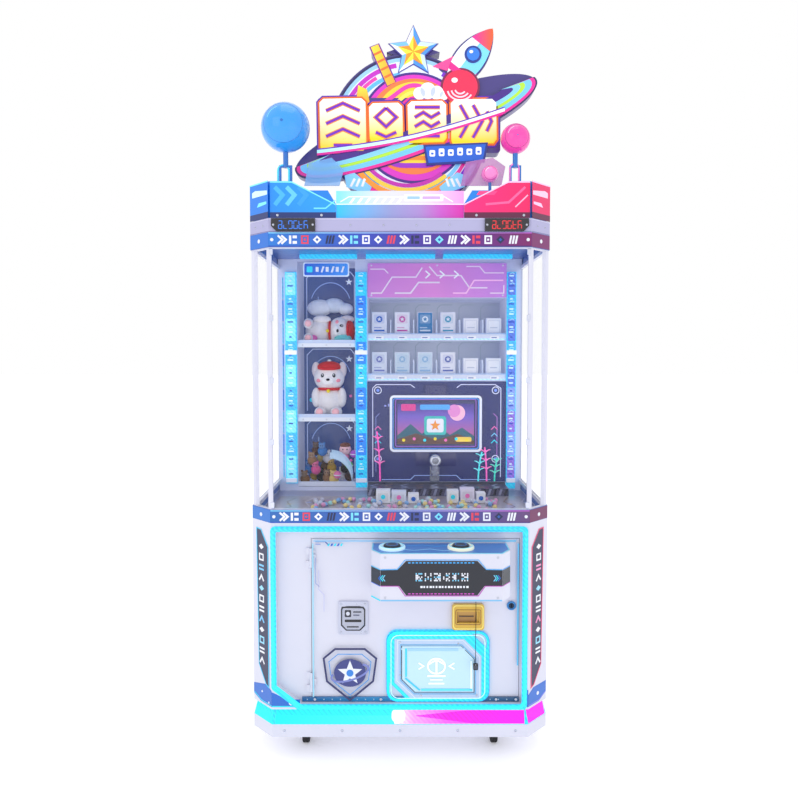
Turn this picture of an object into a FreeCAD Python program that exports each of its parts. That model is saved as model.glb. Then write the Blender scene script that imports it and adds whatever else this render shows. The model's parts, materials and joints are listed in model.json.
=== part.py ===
import FreeCAD, Part
import math
import os

# Coin pusher machine: a wheeled cabinet with a lower body, a glazed playing bay and a lit sign on the roof.
# Frame: X to the right, Y to the back, Z up. The origin is on the floor, at the middle of the whole object's box.
# Every length is in millimetres.

V = FreeCAD.Vector

# ---------------------------------------------------------------- driving sizes
# cabinet
BODY_WIDTH = 936.0
BODY_DEPTH = 860.0
CORNER_CHAMFER = 69.0
SHEET = 3.0
THIN_SHEET = 2.0
CONTROL_REACH = 100.0
BARREL_RADIUS = 5.0

# heights of the layers, from the floor up
CASTER_HEIGHT = 77.0
PLINTH_HEIGHT = 40.0
LIGHT_BAND_HEIGHT = 48.0
LOWER_HEIGHT = 585.0
WAIST_HEIGHT = 41.0
WINDOW_HEIGHT = 803.0
HEAD_BAND_HEIGHT = 45.0
HEADER_HEIGHT = 42.0
CROWN_HEIGHT = 113.0

# clearances
DOOR_GAP = 1.5
RUNNING_FIT = 0.05
SLIDE_GAP = 0.3
BUTTON_GAP = 0.3

# casters
WHEEL_RADIUS = 30.0
WHEEL_WIDTH = 22.0
AXLE_RADIUS = 4.0
KINGPIN_RADIUS = 6.0
CASTER_TRAIL = 20.0
CASTER_INSET_X = 162.0
CASTER_INSET_Y = 92.0

# base
FRAME_RAIL = 40.0
FRAME_INSET = 60.0
BAND_SLOPE = 12.0
BAND_WALL = 4.0

# front of the lower body
RING_WIDTH = 16.0
RING_PROUD = 6.0
RING_CLIP = 72.0
RECESS_DEPTH = 20.0
FIXED_STRIP = 106.0
LOCK_STRIP = 5.0
DOOR_FOOT_GAP = 3.0
DOOR_HEAD_STRIP = 26.0
DOOR_RETURN = 18.0
HINGE_PIN_RADIUS = 2.5
KNUCKLE_LENGTH = 20.0
HINGE_TAB = 15.0
HINGE_END_DISTANCE = 60.0

# control box, on the door
CONTROL_WIDTH = 416.0
CONTROL_HEIGHT = 142.0
CONTROL_FROM_LOCK_EDGE = 43.0
CONTROL_BELOW_DOOR_TOP = 15.0
CONTROL_CORNER_X = 28.0
CONTROL_CORNER_Y = 40.0
BUTTON_SPACING = 208.0
BUTTON_SETBACK = 60.0
BEZEL_RADIUS = 40.0
BEZEL_HEIGHT = 6.0
BEZEL_SLEEVE_RADIUS = 30.0
BEZEL_SLEEVE = 34.0
CAP_RADIUS = 26.0
CAP_PROUD = 4.5
CAP_DEPTH = 22.0

# coin entry, on the door
COIN_PLATE = (92.0, 104.0, 6.0)
COIN_FROM_HINGE = 85.0
COIN_ABOVE_DOOR_FOOT = 211.0
COIN_MECH_DEPTH = 92.0
COIN_BOX_HEIGHT = 120.0

# card and ticket outlet, on the door
TICKET_WIDTH = 100.0
TICKET_HEIGHT = 81.0
TICKET_PROUD = 12.0
TICKET_FROM_LOCK_EDGE = 111.0
TICKET_ABOVE_DOOR_FOOT = 227.0
TICKET_MOUTH = (70.0, 36.0)
TICKET_MECH_DEPTH = 160.0

# prize outlet, on the door
PRIZE_WIDTH = 271.0
PRIZE_HEIGHT = 192.0
PRIZE_FROM_LOCK_EDGE = 119.0
PRIZE_ABOVE_DOOR_FOOT = 5.0
PRIZE_CLIP = 54.0
PRIZE_BORDER = 21.0
PRIZE_PROUD = 8.0
PRIZE_SLEEVE = 14.0
FLAP_THICKNESS = 4.0
FLAP_PIN_RADIUS = 3.0
FLAP_PIN_DROP = 9.0
FLAP_GAP = 2.5
GLOW_SIDE = 26.0
GLOW_TOP = 28.0
GLOW_FOOT = 4.0

# door lock
LOCK_FROM_EDGE = 26.0
LOCK_ABOVE_DOOR_FOOT = 302.0
LOCK_BEZEL_RADIUS = 14.5
LOCK_BARREL_RADIUS = 9.0
LOCK_BARREL_LENGTH = 27.0
CAM_LENGTH = 40.0

# hanging cord under the control box
CORD_DIAMETER = 2.0
CORD_LENGTH = 228.0
CORD_FROM_LOCK_EDGE = 139.0
CORD_SETBACK = 94.0
TAG_SIZE = (15.0, 8.0, 20.0)

# window and playing bay
SILL_RISE = 2.0
SILL_DEPTH = 13.0
POST_SIZE = 16.0
GLASS = 5.0
GLASS_INSET = 5.0
DECK_DROP = 44.0
DECK_THICKNESS = 12.0
BAY_DEPTH = 530.0
NICHE_DEPTH = 170.0
CEILING_BELOW_BAND_TOP = 10.0
COLUMN_WIDTH = 42.0
COLUMN_DEPTH = 14.0
LEFT_COLUMN_INSET = 34.0
RIGHT_COLUMN_INSET = 29.0
LEFT_NICHE_WIDTH = 220.0
BANNER_HEIGHT = 147.0
RIGHT_SHELF_DROPS = (286.0, 439.0)
RIGHT_SHELF_THICKNESS = 22.0
SHELF_SLOTS = 6
LEFT_SHELF_DROPS = (321.0, 604.0)
LEFT_SHELF_THICKNESS = 12.0
PRIZE_BOX = (57.0, 40.0, 87.0)
LOW_BOX_HEIGHT = 64.0

# game panel and screen
PANEL_THICKNESS = 6.0
PANEL_FOOT = 35.0
SCREEN_SIZE = (293.0, 167.0)
SCREEN_BEZEL = 30.0
SCREEN_DEPTH = 36.0
SCREEN_BELOW_PANEL_TOP = 72.0
TAB_SIZE = (154.0, 54.0)
COUNTER_SIZE = (81.0, 35.0)

# marble launcher
LAUNCHER_RADIUS = 21.0
LAUNCHER_LENGTH = 44.0
LAUNCHER_BORE = 10.0
LAUNCHER_ABOVE_DECK = 125.0
LAUNCHER_SETBACK = 45.0
LAUNCHER_PIN_RADIUS = 5.0

# pusher and its drive
PUSHER_HEIGHT = 28.0
PUSHER_LENGTH = 215.0
PUSHER_FRONT_REACH = 108.0
PUSHER_SIDE_GAP = 3.0
PUSHER_STROKE = 70.0
CRANK_RADIUS = 48.0
CRANK_THICKNESS = 8.0
ROD_WIDTH = 18.0
ROD_THICKNESS = 6.0
MOTOR_SIZE = (80.0, 90.0, 70.0)
SHAFT_RADIUS = 8.0
SHAFT_SEAT = 20.0

# header, crown and sign
DISPLAY_SIZE = (133.0, 39.0)
DISPLAY_PROUD = 8.0
DISPLAY_FROM_CORNER = 10.0
DISPLAY_CLIP = 16.0
CROWN_SETBACK = 10.0
CROWN_INNER = 195.0
CROWN_CENTRE_HEIGHT = 85.0
CROWN_CENTRE_SETBACK = 30.0
CROWN_SIDE_RETURN = 60.0
SIGN_SETBACK = 120.0
SIGN_THICKNESS = 60.0
SIGN_GAP = 9.0
SIGN_DISC_RADIUS = 250.0
SIGN_RING_LONG = 408.0
SIGN_RING_SHORT = 90.0
SIGN_RING_TILT = 20.5
SIGN_STAR_RADIUS = 84.0
SIGN_LEG_WIDTH = 30.0
SIGN_LEG_SPACING = 180.0

# rear service door and electrics
REAR_DOOR_WIDTH = 500.0
REAR_DOOR_HEIGHT = 450.0
REAR_DOOR_FOOT = 62.0
INLET_SIZE = (50.0, 30.0, 28.0)
SUPPLY_SIZE = (160.0, 110.0, 60.0)
BOARD_SIZE = (8.0, 220.0, 180.0)

# small gaps and shifts between neighbours
RING_FOOT_GAP = 1.0
RING_HEAD_GAP = 10.0
BARREL_CLEARANCE = 1.0
BUTTONS_LEFT_OF_MIDDLE = 42.0
SILL_DEPTH = 11.0
LINTEL_LIP = 4.0
LINTEL_HEIGHT = 8.0
COLUMN_GAP = 2.0
NICHE_GAP = 3.0
RIGHT_COLUMN_SHIFT = 8.0
PANEL_SHIFT = 4.0

# ---------------------------------------------------------------- worked-out places
HALF = BODY_WIDTH / 2
FRONT_Y = CONTROL_REACH - (CONTROL_REACH + BODY_DEPTH + 2 * BARREL_RADIUS) / 2
BACK_Y = FRONT_Y + BODY_DEPTH
FRONT_HALF = HALF - CORNER_CHAMFER

PLINTH_TOP = CASTER_HEIGHT + PLINTH_HEIGHT
LOWER_FOOT = PLINTH_TOP + LIGHT_BAND_HEIGHT
WAIST_FOOT = LOWER_FOOT + LOWER_HEIGHT
WAIST_TOP = WAIST_FOOT + WAIST_HEIGHT
HEAD_FOOT = WAIST_TOP + WINDOW_HEIGHT
HEADER_FOOT = HEAD_FOOT + HEAD_BAND_HEIGHT
ROOF = HEADER_FOOT + HEADER_HEIGHT
CROWN_TOP = ROOF + CROWN_HEIGHT

RECESS_Y = FRONT_Y + RECESS_DEPTH
OPEN_LEFT = -FRONT_HALF + RING_WIDTH
OPEN_RIGHT = FRONT_HALF - RING_WIDTH - LOCK_STRIP
OPEN_FOOT = LOWER_FOOT + RING_WIDTH + RING_FOOT_GAP
OPEN_TOP = WAIST_FOOT - RING_WIDTH - RING_HEAD_GAP

DOOR_LEFT = OPEN_LEFT + FIXED_STRIP
DOOR_RIGHT = OPEN_RIGHT - LOCK_STRIP
DOOR_FOOT = OPEN_FOOT + DOOR_FOOT_GAP
DOOR_TOP = OPEN_TOP - DOOR_HEAD_STRIP
HINGE_Y = RECESS_Y - BARREL_RADIUS - BARREL_CLEARANCE
HINGE_HEIGHTS = (DOOR_FOOT + HINGE_END_DISTANCE, DOOR_TOP - HINGE_END_DISTANCE)

CONTROL_RIGHT = DOOR_RIGHT - CONTROL_FROM_LOCK_EDGE
CONTROL_LEFT = CONTROL_RIGHT - CONTROL_WIDTH
CONTROL_TOP = DOOR_TOP - CONTROL_BELOW_DOOR_TOP
CONTROL_FOOT = CONTROL_TOP - CONTROL_HEIGHT
CONTROL_MIDDLE = (CONTROL_LEFT + CONTROL_RIGHT) / 2 - BUTTONS_LEFT_OF_MIDDLE
BUTTON_Y = FRONT_Y - CONTROL_REACH + BUTTON_SETBACK
BUTTON_XS = (CONTROL_MIDDLE - BUTTON_SPACING / 2, CONTROL_MIDDLE + BUTTON_SPACING / 2)

SILL_TOP = WAIST_TOP + SILL_RISE
SILL_FOOT = WAIST_TOP - SILL_DEPTH
LINTEL_FOOT = HEAD_FOOT - LINTEL_LIP
LINTEL_TOP = HEAD_FOOT + LINTEL_HEIGHT
DECK_TOP = WAIST_TOP - DECK_DROP
CEILING = HEADER_FOOT - CEILING_BELOW_BAND_TOP
BAY_Y = FRONT_Y + BAY_DEPTH
WALL_INSET = 2 * SHEET

LEFT_COLUMN = -HALF + LEFT_COLUMN_INSET
LEFT_NICHE_LEFT = LEFT_COLUMN + COLUMN_WIDTH + COLUMN_GAP
LEFT_NICHE_RIGHT = LEFT_NICHE_LEFT + LEFT_NICHE_WIDTH
MIDDLE_COLUMN = LEFT_NICHE_RIGHT + COLUMN_GAP
RIGHT_NICHE_LEFT = MIDDLE_COLUMN + COLUMN_WIDTH + NICHE_GAP
RIGHT_COLUMN = HALF - RIGHT_COLUMN_INSET - COLUMN_WIDTH + RIGHT_COLUMN_SHIFT
RIGHT_NICHE_RIGHT = RIGHT_COLUMN - COLUMN_GAP
SHELF_TOPS = tuple(CEILING - drop for drop in RIGHT_SHELF_DROPS)
PANEL_TOP = SHELF_TOPS[-1] - RIGHT_SHELF_THICKNESS - NICHE_GAP
PANEL_MIDDLE = (RIGHT_NICHE_LEFT + RIGHT_NICHE_RIGHT) / 2 - PANEL_SHIFT
PANEL_Y = BAY_Y - PANEL_THICKNESS

PUSHER_LEFT = RIGHT_NICHE_LEFT + PUSHER_SIDE_GAP
PUSHER_RIGHT = RIGHT_NICHE_RIGHT - PUSHER_SIDE_GAP
PUSHER_FRONT_Y = BAY_Y - PUSHER_FRONT_REACH
PUSHER_BACK_Y = PUSHER_FRONT_Y + PUSHER_LENGTH
CRANK_Y = BACK_Y - SHEET - CRANK_RADIUS - 25.0
CRANK_FOOT = DECK_TOP + 2.0


# ---------------------------------------------------------------- shape helpers
def block(x0, x1, y0, y1, z0, z1):
    return Part.makeBox(x1 - x0, y1 - y0, z1 - z0, V(x0, y0, z0))


def rod_x(x0, x1, y, z, radius):
    return Part.makeCylinder(radius, x1 - x0, V(x0, y, z), V(1, 0, 0))


def rod_y(x, y0, y1, z, radius):
    return Part.makeCylinder(radius, y1 - y0, V(x, y0, z), V(0, 1, 0))


def rod_z(x, y, z0, z1, radius):
    return Part.makeCylinder(radius, z1 - z0, V(x, y, z0), V(0, 0, 1))


def joined(shapes):
    """One solid from shapes that overlap or share a face."""
    whole = shapes[0]
    for shape in shapes[1:]:
        whole = whole.fuse(shape)
    return whole.removeSplitter()


def group(shapes):
    """Separate solids that share one node."""
    return Part.makeCompound(shapes)


def inset(points, distance):
    """A closed counter-clockwise outline moved inwards by a distance, with sharp corners."""
    count = len(points)
    moved = []
    for i in range(count):
        before, here, after = points[i - 1], points[i], points[(i + 1) % count]
        ax, ay = here[0] - before[0], here[1] - before[1]
        bx, by = after[0] - here[0], after[1] - here[1]
        a_len, b_len = math.hypot(ax, ay), math.hypot(bx, by)
        nax, nay = -ay / a_len, ax / a_len
        nbx, nby = -by / b_len, bx / b_len
        scale = distance / (1 + nax * nbx + nay * nby)
        moved.append((here[0] + (nax + nbx) * scale, here[1] + (nay + nby) * scale))
    return moved


def rounded_wire(points, radius, place):
    """A closed wire through an outline, with each corner turned into an arc; place maps (u, v) to a point."""
    count = len(points)
    edges = []
    stops = []
    for i in range(count):
        before, here, after = points[i - 1], points[i], points[(i + 1) % count]
        ax, ay = before[0] - here[0], before[1] - here[1]
        bx, by = after[0] - here[0], after[1] - here[1]
        a_len, b_len = math.hypot(ax, ay), math.hypot(bx, by)
        ax, ay, bx, by = ax / a_len, ay / a_len, bx / b_len, by / b_len
        half_angle = math.acos(max(-1.0, min(1.0, ax * bx + ay * by))) / 2
        reach = min(radius / math.tan(half_angle), 0.45 * a_len, 0.45 * b_len)
        fitted = reach * math.tan(half_angle)
        mid_len = math.hypot(ax + bx, ay + by)
        mx, my = (ax + bx) / mid_len, (ay + by) / mid_len
        crown = fitted / math.sin(half_angle) - fitted
        start = place(here[0] + ax * reach, here[1] + ay * reach)
        middle = place(here[0] + mx * crown, here[1] + my * crown)
        end = place(here[0] + bx * reach, here[1] + by * reach)
        stops.append((start, middle, end))
    for i in range(count):
        start, middle, end = stops[i]
        edges.append(Part.Arc(start, middle, end).toShape())
        edges.append(Part.LineSegment(end, stops[(i + 1) % count][0]).toShape())
    return Part.Wire(edges)


def plate_xz(points, y0, y1, radius=0.0):
    """An outline in X and Z, carried from y0 to y1."""
    if radius:
        wire = rounded_wire(points, radius, lambda u, v: V(u, y0, v))
    else:
        wire = Part.makePolygon([V(x, y0, z) for x, z in points + points[:1]])
    return Part.Face(wire).extrude(V(0, y1 - y0, 0))


def plate_xy(points, z0, z1, radius=0.0):
    """An outline in X and Y, carried from z0 to z1."""
    if radius:
        wire = rounded_wire(points, radius, lambda u, v: V(u, v, z0))
    else:
        wire = Part.makePolygon([V(x, y, z0) for x, y in points + points[:1]])
    return Part.Face(wire).extrude(V(0, 0, z1 - z0))


def plate_yz(points, x0, x1):
    """An outline in Y and Z, carried from x0 to x1."""
    wire = Part.makePolygon([V(x0, y, z) for y, z in points + points[:1]])
    return Part.Face(wire).extrude(V(x1 - x0, 0, 0))


def body_outline(distance):
    """The cabinet's plan, moved inwards by a distance."""
    corners = [
        (-HALF, BACK_Y),
        (-HALF, FRONT_Y + CORNER_CHAMFER),
        (-FRONT_HALF, FRONT_Y),
        (FRONT_HALF, FRONT_Y),
        (HALF, FRONT_Y + CORNER_CHAMFER),
        (HALF, BACK_Y),
    ]
    return inset(corners, distance)


def body_prism(distance, z0, z1):
    return plate_xy(body_outline(distance), z0, z1)


def body_ring(outer, inner, z0, z1):
    return body_prism(outer, z0, z1).cut(body_prism(inner, z0 - 1, z1 + 1))


def mirrored(shape):
    return shape.mirror(V(0, 0, 0), V(1, 0, 0))


def export(name, shape):
    shape.exportStep(os.path.join("parts", name + ".step"))


# ---------------------------------------------------------------- base
def plinth():
    tray = body_prism(0, CASTER_HEIGHT, PLINTH_TOP)
    tray = tray.cut(body_prism(SHEET, CASTER_HEIGHT + SHEET, PLINTH_TOP + 1))
    rails = body_ring(FRAME_INSET, FRAME_INSET + FRAME_RAIL, CASTER_HEIGHT + SHEET, LOWER_FOOT)
    return joined([tray, rails])


def sloped_prism(bottom_inset, top_inset, z0, z1):
    wires = []
    for distance, z in ((bottom_inset, z0), (top_inset, z1)):
        points = [V(x, y, z) for x, y in body_outline(distance)]
        wires.append(Part.makePolygon(points + points[:1]))
    return Part.makeLoft(wires, True, True)


def base_light_band():
    outer = sloped_prism(0, BAND_SLOPE, PLINTH_TOP, LOWER_FOOT)
    inner = sloped_prism(BAND_WALL, BAND_WALL + BAND_SLOPE, PLINTH_TOP, LOWER_FOOT)
    return outer.cut(inner)


CASTER_PLACES = {
    "front_left": (-HALF + CASTER_INSET_X, FRONT_Y + CASTER_INSET_Y),
    "front_right": (HALF - CASTER_INSET_X, FRONT_Y + CASTER_INSET_Y),
    "rear_left": (-HALF + CASTER_INSET_X, BACK_Y - CASTER_INSET_Y - CASTER_TRAIL),
    "rear_right": (HALF - CASTER_INSET_X, BACK_Y - CASTER_INSET_Y - CASTER_TRAIL),
}
FORK_TOP = WHEEL_RADIUS * 2 + 7.0
FORK_SHEET = 3.0
ARM_INNER = WHEEL_WIDTH / 2 + 1.5


def caster_plate(x, y):
    plate = block(x - 30, x + 30, y - 30, y + 30, CASTER_HEIGHT - SHEET, CASTER_HEIGHT)
    race = rod_z(x, y, FORK_TOP + SLIDE_GAP, CASTER_HEIGHT - SHEET, 14.0)
    kingpin = rod_z(x, y, FORK_TOP - FORK_SHEET - SLIDE_GAP - 2.5, CASTER_HEIGHT - SHEET, KINGPIN_RADIUS)
    head = rod_z(x, y, FORK_TOP - FORK_SHEET - SLIDE_GAP - 2.5, FORK_TOP - FORK_SHEET - SLIDE_GAP, 9.0)
    return joined([plate, race, kingpin, head])


def caster_fork(x, y):
    """A bent fork and its axle. The axle trails behind the kingpin."""
    axle_y = y + CASTER_TRAIL
    arm_outer = ARM_INNER + FORK_SHEET
    top = block(x - arm_outer, x + arm_outer, y - 16, axle_y + 14, FORK_TOP - FORK_SHEET, FORK_TOP)
    side = [
        (y - 14, FORK_TOP - 1.0),
        (axle_y - 9, WHEEL_RADIUS - 8),
        (axle_y + 9, WHEEL_RADIUS - 8),
        (axle_y + 13, FORK_TOP - 1.0),
    ]
    left_arm = plate_yz(side, x - arm_outer, x - ARM_INNER)
    right_arm = plate_yz(side, x + ARM_INNER, x + arm_outer)
    fork = joined([top, left_arm, right_arm])
    fork = fork.cut(rod_z(x, y, FORK_TOP - FORK_SHEET - 1, FORK_TOP + 1, KINGPIN_RADIUS + RUNNING_FIT))
    shank = rod_x(x - arm_outer, x + arm_outer, axle_y, WHEEL_RADIUS, AXLE_RADIUS)
    fork = fork.cut(shank)
    heads = [
        rod_x(x - arm_outer - 2.5, x - arm_outer, axle_y, WHEEL_RADIUS, AXLE_RADIUS + 3),
        rod_x(x + arm_outer, x + arm_outer + 2.5, axle_y, WHEEL_RADIUS, AXLE_RADIUS + 3),
    ]
    axle = joined([shank] + heads)
    return group([fork, axle])


def caster_wheel(x, y):
    axle_y = y + CASTER_TRAIL
    tyre = rod_x(x - WHEEL_WIDTH / 2, x + WHEEL_WIDTH / 2, axle_y, WHEEL_RADIUS, WHEEL_RADIUS)
    rims = [e for e in tyre.Edges if e.Closed and abs(e.Length - 2 * math.pi * WHEEL_RADIUS) < 1]
    tyre = tyre.makeFillet(4.0, rims)
    hub = rod_x(x - ARM_INNER + 0.5, x + ARM_INNER - 0.5, axle_y, WHEEL_RADIUS, 11.0)
    bore = rod_x(x - 20, x + 20, axle_y, WHEEL_RADIUS, AXLE_RADIUS + RUNNING_FIT)
    return joined([tyre, hub]).cut(bore)


# ---------------------------------------------------------------- lower body
def front_outline(distance):
    """The front opening's outline, moved inwards by a distance; its lower left corner is clipped."""
    points = [
        (OPEN_LEFT + RING_CLIP, OPEN_FOOT),
        (OPEN_RIGHT, OPEN_FOOT),
        (OPEN_RIGHT, OPEN_TOP),
        (OPEN_LEFT, OPEN_TOP),
        (OPEN_LEFT, OPEN_FOOT + RING_CLIP * 0.8),
    ]
    return inset(points, distance)


def vent_slots(x0, x1, y0, y1, z, rows, pitch, height):
    return [block(x0, x1, y0, y1, z + row * pitch, z + row * pitch + height) for row in range(rows)]


REAR_LEFT = -REAR_DOOR_WIDTH / 2
REAR_RIGHT = REAR_DOOR_WIDTH / 2
REAR_FOOT = LOWER_FOOT + REAR_DOOR_FOOT
REAR_TOP = REAR_FOOT + REAR_DOOR_HEIGHT
REAR_HINGE_Y = BACK_Y + BARREL_RADIUS
REAR_HINGE_HEIGHTS = (REAR_FOOT + HINGE_END_DISTANCE, REAR_TOP - HINGE_END_DISTANCE)
INLET_X = REAR_RIGHT + 110.0
INLET_Z = LOWER_FOOT + 50.0


def knuckle(x, y, z0, z1, tab_x, tab_y, bore):
    """A hinge knuckle about (x, y), with a tab that reaches tab_x sideways and to tab_y in depth."""
    barrel = rod_z(x, y, z0, z1, BARREL_RADIUS)
    x0, x1 = sorted((x, x + tab_x))
    y0, y1 = sorted((y, tab_y))
    tab = block(x0, x1, y0, y1, z0, z1)
    return joined([barrel, tab]).cut(rod_z(x, y, z0 - 1, z1 + 1, bore))


def hinge_knuckles(x, y, middle, side, tab_y, moving):
    """The knuckles of one hinge: the middle one moves, and the outer two are fixed."""
    half = KNUCKLE_LENGTH / 2
    if moving:
        bore = HINGE_PIN_RADIUS + RUNNING_FIT
        return [knuckle(x, y, middle - half + SLIDE_GAP, middle + half - SLIDE_GAP, side, tab_y, bore)]
    lower = knuckle(x, y, middle - 3 * half, middle - half, -side, tab_y, HINGE_PIN_RADIUS)
    upper = knuckle(x, y, middle + half, middle + 3 * half, -side, tab_y, HINGE_PIN_RADIUS)
    return [lower, upper]


def hinge_pins():
    pins = []
    for x, y, heights in (
        (DOOR_LEFT, HINGE_Y, HINGE_HEIGHTS),
        (REAR_LEFT, REAR_HINGE_Y, REAR_HINGE_HEIGHTS),
    ):
        for z in heights:
            pins.append(rod_z(x, y, z - 1.5 * KNUCKLE_LENGTH - 1, z + 1.5 * KNUCKLE_LENGTH + 1, HINGE_PIN_RADIUS))
    return group(pins)


def lower_cabinet():
    shell = body_prism(0, LOWER_FOOT, WAIST_FOOT)
    shell = shell.cut(body_prism(SHEET, LOWER_FOOT + SHEET, WAIST_FOOT + 1))
    shell = shell.cut(plate_xz(front_outline(0), FRONT_Y - 1, FRONT_Y + SHEET + 1))
    shell = shell.cut(block(REAR_LEFT, REAR_RIGHT, BACK_Y - SHEET - 1, BACK_Y + 1, REAR_FOOT, REAR_TOP))
    inlet_x, _, inlet_z = INLET_SIZE
    inlet_hole = block(INLET_X - inlet_x / 2, INLET_X + inlet_x / 2, BACK_Y - SHEET - 1, BACK_Y + 1,
                       INLET_Z - inlet_z / 2, INLET_Z + inlet_z / 2)
    shell = shell.cut(inlet_hole)
    vent_y = BACK_Y - 260.0
    for slot in vent_slots(-HALF - 1, HALF + 1, vent_y, vent_y + 160.0, LOWER_FOOT + 70.0, 8, 18.0, 6.0):
        shell = shell.cut(slot)
    knuckles = []
    for z in REAR_HINGE_HEIGHTS:
        knuckles += hinge_knuckles(REAR_LEFT, REAR_HINGE_Y, z, HINGE_TAB, BACK_Y - SHEET, False)
    return joined([shell] + knuckles)


def led_ring():
    outer = plate_xz(front_outline(-RING_WIDTH), FRONT_Y - RING_PROUD, FRONT_Y, 14.0)
    inner = plate_xz(front_outline(0), FRONT_Y - RING_PROUD - 1, FRONT_Y + 1, 6.0)
    return outer.cut(inner)


def recess_panel():
    """A tray behind the front opening, with the door's opening in its floor and the fixed hinge knuckles."""
    tray = plate_xz(front_outline(-THIN_SHEET), FRONT_Y + SHEET, RECESS_Y + THIN_SHEET)
    tray = tray.cut(plate_xz(front_outline(0), FRONT_Y, RECESS_Y))
    tray = tray.cut(block(DOOR_LEFT, DOOR_RIGHT, RECESS_Y - 1, RECESS_Y + THIN_SHEET + 1, DOOR_FOOT, DOOR_TOP))
    knuckles = []
    for z in HINGE_HEIGHTS:
        knuckles += hinge_knuckles(DOOR_LEFT, HINGE_Y, z, HINGE_TAB, RECESS_Y, False)
    return joined([tray] + knuckles)


COIN_LEFT = DOOR_LEFT + COIN_FROM_HINGE
COIN_FOOT = DOOR_FOOT + COIN_ABOVE_DOOR_FOOT
TICKET_RIGHT = DOOR_RIGHT - TICKET_FROM_LOCK_EDGE
TICKET_LEFT = TICKET_RIGHT - TICKET_WIDTH
TICKET_FOOT = DOOR_FOOT + TICKET_ABOVE_DOOR_FOOT
PRIZE_RIGHT = DOOR_RIGHT - PRIZE_FROM_LOCK_EDGE
PRIZE_LEFT = PRIZE_RIGHT - PRIZE_WIDTH
PRIZE_FOOT = DOOR_FOOT + PRIZE_ABOVE_DOOR_FOOT
PRIZE_TOP = PRIZE_FOOT + PRIZE_HEIGHT
LOCK_X = DOOR_RIGHT - LOCK_FROM_EDGE
LOCK_Z = DOOR_FOOT + LOCK_ABOVE_DOOR_FOOT


def prize_outline(distance):
    """The prize outlet's outline, clipped at the lower left and the upper right, moved inwards."""
    points = [
        (PRIZE_LEFT + PRIZE_CLIP, PRIZE_FOOT),
        (PRIZE_RIGHT, PRIZE_FOOT),
        (PRIZE_RIGHT, PRIZE_TOP - PRIZE_CLIP),
        (PRIZE_RIGHT - PRIZE_CLIP, PRIZE_TOP),
        (PRIZE_LEFT, PRIZE_TOP),
        (PRIZE_LEFT, PRIZE_FOOT + PRIZE_CLIP),
    ]
    return inset(points, distance)


def service_door():
    x0, x1 = DOOR_LEFT + DOOR_GAP, DOOR_RIGHT - DOOR_GAP
    z0, z1 = DOOR_FOOT + DOOR_GAP, DOOR_TOP - DOOR_GAP
    back = RECESS_Y + THIN_SHEET
    door = block(x0, x1, RECESS_Y, back + DOOR_RETURN, z0, z1)
    pocket = block(x0 + THIN_SHEET, x1 - THIN_SHEET, back, back + DOOR_RETURN + 1,
                   z0 + THIN_SHEET, z1 - THIN_SHEET)
    door = door.cut(pocket)
    width, height, _ = COIN_PLATE
    coin_hole = block(COIN_LEFT + 14, COIN_LEFT + width - 14, RECESS_Y - 1, back + 1,
                      COIN_FOOT + 14, COIN_FOOT + height - 14)
    ticket_hole = block(TICKET_LEFT + 10, TICKET_RIGHT - 10, RECESS_Y - 1, back + 1,
                        TICKET_FOOT + 12, TICKET_FOOT + TICKET_HEIGHT - 12)
    prize_hole = plate_xz(prize_outline(PRIZE_BORDER / 3), RECESS_Y - 1, back + 1)
    lock_hole = rod_y(LOCK_X, RECESS_Y - 1, back + 1, LOCK_Z, LOCK_BARREL_RADIUS)
    for hole in (coin_hole, ticket_hole, prize_hole, lock_hole):
        door = door.cut(hole)
    knuckles = []
    for z in HINGE_HEIGHTS:
        knuckles += hinge_knuckles(DOOR_LEFT, HINGE_Y, z, HINGE_TAB, RECESS_Y, True)
    return joined([door] + knuckles)


def control_outline():
    front = FRONT_Y - CONTROL_REACH
    return [
        (CONTROL_LEFT, RECESS_Y),
        (CONTROL_LEFT, front + CONTROL_CORNER_Y),
        (CONTROL_LEFT + CONTROL_CORNER_X, front),
        (CONTROL_RIGHT - CONTROL_CORNER_X, front),
        (CONTROL_RIGHT, front + CONTROL_CORNER_Y),
        (CONTROL_RIGHT, RECESS_Y),
    ]


def control_box():
    shell = plate_xy(control_outline(), CONTROL_FOOT, CONTROL_TOP)
    hollow = inset(control_outline(), THIN_SHEET)
    hollow[0] = (hollow[0][0], RECESS_Y + 1)
    hollow[-1] = (hollow[-1][0], RECESS_Y + 1)
    shell = shell.cut(plate_xy(hollow, CONTROL_FOOT + THIN_SHEET, CONTROL_TOP - THIN_SHEET))
    for x in BUTTON_XS:
        shell = shell.cut(rod_z(x, BUTTON_Y, CONTROL_TOP - 10, CONTROL_TOP + 1, BEZEL_SLEEVE_RADIUS))
    return shell


def button_bezels():
    bezels = []
    for x in BUTTON_XS:
        ring = rod_z(x, BUTTON_Y, CONTROL_TOP, CONTROL_TOP + BEZEL_HEIGHT, BEZEL_RADIUS)
        rim = [e for e in ring.Edges if e.Closed and e.BoundBox.ZMin > CONTROL_TOP + 1]
        ring = ring.makeFillet(3.0, rim)
        sleeve = rod_z(x, BUTTON_Y, CONTROL_TOP - BEZEL_SLEEVE, CONTROL_TOP, BEZEL_SLEEVE_RADIUS)
        bore = rod_z(x, BUTTON_Y, CONTROL_TOP - BEZEL_SLEEVE + SHEET, CONTROL_TOP + BEZEL_HEIGHT + 1,
                     CAP_RADIUS + BUTTON_GAP)
        bezels.append(joined([ring, sleeve]).cut(bore))
    return group(bezels)


def button_cap(x):
    top = CONTROL_TOP + BEZEL_HEIGHT + CAP_PROUD
    cap = rod_z(x, BUTTON_Y, top - CAP_DEPTH, top, CAP_RADIUS)
    rim = [e for e in cap.Edges if e.Closed and e.BoundBox.ZMin > top - 1]
    return cap.makeFillet(3.0, rim)


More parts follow.
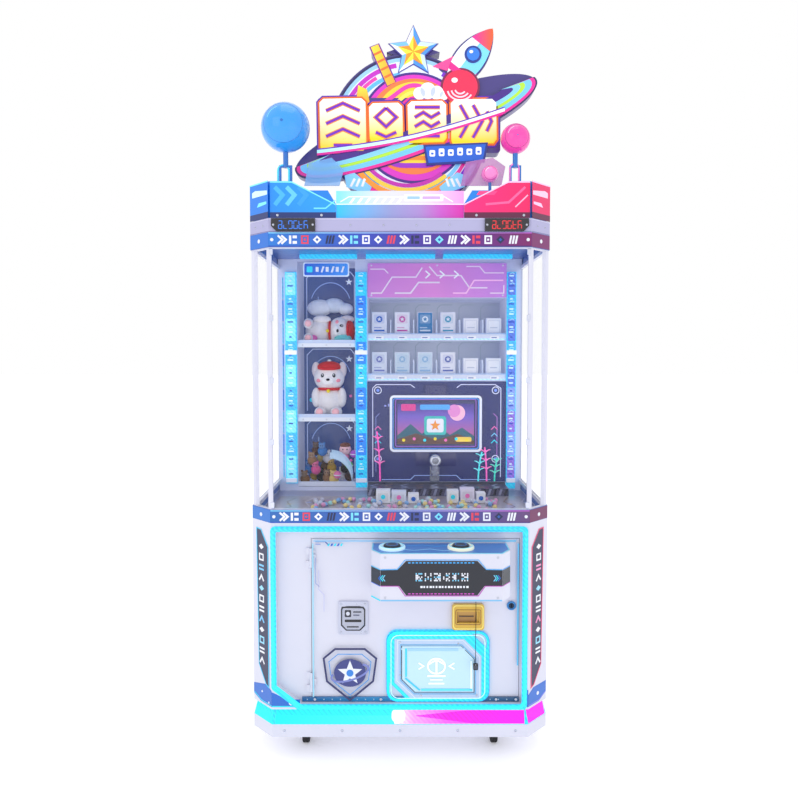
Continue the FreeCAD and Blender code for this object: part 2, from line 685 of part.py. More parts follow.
def coin_plate():
    width, height, proud = COIN_PLATE
    x0, x1 = COIN_LEFT, COIN_LEFT + width
    z0, z1 = COIN_FOOT, COIN_FOOT + height
    corners = [(x0, z0), (x1, z0), (x1, z1), (x0, z1)]
    plate = plate_xz(corners, RECESS_Y - proud, RECESS_Y, 5.0)
    middle = (x0 + x1) / 2
    shield = [
        (middle, z0 + 10),
        (middle + 26, z0 + 26),
        (middle + 26, z1 - 14),
        (middle - 26, z1 - 14),
        (middle - 26, z0 + 26),
    ]
    plate = plate.cut(plate_xz(shield, RECESS_Y - proud - 1, RECESS_Y - proud + 3, 6.0))
    slot = block(middle + 5, middle + 11, RECESS_Y - proud, RECESS_Y + 1, z1 - 58, z1 - 26)
    cup = block(middle - 16, middle + 16, RECESS_Y - proud, RECESS_Y + 1, z0 + 22, z0 + 40)
    return plate.cut(slot).cut(cup)


def coin_mech():
    """The coin validator behind the plate, and the cash box that hangs under it on the door."""
    width, height, _ = COIN_PLATE
    back = RECESS_Y + THIN_SHEET
    x0, x1 = COIN_LEFT + 4, COIN_LEFT + width - 4
    validator = block(x0, x1, back, back + COIN_MECH_DEPTH, COIN_FOOT, COIN_FOOT + height)
    chamfer = plate_yz([(back + COIN_MECH_DEPTH + 1, COIN_FOOT - 1),
                        (back + COIN_MECH_DEPTH + 1, COIN_FOOT + height / 2),
                        (back + COIN_MECH_DEPTH / 2, COIN_FOOT - 1)], x0 - 1, x1 + 1)
    validator = validator.cut(chamfer)
    box = block(x0 - 20, x1 + 20, back, back + COIN_MECH_DEPTH, COIN_FOOT - COIN_BOX_HEIGHT, COIN_FOOT)
    inside = block(x0 - 18, x1 + 18, back + THIN_SHEET, back + COIN_MECH_DEPTH - THIN_SHEET,
                   COIN_FOOT - COIN_BOX_HEIGHT + THIN_SHEET, COIN_FOOT + 1)
    return group([validator, box.cut(inside)])


def ticket_bezel():
    x0, x1 = TICKET_LEFT, TICKET_RIGHT
    z0, z1 = TICKET_FOOT, TICKET_FOOT + TICKET_HEIGHT
    body = plate_xz([(x0, z0), (x1, z0), (x1, z1), (x0, z1)], RECESS_Y - TICKET_PROUD, RECESS_Y, 9.0)
    mouth_w, mouth_h = TICKET_MOUTH
    mx0 = (x0 + x1 - mouth_w) / 2
    mz0 = (z0 + z1 - mouth_h) / 2
    mouth = block(mx0, mx0 + mouth_w, RECESS_Y - TICKET_PROUD - 1, RECESS_Y - 3, mz0, mz0 + mouth_h)
    slot = block(mx0 + mouth_w - 16, mx0 + mouth_w - 8, RECESS_Y - 4, RECESS_Y + 1, mz0, mz0 + mouth_h)
    return body.cut(mouth).cut(slot)


def ticket_dispenser():
    back = RECESS_Y + THIN_SHEET
    z0, z1 = TICKET_FOOT - 8, TICKET_FOOT + TICKET_HEIGHT + 8
    body = block(TICKET_LEFT - 6, TICKET_RIGHT + 6, back, back + TICKET_MECH_DEPTH, z0, z1)
    slot = block(TICKET_RIGHT - 31, TICKET_RIGHT - 23, back - 1, back + TICKET_MECH_DEPTH + 1,
                 z0 + 26, z1 - 26)
    return body.cut(slot)


FLAP_Y = RECESS_Y - PRIZE_PROUD / 2 - FLAP_THICKNESS / 2
FLAP_PIN_Y = FLAP_Y + FLAP_THICKNESS / 2
FLAP_OUTLINE_INSET = PRIZE_BORDER + FLAP_GAP
FLAP_TOP = PRIZE_TOP - FLAP_OUTLINE_INSET
FLAP_PIN_Z = FLAP_TOP - FLAP_PIN_DROP
FLAP_PIN_LEFT = PRIZE_LEFT + PRIZE_BORDER - 8.0
FLAP_PIN_RIGHT = PRIZE_RIGHT - PRIZE_CLIP + 9.0


def prize_frame():
    """A flange on the door's face and a sleeve behind it, whose square corners leave room for the flap's swing."""
    flange = plate_xz(prize_outline(0), RECESS_Y - PRIZE_PROUD, RECESS_Y)
    sleeve = plate_xz(prize_outline(PRIZE_BORDER / 3), RECESS_Y, RECESS_Y + PRIZE_SLEEVE)
    swing_room = block(PRIZE_LEFT + PRIZE_BORDER, PRIZE_RIGHT - PRIZE_BORDER, RECESS_Y, RECESS_Y + PRIZE_SLEEVE + 1,
                       PRIZE_FOOT + PRIZE_BORDER, PRIZE_TOP - PRIZE_BORDER)
    sleeve = sleeve.cut(swing_room)
    opening = plate_xz(prize_outline(PRIZE_BORDER), RECESS_Y - PRIZE_PROUD - 1, RECESS_Y + PRIZE_SLEEVE + 1)
    bore = rod_x(FLAP_PIN_LEFT - 1, FLAP_PIN_RIGHT + 1, FLAP_PIN_Y, FLAP_PIN_Z, FLAP_PIN_RADIUS + RUNNING_FIT)
    return joined([flange, sleeve]).cut(opening).cut(bore)


def prize_flap():
    sheet = plate_xz(prize_outline(FLAP_OUTLINE_INSET), FLAP_Y, FLAP_Y + FLAP_THICKNESS)
    pin = rod_x(FLAP_PIN_LEFT, FLAP_PIN_RIGHT, FLAP_PIN_Y, FLAP_PIN_Z, FLAP_PIN_RADIUS)
    return joined([sheet, pin])


def prize_light_ring():
    x0, x1 = PRIZE_LEFT - GLOW_SIDE, PRIZE_RIGHT + GLOW_SIDE
    z0, z1 = PRIZE_FOOT - GLOW_FOOT, PRIZE_TOP + GLOW_TOP
    clip = PRIZE_CLIP + 14.0
    outer = [(x0 + clip, z0), (x1, z0), (x1, z1 - clip), (x1 - clip, z1), (x0, z1), (x0, z0 + clip)]
    ring = plate_xz(outer, RECESS_Y - PRIZE_PROUD, RECESS_Y, 34.0)
    return ring.cut(plate_xz(prize_outline(-SLIDE_GAP), RECESS_Y - PRIZE_PROUD - 1, RECESS_Y + 1))


CHUTE_DEPTH = 150.0
CHUTE_Y = RECESS_Y + THIN_SHEET + DOOR_RETURN + 8.0
CHUTE_RIGHT = PRIZE_LEFT + 152.0
CHUTE_WALL_TOP = PRIZE_TOP - 14.0


def prize_chute():
    """A duct from the hole in the playing deck down to a tray behind the prize flap."""
    x0, x1 = PRIZE_LEFT + 2, PRIZE_RIGHT - 2
    floor_z = PRIZE_FOOT + 2
    y0, y1 = CHUTE_Y, CHUTE_Y + CHUTE_DEPTH
    tray = block(x0, x1, y0, y1, LOWER_FOOT + SHEET, CHUTE_WALL_TOP)
    room = block(x0 + THIN_SHEET, x1 - THIN_SHEET, y0 - 1, y1 - THIN_SHEET, floor_z, CHUTE_WALL_TOP + 1)
    under = block(x0 + THIN_SHEET, x1 - THIN_SHEET, y0 - 1, y1 + 1, LOWER_FOOT, floor_z - THIN_SHEET)
    tray = tray.cut(room).cut(under)
    deck_foot = DECK_TOP - DECK_THICKNESS
    duct_x1 = CHUTE_RIGHT
    duct_y0 = y0 + 30.0
    duct = block(x0, duct_x1, duct_y0, y1, CHUTE_WALL_TOP, deck_foot)
    duct = duct.cut(block(x0 + THIN_SHEET, duct_x1 - THIN_SHEET, duct_y0 + THIN_SHEET, y1 - THIN_SHEET,
                          CHUTE_WALL_TOP - 1, deck_foot + 1))
    return joined([tray, duct])


def door_lock():
    back = RECESS_Y + THIN_SHEET
    bezel = rod_y(LOCK_X, RECESS_Y - 5, RECESS_Y, LOCK_Z, LOCK_BEZEL_RADIUS)
    barrel = rod_y(LOCK_X, RECESS_Y, back + LOCK_BARREL_LENGTH, LOCK_Z, LOCK_BARREL_RADIUS)
    keyway = block(LOCK_X - 1.2, LOCK_X + 1.2, RECESS_Y - 6, RECESS_Y + 4, LOCK_Z - 5, LOCK_Z + 5)
    stud = rod_y(LOCK_X, back + LOCK_BARREL_LENGTH, back + LOCK_BARREL_LENGTH + 7, LOCK_Z, 3.0)
    return joined([bezel, barrel, stud]).cut(keyway)


def lock_cam():
    """The cam hangs straight down when unlocked."""
    y0 = RECESS_Y + THIN_SHEET + LOCK_BARREL_LENGTH + SLIDE_GAP
    y1 = y0 + SHEET
    arm = block(LOCK_X - 8, LOCK_X + 8, y0, y1, LOCK_Z - CAM_LENGTH, LOCK_Z)
    hub = rod_y(LOCK_X, y0, y1, LOCK_Z, 10.0)
    return joined([arm, hub]).cut(rod_y(LOCK_X, y0 - 1, y1 + 1, LOCK_Z, 3.0 + RUNNING_FIT))


# ---------------------------------------------------------------- hanging cord
CORD_X = DOOR_RIGHT - CORD_FROM_LOCK_EDGE
CORD_Y = FRONT_Y - CONTROL_REACH + CORD_SETBACK
CORD_POINTS = [
    (CORD_X, CORD_Y, CONTROL_FOOT),
    (CORD_X + 0.8, CORD_Y + 0.3, CONTROL_FOOT - 0.36 * CORD_LENGTH),
    (CORD_X - 0.6, CORD_Y - 0.2, CONTROL_FOOT - 0.72 * CORD_LENGTH),
    (CORD_X, CORD_Y, CONTROL_FOOT - CORD_LENGTH),
]


def cord_path(points):
    """Straight runs joined by tangent arcs; each arc is as large as its two runs allow."""
    places = [V(*p) for p in points]
    edges = []
    start = places[0]
    for i in range(1, len(places) - 1):
        back_dir = (places[i - 1] - places[i]).normalize()
        on_dir = (places[i + 1] - places[i]).normalize()
        shorter = min((places[i - 1] - places[i]).Length, (places[i + 1] - places[i]).Length)
        turn = math.pi - back_dir.getAngle(on_dir)
        reach = 0.45 * shorter
        radius = reach / math.tan(turn / 2)
        print("cord bend radius", round(radius, 1))
        into = places[i] + back_dir * reach
        out = places[i] + on_dir * reach
        bisector = (back_dir + on_dir).normalize()
        middle = places[i] + bisector * (radius / math.cos(turn / 2) - radius)
        edges.append(Part.LineSegment(start, into).toShape())
        edges.append(Part.Arc(into, middle, out).toShape())
        start = out
    edges.append(Part.LineSegment(start, places[-1]).toShape())
    return Part.Wire(edges)


def hang_cord():
    path = cord_path(CORD_POINTS)
    direction = V(*CORD_POINTS[1]) - V(*CORD_POINTS[0])
    circle = Part.Circle(V(*CORD_POINTS[0]), direction, CORD_DIAMETER / 2).toShape()
    tube = path.makePipeShell([Part.Wire([circle])], True, False)
    expected = math.pi * CORD_DIAMETER ** 2 / 4 * path.Length
    print("cord volume over section times length", round(tube.Volume / expected, 4))
    return tube


def cord_tag():
    width, depth, height = TAG_SIZE
    top = CONTROL_FOOT - CORD_LENGTH
    corners = [
        (CORD_X - width / 2, top - height),
        (CORD_X + width / 2, top - height),
        (CORD_X + width / 2, top),
        (CORD_X - width / 2, top),
    ]
    return plate_xz(corners, CORD_Y - depth / 2, CORD_Y + depth / 2, 2.5)


# ---------------------------------------------------------------- window and deck
def waist_band():
    return body_ring(0, SHEET, WAIST_FOOT, WAIST_TOP)


def post_regions():
    """Where the four slim window posts stand, as plan boxes."""
    half_post = POST_SIZE / 2
    regions = []
    for side in (-1, 1):
        front = (side * FRONT_HALF, FRONT_Y + half_post)
        corner = (side * (HALF - half_post), FRONT_Y + CORNER_CHAMFER)
        regions.append((front[0] - half_post, front[0] + half_post, front[1] - POST_SIZE, front[1] + POST_SIZE))
        regions.append((corner[0] - POST_SIZE, corner[0] + POST_SIZE, corner[1] - half_post, corner[1] + half_post))
    return regions


def upper_frame():
    """The welded frame: sill, lintel, four slim posts and the closed rear part of the upper body."""
    behind = block(-HALF, HALF, BAY_Y, BACK_Y, SILL_FOOT, LINTEL_TOP)
    sill = body_ring(SHEET, SHEET + SILL_DEPTH, SILL_FOOT, SILL_TOP).cut(behind)
    lintel = body_ring(SHEET, SHEET + SILL_DEPTH, LINTEL_FOOT, LINTEL_TOP).cut(behind)
    posts = []
    ring = body_ring(SHEET, SHEET + SILL_DEPTH - 2, SILL_FOOT, LINTEL_TOP)
    for x0, x1, y0, y1 in post_regions():
        posts.append(ring.common(block(x0, x1, y0, y1, SILL_FOOT, LINTEL_TOP)))
    rear = body_ring(SHEET, WALL_INSET, SILL_FOOT, LINTEL_TOP)
    rear = rear.common(behind)
    return joined([sill, lintel, rear] + posts)


def glazing():
    """All the window panes as one ring, before it is divided at the posts."""
    ring = body_ring(GLASS_INSET, GLASS_INSET + GLASS, SILL_TOP, LINTEL_FOOT)
    ring = ring.cut(block(-HALF, HALF, BAY_Y, BACK_Y, SILL_TOP, LINTEL_FOOT))
    for x0, x1, y0, y1 in post_regions():
        ring = ring.cut(block(x0, x1, y0, y1, SILL_TOP, LINTEL_FOOT))
    return ring.Solids


def front_glass():
    return min(glazing(), key=lambda pane: pane.BoundBox.YMax)


def side_glass():
    front = front_glass()
    return group([pane for pane in glazing() if abs(pane.Volume - front.Volume) > 1.0])


def deck():
    """The playing deck, with the hole that prizes and marbles drop through."""
    foot = DECK_TOP - DECK_THICKNESS
    plate = body_prism(SHEET, foot, DECK_TOP)
    hole = block(PRIZE_LEFT + 2 + THIN_SHEET, CHUTE_RIGHT - THIN_SHEET, CHUTE_Y + 30.0 + THIN_SHEET,
                 CHUTE_Y + CHUTE_DEPTH - THIN_SHEET, foot - 1, DECK_TOP + 1)
    shaft_hole = rod_z(DRIVE_X, CRANK_Y, foot - 1, DECK_TOP + 1, SHAFT_RADIUS + 1.0)
    return plate.cut(hole).cut(shaft_hole)


def head_band():
    """The upper band, with the bay's ceiling fixed inside it."""
    band = body_ring(0, SHEET, HEAD_FOOT, HEADER_FOOT)
    ceiling = body_prism(SHEET, CEILING, CEILING + SHEET)
    return joined([band, ceiling])


def header():
    pan = body_prism(0, HEADER_FOOT, ROOF)
    return pan.cut(body_prism(SHEET, HEADER_FOOT - 1, ROOF - SHEET))


def header_displays():
    width, height = DISPLAY_SIZE
    inner = FRONT_HALF - DISPLAY_FROM_CORNER - width
    outer = FRONT_HALF - DISPLAY_FROM_CORNER
    points = [
        (inner, HEADER_FOOT + 1),
        (outer - DISPLAY_CLIP, HEADER_FOOT + 1),
        (outer, HEADER_FOOT + 1 + DISPLAY_CLIP),
        (outer, HEADER_FOOT + 1 + height),
        (inner, HEADER_FOOT + 1 + height),
    ]
    right = plate_xz(points, FRONT_Y - DISPLAY_PROUD, FRONT_Y)
    return group([mirrored(right), right])


def crown_wings():
    """Stepped fins over the front corners; each slopes down towards the middle."""
    ring = body_ring(CROWN_SETBACK, CROWN_SETBACK + SHEET, ROOF, CROWN_TOP)
    depth = CROWN_SETBACK + CORNER_CHAMFER + CROWN_SIDE_RETURN
    right = ring.common(block(CROWN_INNER, HALF, FRONT_Y, FRONT_Y + depth, ROOF, CROWN_TOP))
    step = CROWN_TOP - 28.0
    cut_outline = [
        (CROWN_INNER - 1, CROWN_TOP - 68.0),
        (CROWN_INNER, CROWN_TOP - 68.0),
        (CROWN_INNER + 24, step),
        (CROWN_INNER + 110, step),
        (CROWN_INNER + 134, CROWN_TOP),
        (CROWN_INNER + 134, CROWN_TOP + 1),
        (CROWN_INNER - 1, CROWN_TOP + 1),
    ]
    right = right.cut(plate_xz(cut_outline, FRONT_Y, FRONT_Y + depth))
    return group([mirrored(right), right])


def crown_centre():
    y0 = FRONT_Y + CROWN_CENTRE_SETBACK
    face = block(-CROWN_INNER, CROWN_INNER, y0, y0 + SHEET, ROOF, ROOF + CROWN_CENTRE_HEIGHT)
    cover = block(-CROWN_INNER, CROWN_INNER, y0, FRONT_Y + SIGN_SETBACK - SLIDE_GAP,
                  ROOF + CROWN_CENTRE_HEIGHT - SHEET, ROOF + CROWN_CENTRE_HEIGHT)
    cheeks = []
    for x in (-CROWN_INNER, CROWN_INNER - SHEET):
        cheeks.append(block(x, x + SHEET, FRONT_Y + CROWN_SETBACK + SHEET, FRONT_Y + SIGN_SETBACK - SLIDE_GAP,
                            ROOF, CROWN_TOP - 68.0))
    return joined([face, cover] + cheeks)


# ---------------------------------------------------------------- sign and globes
SIGN_FOOT = CROWN_TOP + SIGN_GAP
SIGN_Y0 = FRONT_Y + SIGN_SETBACK
SIGN_Y1 = SIGN_Y0 + SIGN_THICKNESS
SIGN_MIDDLE = (26.0, SIGN_FOOT + 166.0)
RING_MIDDLE = (50.0, SIGN_FOOT + 188.0)
STAR_MIDDLE = (42.0, SIGN_FOOT + 423.0)
WORD_LEFT, WORD_RIGHT = -262.0, 318.0
WORD_FOOT, WORD_TOP = SIGN_FOOT + 104.0, SIGN_FOOT + 276.0
ROCKET_NOSE = (292.0, SIGN_FOOT + 490.0)
ROCKET_TAIL = (168.0, SIGN_FOOT + 330.0)
ROCKET_WIDTH = 84.0
STICK_ENDS = ((-80.0, SIGN_FOOT + 440.0), (-26.0, SIGN_FOOT + 318.0))
STICK_WIDTH = 34.0


def star_outline(middle, radius, waist):
    points = []
    for i in range(8):
        reach = radius if i % 2 == 0 else waist
        angle = math.radians(45.0 * i)
        points.append((middle[0] + reach * math.cos(angle), middle[1] + reach * math.sin(angle)))
    return points


def bar_outline(start, end, width):
    length = math.hypot(end[0] - start[0], end[1] - start[1])
    ux, uz = (end[0] - start[0]) / length, (end[1] - start[1]) / length
    px, pz = -uz * width / 2, ux * width / 2
    return [
        (start[0] - px, start[1] - pz),
        (end[0] - px, end[1] - pz),
        (end[0] + px, end[1] + pz),
        (start[0] + px, start[1] + pz),
    ]


def rocket_outline():
    """A body with a pointed nose, and a fin each side of its tail."""
    length = math.hypot(ROCKET_NOSE[0] - ROCKET_TAIL[0], ROCKET_NOSE[1] - ROCKET_TAIL[1])
    ux, uz = (ROCKET_NOSE[0] - ROCKET_TAIL[0]) / length, (ROCKET_NOSE[1] - ROCKET_TAIL[1]) / length
    px, pz = -uz, ux
    half = ROCKET_WIDTH / 2
    profile = [
        (0.0, -half - 22),
        (0.34 * length, -half),
        (0.72 * length, -half * 0.82),
        (length, 0.0),
        (0.72 * length, half * 0.82),
        (0.34 * length, half),
        (0.0, half + 22),
    ]
    return [(ROCKET_TAIL[0] + a * ux + b * px, ROCKET_TAIL[1] + a * uz + b * pz) for a, b in profile]


def sign_case():
    """The sign's body: a disc cut flat below, a tilted ring, a word block, a star, a rocket and a stick."""
    thick = SIGN_THICKNESS
    disc = rod_y(SIGN_MIDDLE[0], SIGN_Y0, SIGN_Y1, SIGN_MIDDLE[1], SIGN_DISC_RADIUS)
    below = block(-HALF, HALF, SIGN_Y0 - 1, SIGN_Y1 + 1, SIGN_FOOT - 200, SIGN_FOOT)
    right_clip = plate_xz([(220.0, SIGN_FOOT - 1), (400.0, SIGN_FOOT - 1), (400.0, SIGN_FOOT + 260)],
                          SIGN_Y0 - 1, SIGN_Y1 + 1)
    disc = disc.cut(below).cut(right_clip)
    tilt = math.radians(SIGN_RING_TILT)
    ellipse = Part.Ellipse(
        V(RING_MIDDLE[0] + SIGN_RING_LONG * math.cos(tilt), SIGN_Y0, RING_MIDDLE[1] + SIGN_RING_LONG * math.sin(tilt)),
        V(RING_MIDDLE[0] - SIGN_RING_SHORT * math.sin(tilt), SIGN_Y0,
          RING_MIDDLE[1] + SIGN_RING_SHORT * math.cos(tilt)),
        V(RING_MIDDLE[0], SIGN_Y0, RING_MIDDLE[1]))
    ring = Part.Face(Part.Wire([ellipse.toShape()])).extrude(V(0, thick * 0.8, 0))
    word = plate_xz([(WORD_LEFT, WORD_FOOT), (WORD_RIGHT, WORD_FOOT), (WORD_RIGHT, WORD_TOP), (WORD_LEFT, WORD_TOP)],
                    SIGN_Y0 - 8, SIGN_Y0 + thick * 0.7, 12.0)
    star = plate_xz(star_outline(STAR_MIDDLE, SIGN_STAR_RADIUS, SIGN_STAR_RADIUS * 0.36), SIGN_Y0 + 4, SIGN_Y1 - 6)
    rocket = plate_xz(rocket_outline(), SIGN_Y0 - 4, SIGN_Y1 - 10, 8.0)
    stick = plate_xz(bar_outline(STICK_ENDS[0], STICK_ENDS[1], STICK_WIDTH), SIGN_Y0 + 6, SIGN_Y1 - 8, 12.0)
    legs = []
    for side in (-1, 1):
        x = SIGN_MIDDLE[0] + side * SIGN_LEG_SPACING / 2
        legs.append(block(x - SIGN_LEG_WIDTH / 2, x + SIGN_LEG_WIDTH / 2, SIGN_Y0 + 24, SIGN_Y0 + 32,
                          ROOF, SIGN_FOOT + 20))
    globe_x, globe_z, globe_r = -235.0, SIGN_FOOT + 263.0, 29.0
    globe = Part.makeSphere(globe_r, V(globe_x, SIGN_Y0 + thick / 2, globe_z))
    stem = rod_x(globe_x, globe_x + 60, SIGN_Y0 + thick / 2, globe_z - 6, 6.0)
    return joined([disc, ring, word, star, rocket, stick] + legs + [globe, stem])


def globe_stand(x, arch_width, arch_top, globe_z, radius):
    """A globe on a short stub, on an arch that stands on the roof."""
    y = FRONT_Y + CROWN_SETBACK + 40.0
    wall = 7.0
    arch = block(x - arch_width / 2, x + arch_width / 2, y, y + 6, ROOF, arch_top)
    arch = arch.cut(block(x - arch_width / 2 + wall, x + arch_width / 2 - wall, y - 1, y + 7, ROOF - 1, arch_top - wall))
    stub = rod_z(x, y + 3, arch_top - wall, globe_z, 8.0)
    globe = Part.makeSphere(radius, V(x, y + 3, globe_z))
    return joined([arch, stub, globe])


def globes():
    big = globe_stand(-353.0, 40.0, CROWN_TOP + 58.0, CROWN_TOP + 173.0, 74.0)
    rose = globe_stand(356.0, 36.0, CROWN_TOP + 58.0, CROWN_TOP + 139.0, 45.0)
    small_y = FRONT_Y + CROWN_SETBACK + 43.0
    small = joined([Part.makeSphere(26.0, V(278.0, small_y, CROWN_TOP + 31.0)),
                    rod_z(278.0, small_y, ROOF, CROWN_TOP + 31.0, 5.0)])
    return group([big, rose, small])


# ---------------------------------------------------------------- playing bay
def niche(x0, x1, z0, z1):
    """A box open to the front, behind the bay's face."""
    outer = block(x0 - THIN_SHEET, x1 + THIN_SHEET, BAY_Y, BAY_Y + NICHE_DEPTH, z0 - THIN_SHEET, z1 + THIN_SHEET)
    return outer.cut(block(x0, x1, BAY_Y - 1, BAY_Y + NICHE_DEPTH - THIN_SHEET, z0, z1))


NICHE_TOP = CEILING - 8.0
LEFT_NICHE_FOOT = DECK_TOP + 14.0
RIGHT_NICHE_TOP = CEILING - BANNER_HEIGHT
PUSHER_GATE_TOP = DECK_TOP + PUSHER_HEIGHT + 4.0


def bay_liner():
    edge = HALF - WALL_INSET
    face = block(-edge, edge, BAY_Y, BAY_Y + SHEET, DECK_TOP, CEILING)
    left = (LEFT_NICHE_LEFT, LEFT_NICHE_RIGHT, LEFT_NICHE_FOOT, NICHE_TOP)
    right = (RIGHT_NICHE_LEFT, RIGHT_NICHE_RIGHT, PANEL_TOP, RIGHT_NICHE_TOP)
    boxes = []
    for x0, x1, z0, z1 in (left, right):
        face = face.cut(block(x0, x1, BAY_Y - 1, BAY_Y + SHEET + 1, z0, z1))
        boxes.append(niche(x0, x1, z0, z1).cut(block(x0, x1, BAY_Y - 1, BAY_Y + 5, z0, z1)))
    gate = block(PUSHER_LEFT - PUSHER_SIDE_GAP, PUSHER_RIGHT + PUSHER_SIDE_GAP, BAY_Y - 1, BAY_Y + SHEET + 1,
                 DECK_TOP - 1, PUSHER_GATE_TOP)
    screen_hole = screen_block(BAY_Y - 1, BAY_Y + SHEET + 1, -DOOR_GAP)
    return joined([face.cut(gate).cut(screen_hole)] + boxes)


def shelf(x0, x1, top, thickness, dividers):
    y1 = BAY_Y + NICHE_DEPTH - THIN_SHEET
    pieces = [block(x0, x1, BAY_Y, y1, top - thickness, top)]
    pitch = (x1 - x0) / SHELF_SLOTS
    for i in range(dividers):
        x = x0 + pitch * (i + 1)
        pieces.append(block(x - 1.5, x + 1.5, BAY_Y + 6, BAY_Y + 96, top, top + 58))
    return joined(pieces)


def shelves_right():
    rows = []
    for top in SHELF_TOPS:
        rows.append(shelf(RIGHT_NICHE_LEFT, RIGHT_NICHE_RIGHT, top, RIGHT_SHELF_THICKNESS, SHELF_SLOTS - 1))
    return group(rows)


def left_shelf_tops():
    return [CEILING - drop for drop in LEFT_SHELF_DROPS]


def shelves_left():
    rows = []
    for top in left_shelf_tops():
        rows.append(shelf(LEFT_NICHE_LEFT, LEFT_NICHE_RIGHT, top, LEFT_SHELF_THICKNESS, 0))
    return group(rows)


def prize_boxes():
    width, depth, height = PRIZE_BOX
    pitch = (RIGHT_NICHE_RIGHT - RIGHT_NICHE_LEFT) / SHELF_SLOTS
    boxes = []
    for top in SHELF_TOPS:
        for slot in range(SHELF_SLOTS):
            x = RIGHT_NICHE_LEFT + pitch * (slot + 0.5)
            tall = height if slot < 4 else LOW_BOX_HEIGHT
            boxes.append(block(x - width / 2, x + width / 2, BAY_Y + 20, BAY_Y + 20 + depth, top, top + tall))
    return group(boxes)


def plush(x, top):
    """A sitting toy dog: a round head on a wider seated body, flat underneath."""
    y = BAY_Y + 80.0
    body = Part.makeSphere(62.0, V(0, 0, 0))
    body.Placement = FreeCAD.Placement(V(x, y, top + 52.0), FreeCAD.Rotation())
    head = Part.makeSphere(68.0, V(x, y - 6, top + 138.0))
    legs = [Part.makeSphere(30.0, V(x + side * 50, y - 34, top + 28.0)) for side in (-1, 1)]
    ears = [Part.makeSphere(30.0, V(x + side * 66, y - 4, top + 118.0)) for side in (-1, 1)]
    cap = Part.makeCylinder(44.0, 26.0, V(x, y, top + 192.0), V(0, 0, 1))
    toy = joined([body, head, cap] + legs + ears)
    floor_cut = block(x - 200, x + 200, y - 200, y + 200, top - 100, top + SLIDE_GAP)
    return toy.cut(floor_cut)


def plush_toys():
    x = (LEFT_NICHE_LEFT + LEFT_NICHE_RIGHT) / 2
    return group([plush(x, top) for top in left_shelf_tops()])


def light_bars():
    """Three upright light columns on the bay's face, and three bars under the ceiling."""
    bars = []
    for x, foot in ((LEFT_COLUMN, DECK_TOP + 30), (MIDDLE_COLUMN, DECK_TOP + 14)):
        bars.append(block(x, x + COLUMN_WIDTH, BAY_Y - COLUMN_DEPTH, BAY_Y, foot, CEILING - 50))
    bars.append(block(RIGHT_COLUMN, RIGHT_COLUMN + COLUMN_WIDTH - 8, BAY_Y - COLUMN_DEPTH, BAY_Y,
                      DECK_TOP + 10, CEILING - 50))
    bar_y = FRONT_Y + 400.0
    for x0, x1 in ((-362.0, -156.0), (-123.0, 127.0), (156.0, 405.0)):
        bars.append(block(x0, x1, bar_y, bar_y + 24, CEILING - 14, CEILING))
    return group(bars)


# ---------------------------------------------------------------- game panel and screen
SCREEN_TOP = PANEL_TOP - SCREEN_BELOW_PANEL_TOP
SCREEN_FOOT = SCREEN_TOP - SCREEN_SIZE[1]


def screen_block(y0, y1, margin):
    half = SCREEN_SIZE[0] / 2
    return block(PANEL_MIDDLE - half + margin, PANEL_MIDDLE + half - margin, y0, y1,
                 SCREEN_FOOT + margin, SCREEN_TOP - margin)


def game_panel():
    panel = block(RIGHT_NICHE_LEFT - 1, RIGHT_NICHE_RIGHT + 1, PANEL_Y, BAY_Y, DECK_TOP + PANEL_FOOT, PANEL_TOP)
    return panel.cut(screen_block(PANEL_Y - 1, BAY_Y + 1, -DOOR_GAP))


def screen():
    """The display in its bezel with the tab under it, and the counter above it."""
    half = SCREEN_SIZE[0] / 2 + SCREEN_BEZEL
    bezel = block(PANEL_MIDDLE - half, PANEL_MIDDLE + half, PANEL_Y - 6, PANEL_Y,
                  SCREEN_FOOT - SCREEN_BEZEL, SCREEN_TOP + 22)
    bezel = bezel.cut(screen_block(PANEL_Y - 7, PANEL_Y - 3, 0))
    tab_w, tab_h = TAB_SIZE
    tab = block(PANEL_MIDDLE - tab_w / 2, PANEL_MIDDLE + tab_w / 2, PANEL_Y - 6, PANEL_Y,
                SCREEN_FOOT - SCREEN_BEZEL - tab_h, SCREEN_FOOT - SCREEN_BEZEL)
    display = screen_block(PANEL_Y - 3, PANEL_Y - 3 + SCREEN_DEPTH, 0)
    counter_w, counter_h = COUNTER_SIZE
    counter = block(PANEL_MIDDLE - counter_w / 2, PANEL_MIDDLE + counter_w / 2, PANEL_Y - 8, PANEL_Y,
                    SCREEN_TOP + 24, SCREEN_TOP + 24 + counter_h)
    return group([joined([bezel, tab, display]), counter])


# ---------------------------------------------------------------- launcher
LAUNCHER_X = PANEL_MIDDLE - 4.0
LAUNCHER_Y = BAY_Y - LAUNCHER_SETBACK
LAUNCHER_Z = DECK_TOP + LAUNCHER_ABOVE_DECK
LAUNCHER_SEAT = LAUNCHER_Z - LAUNCHER_RADIUS - 4.0


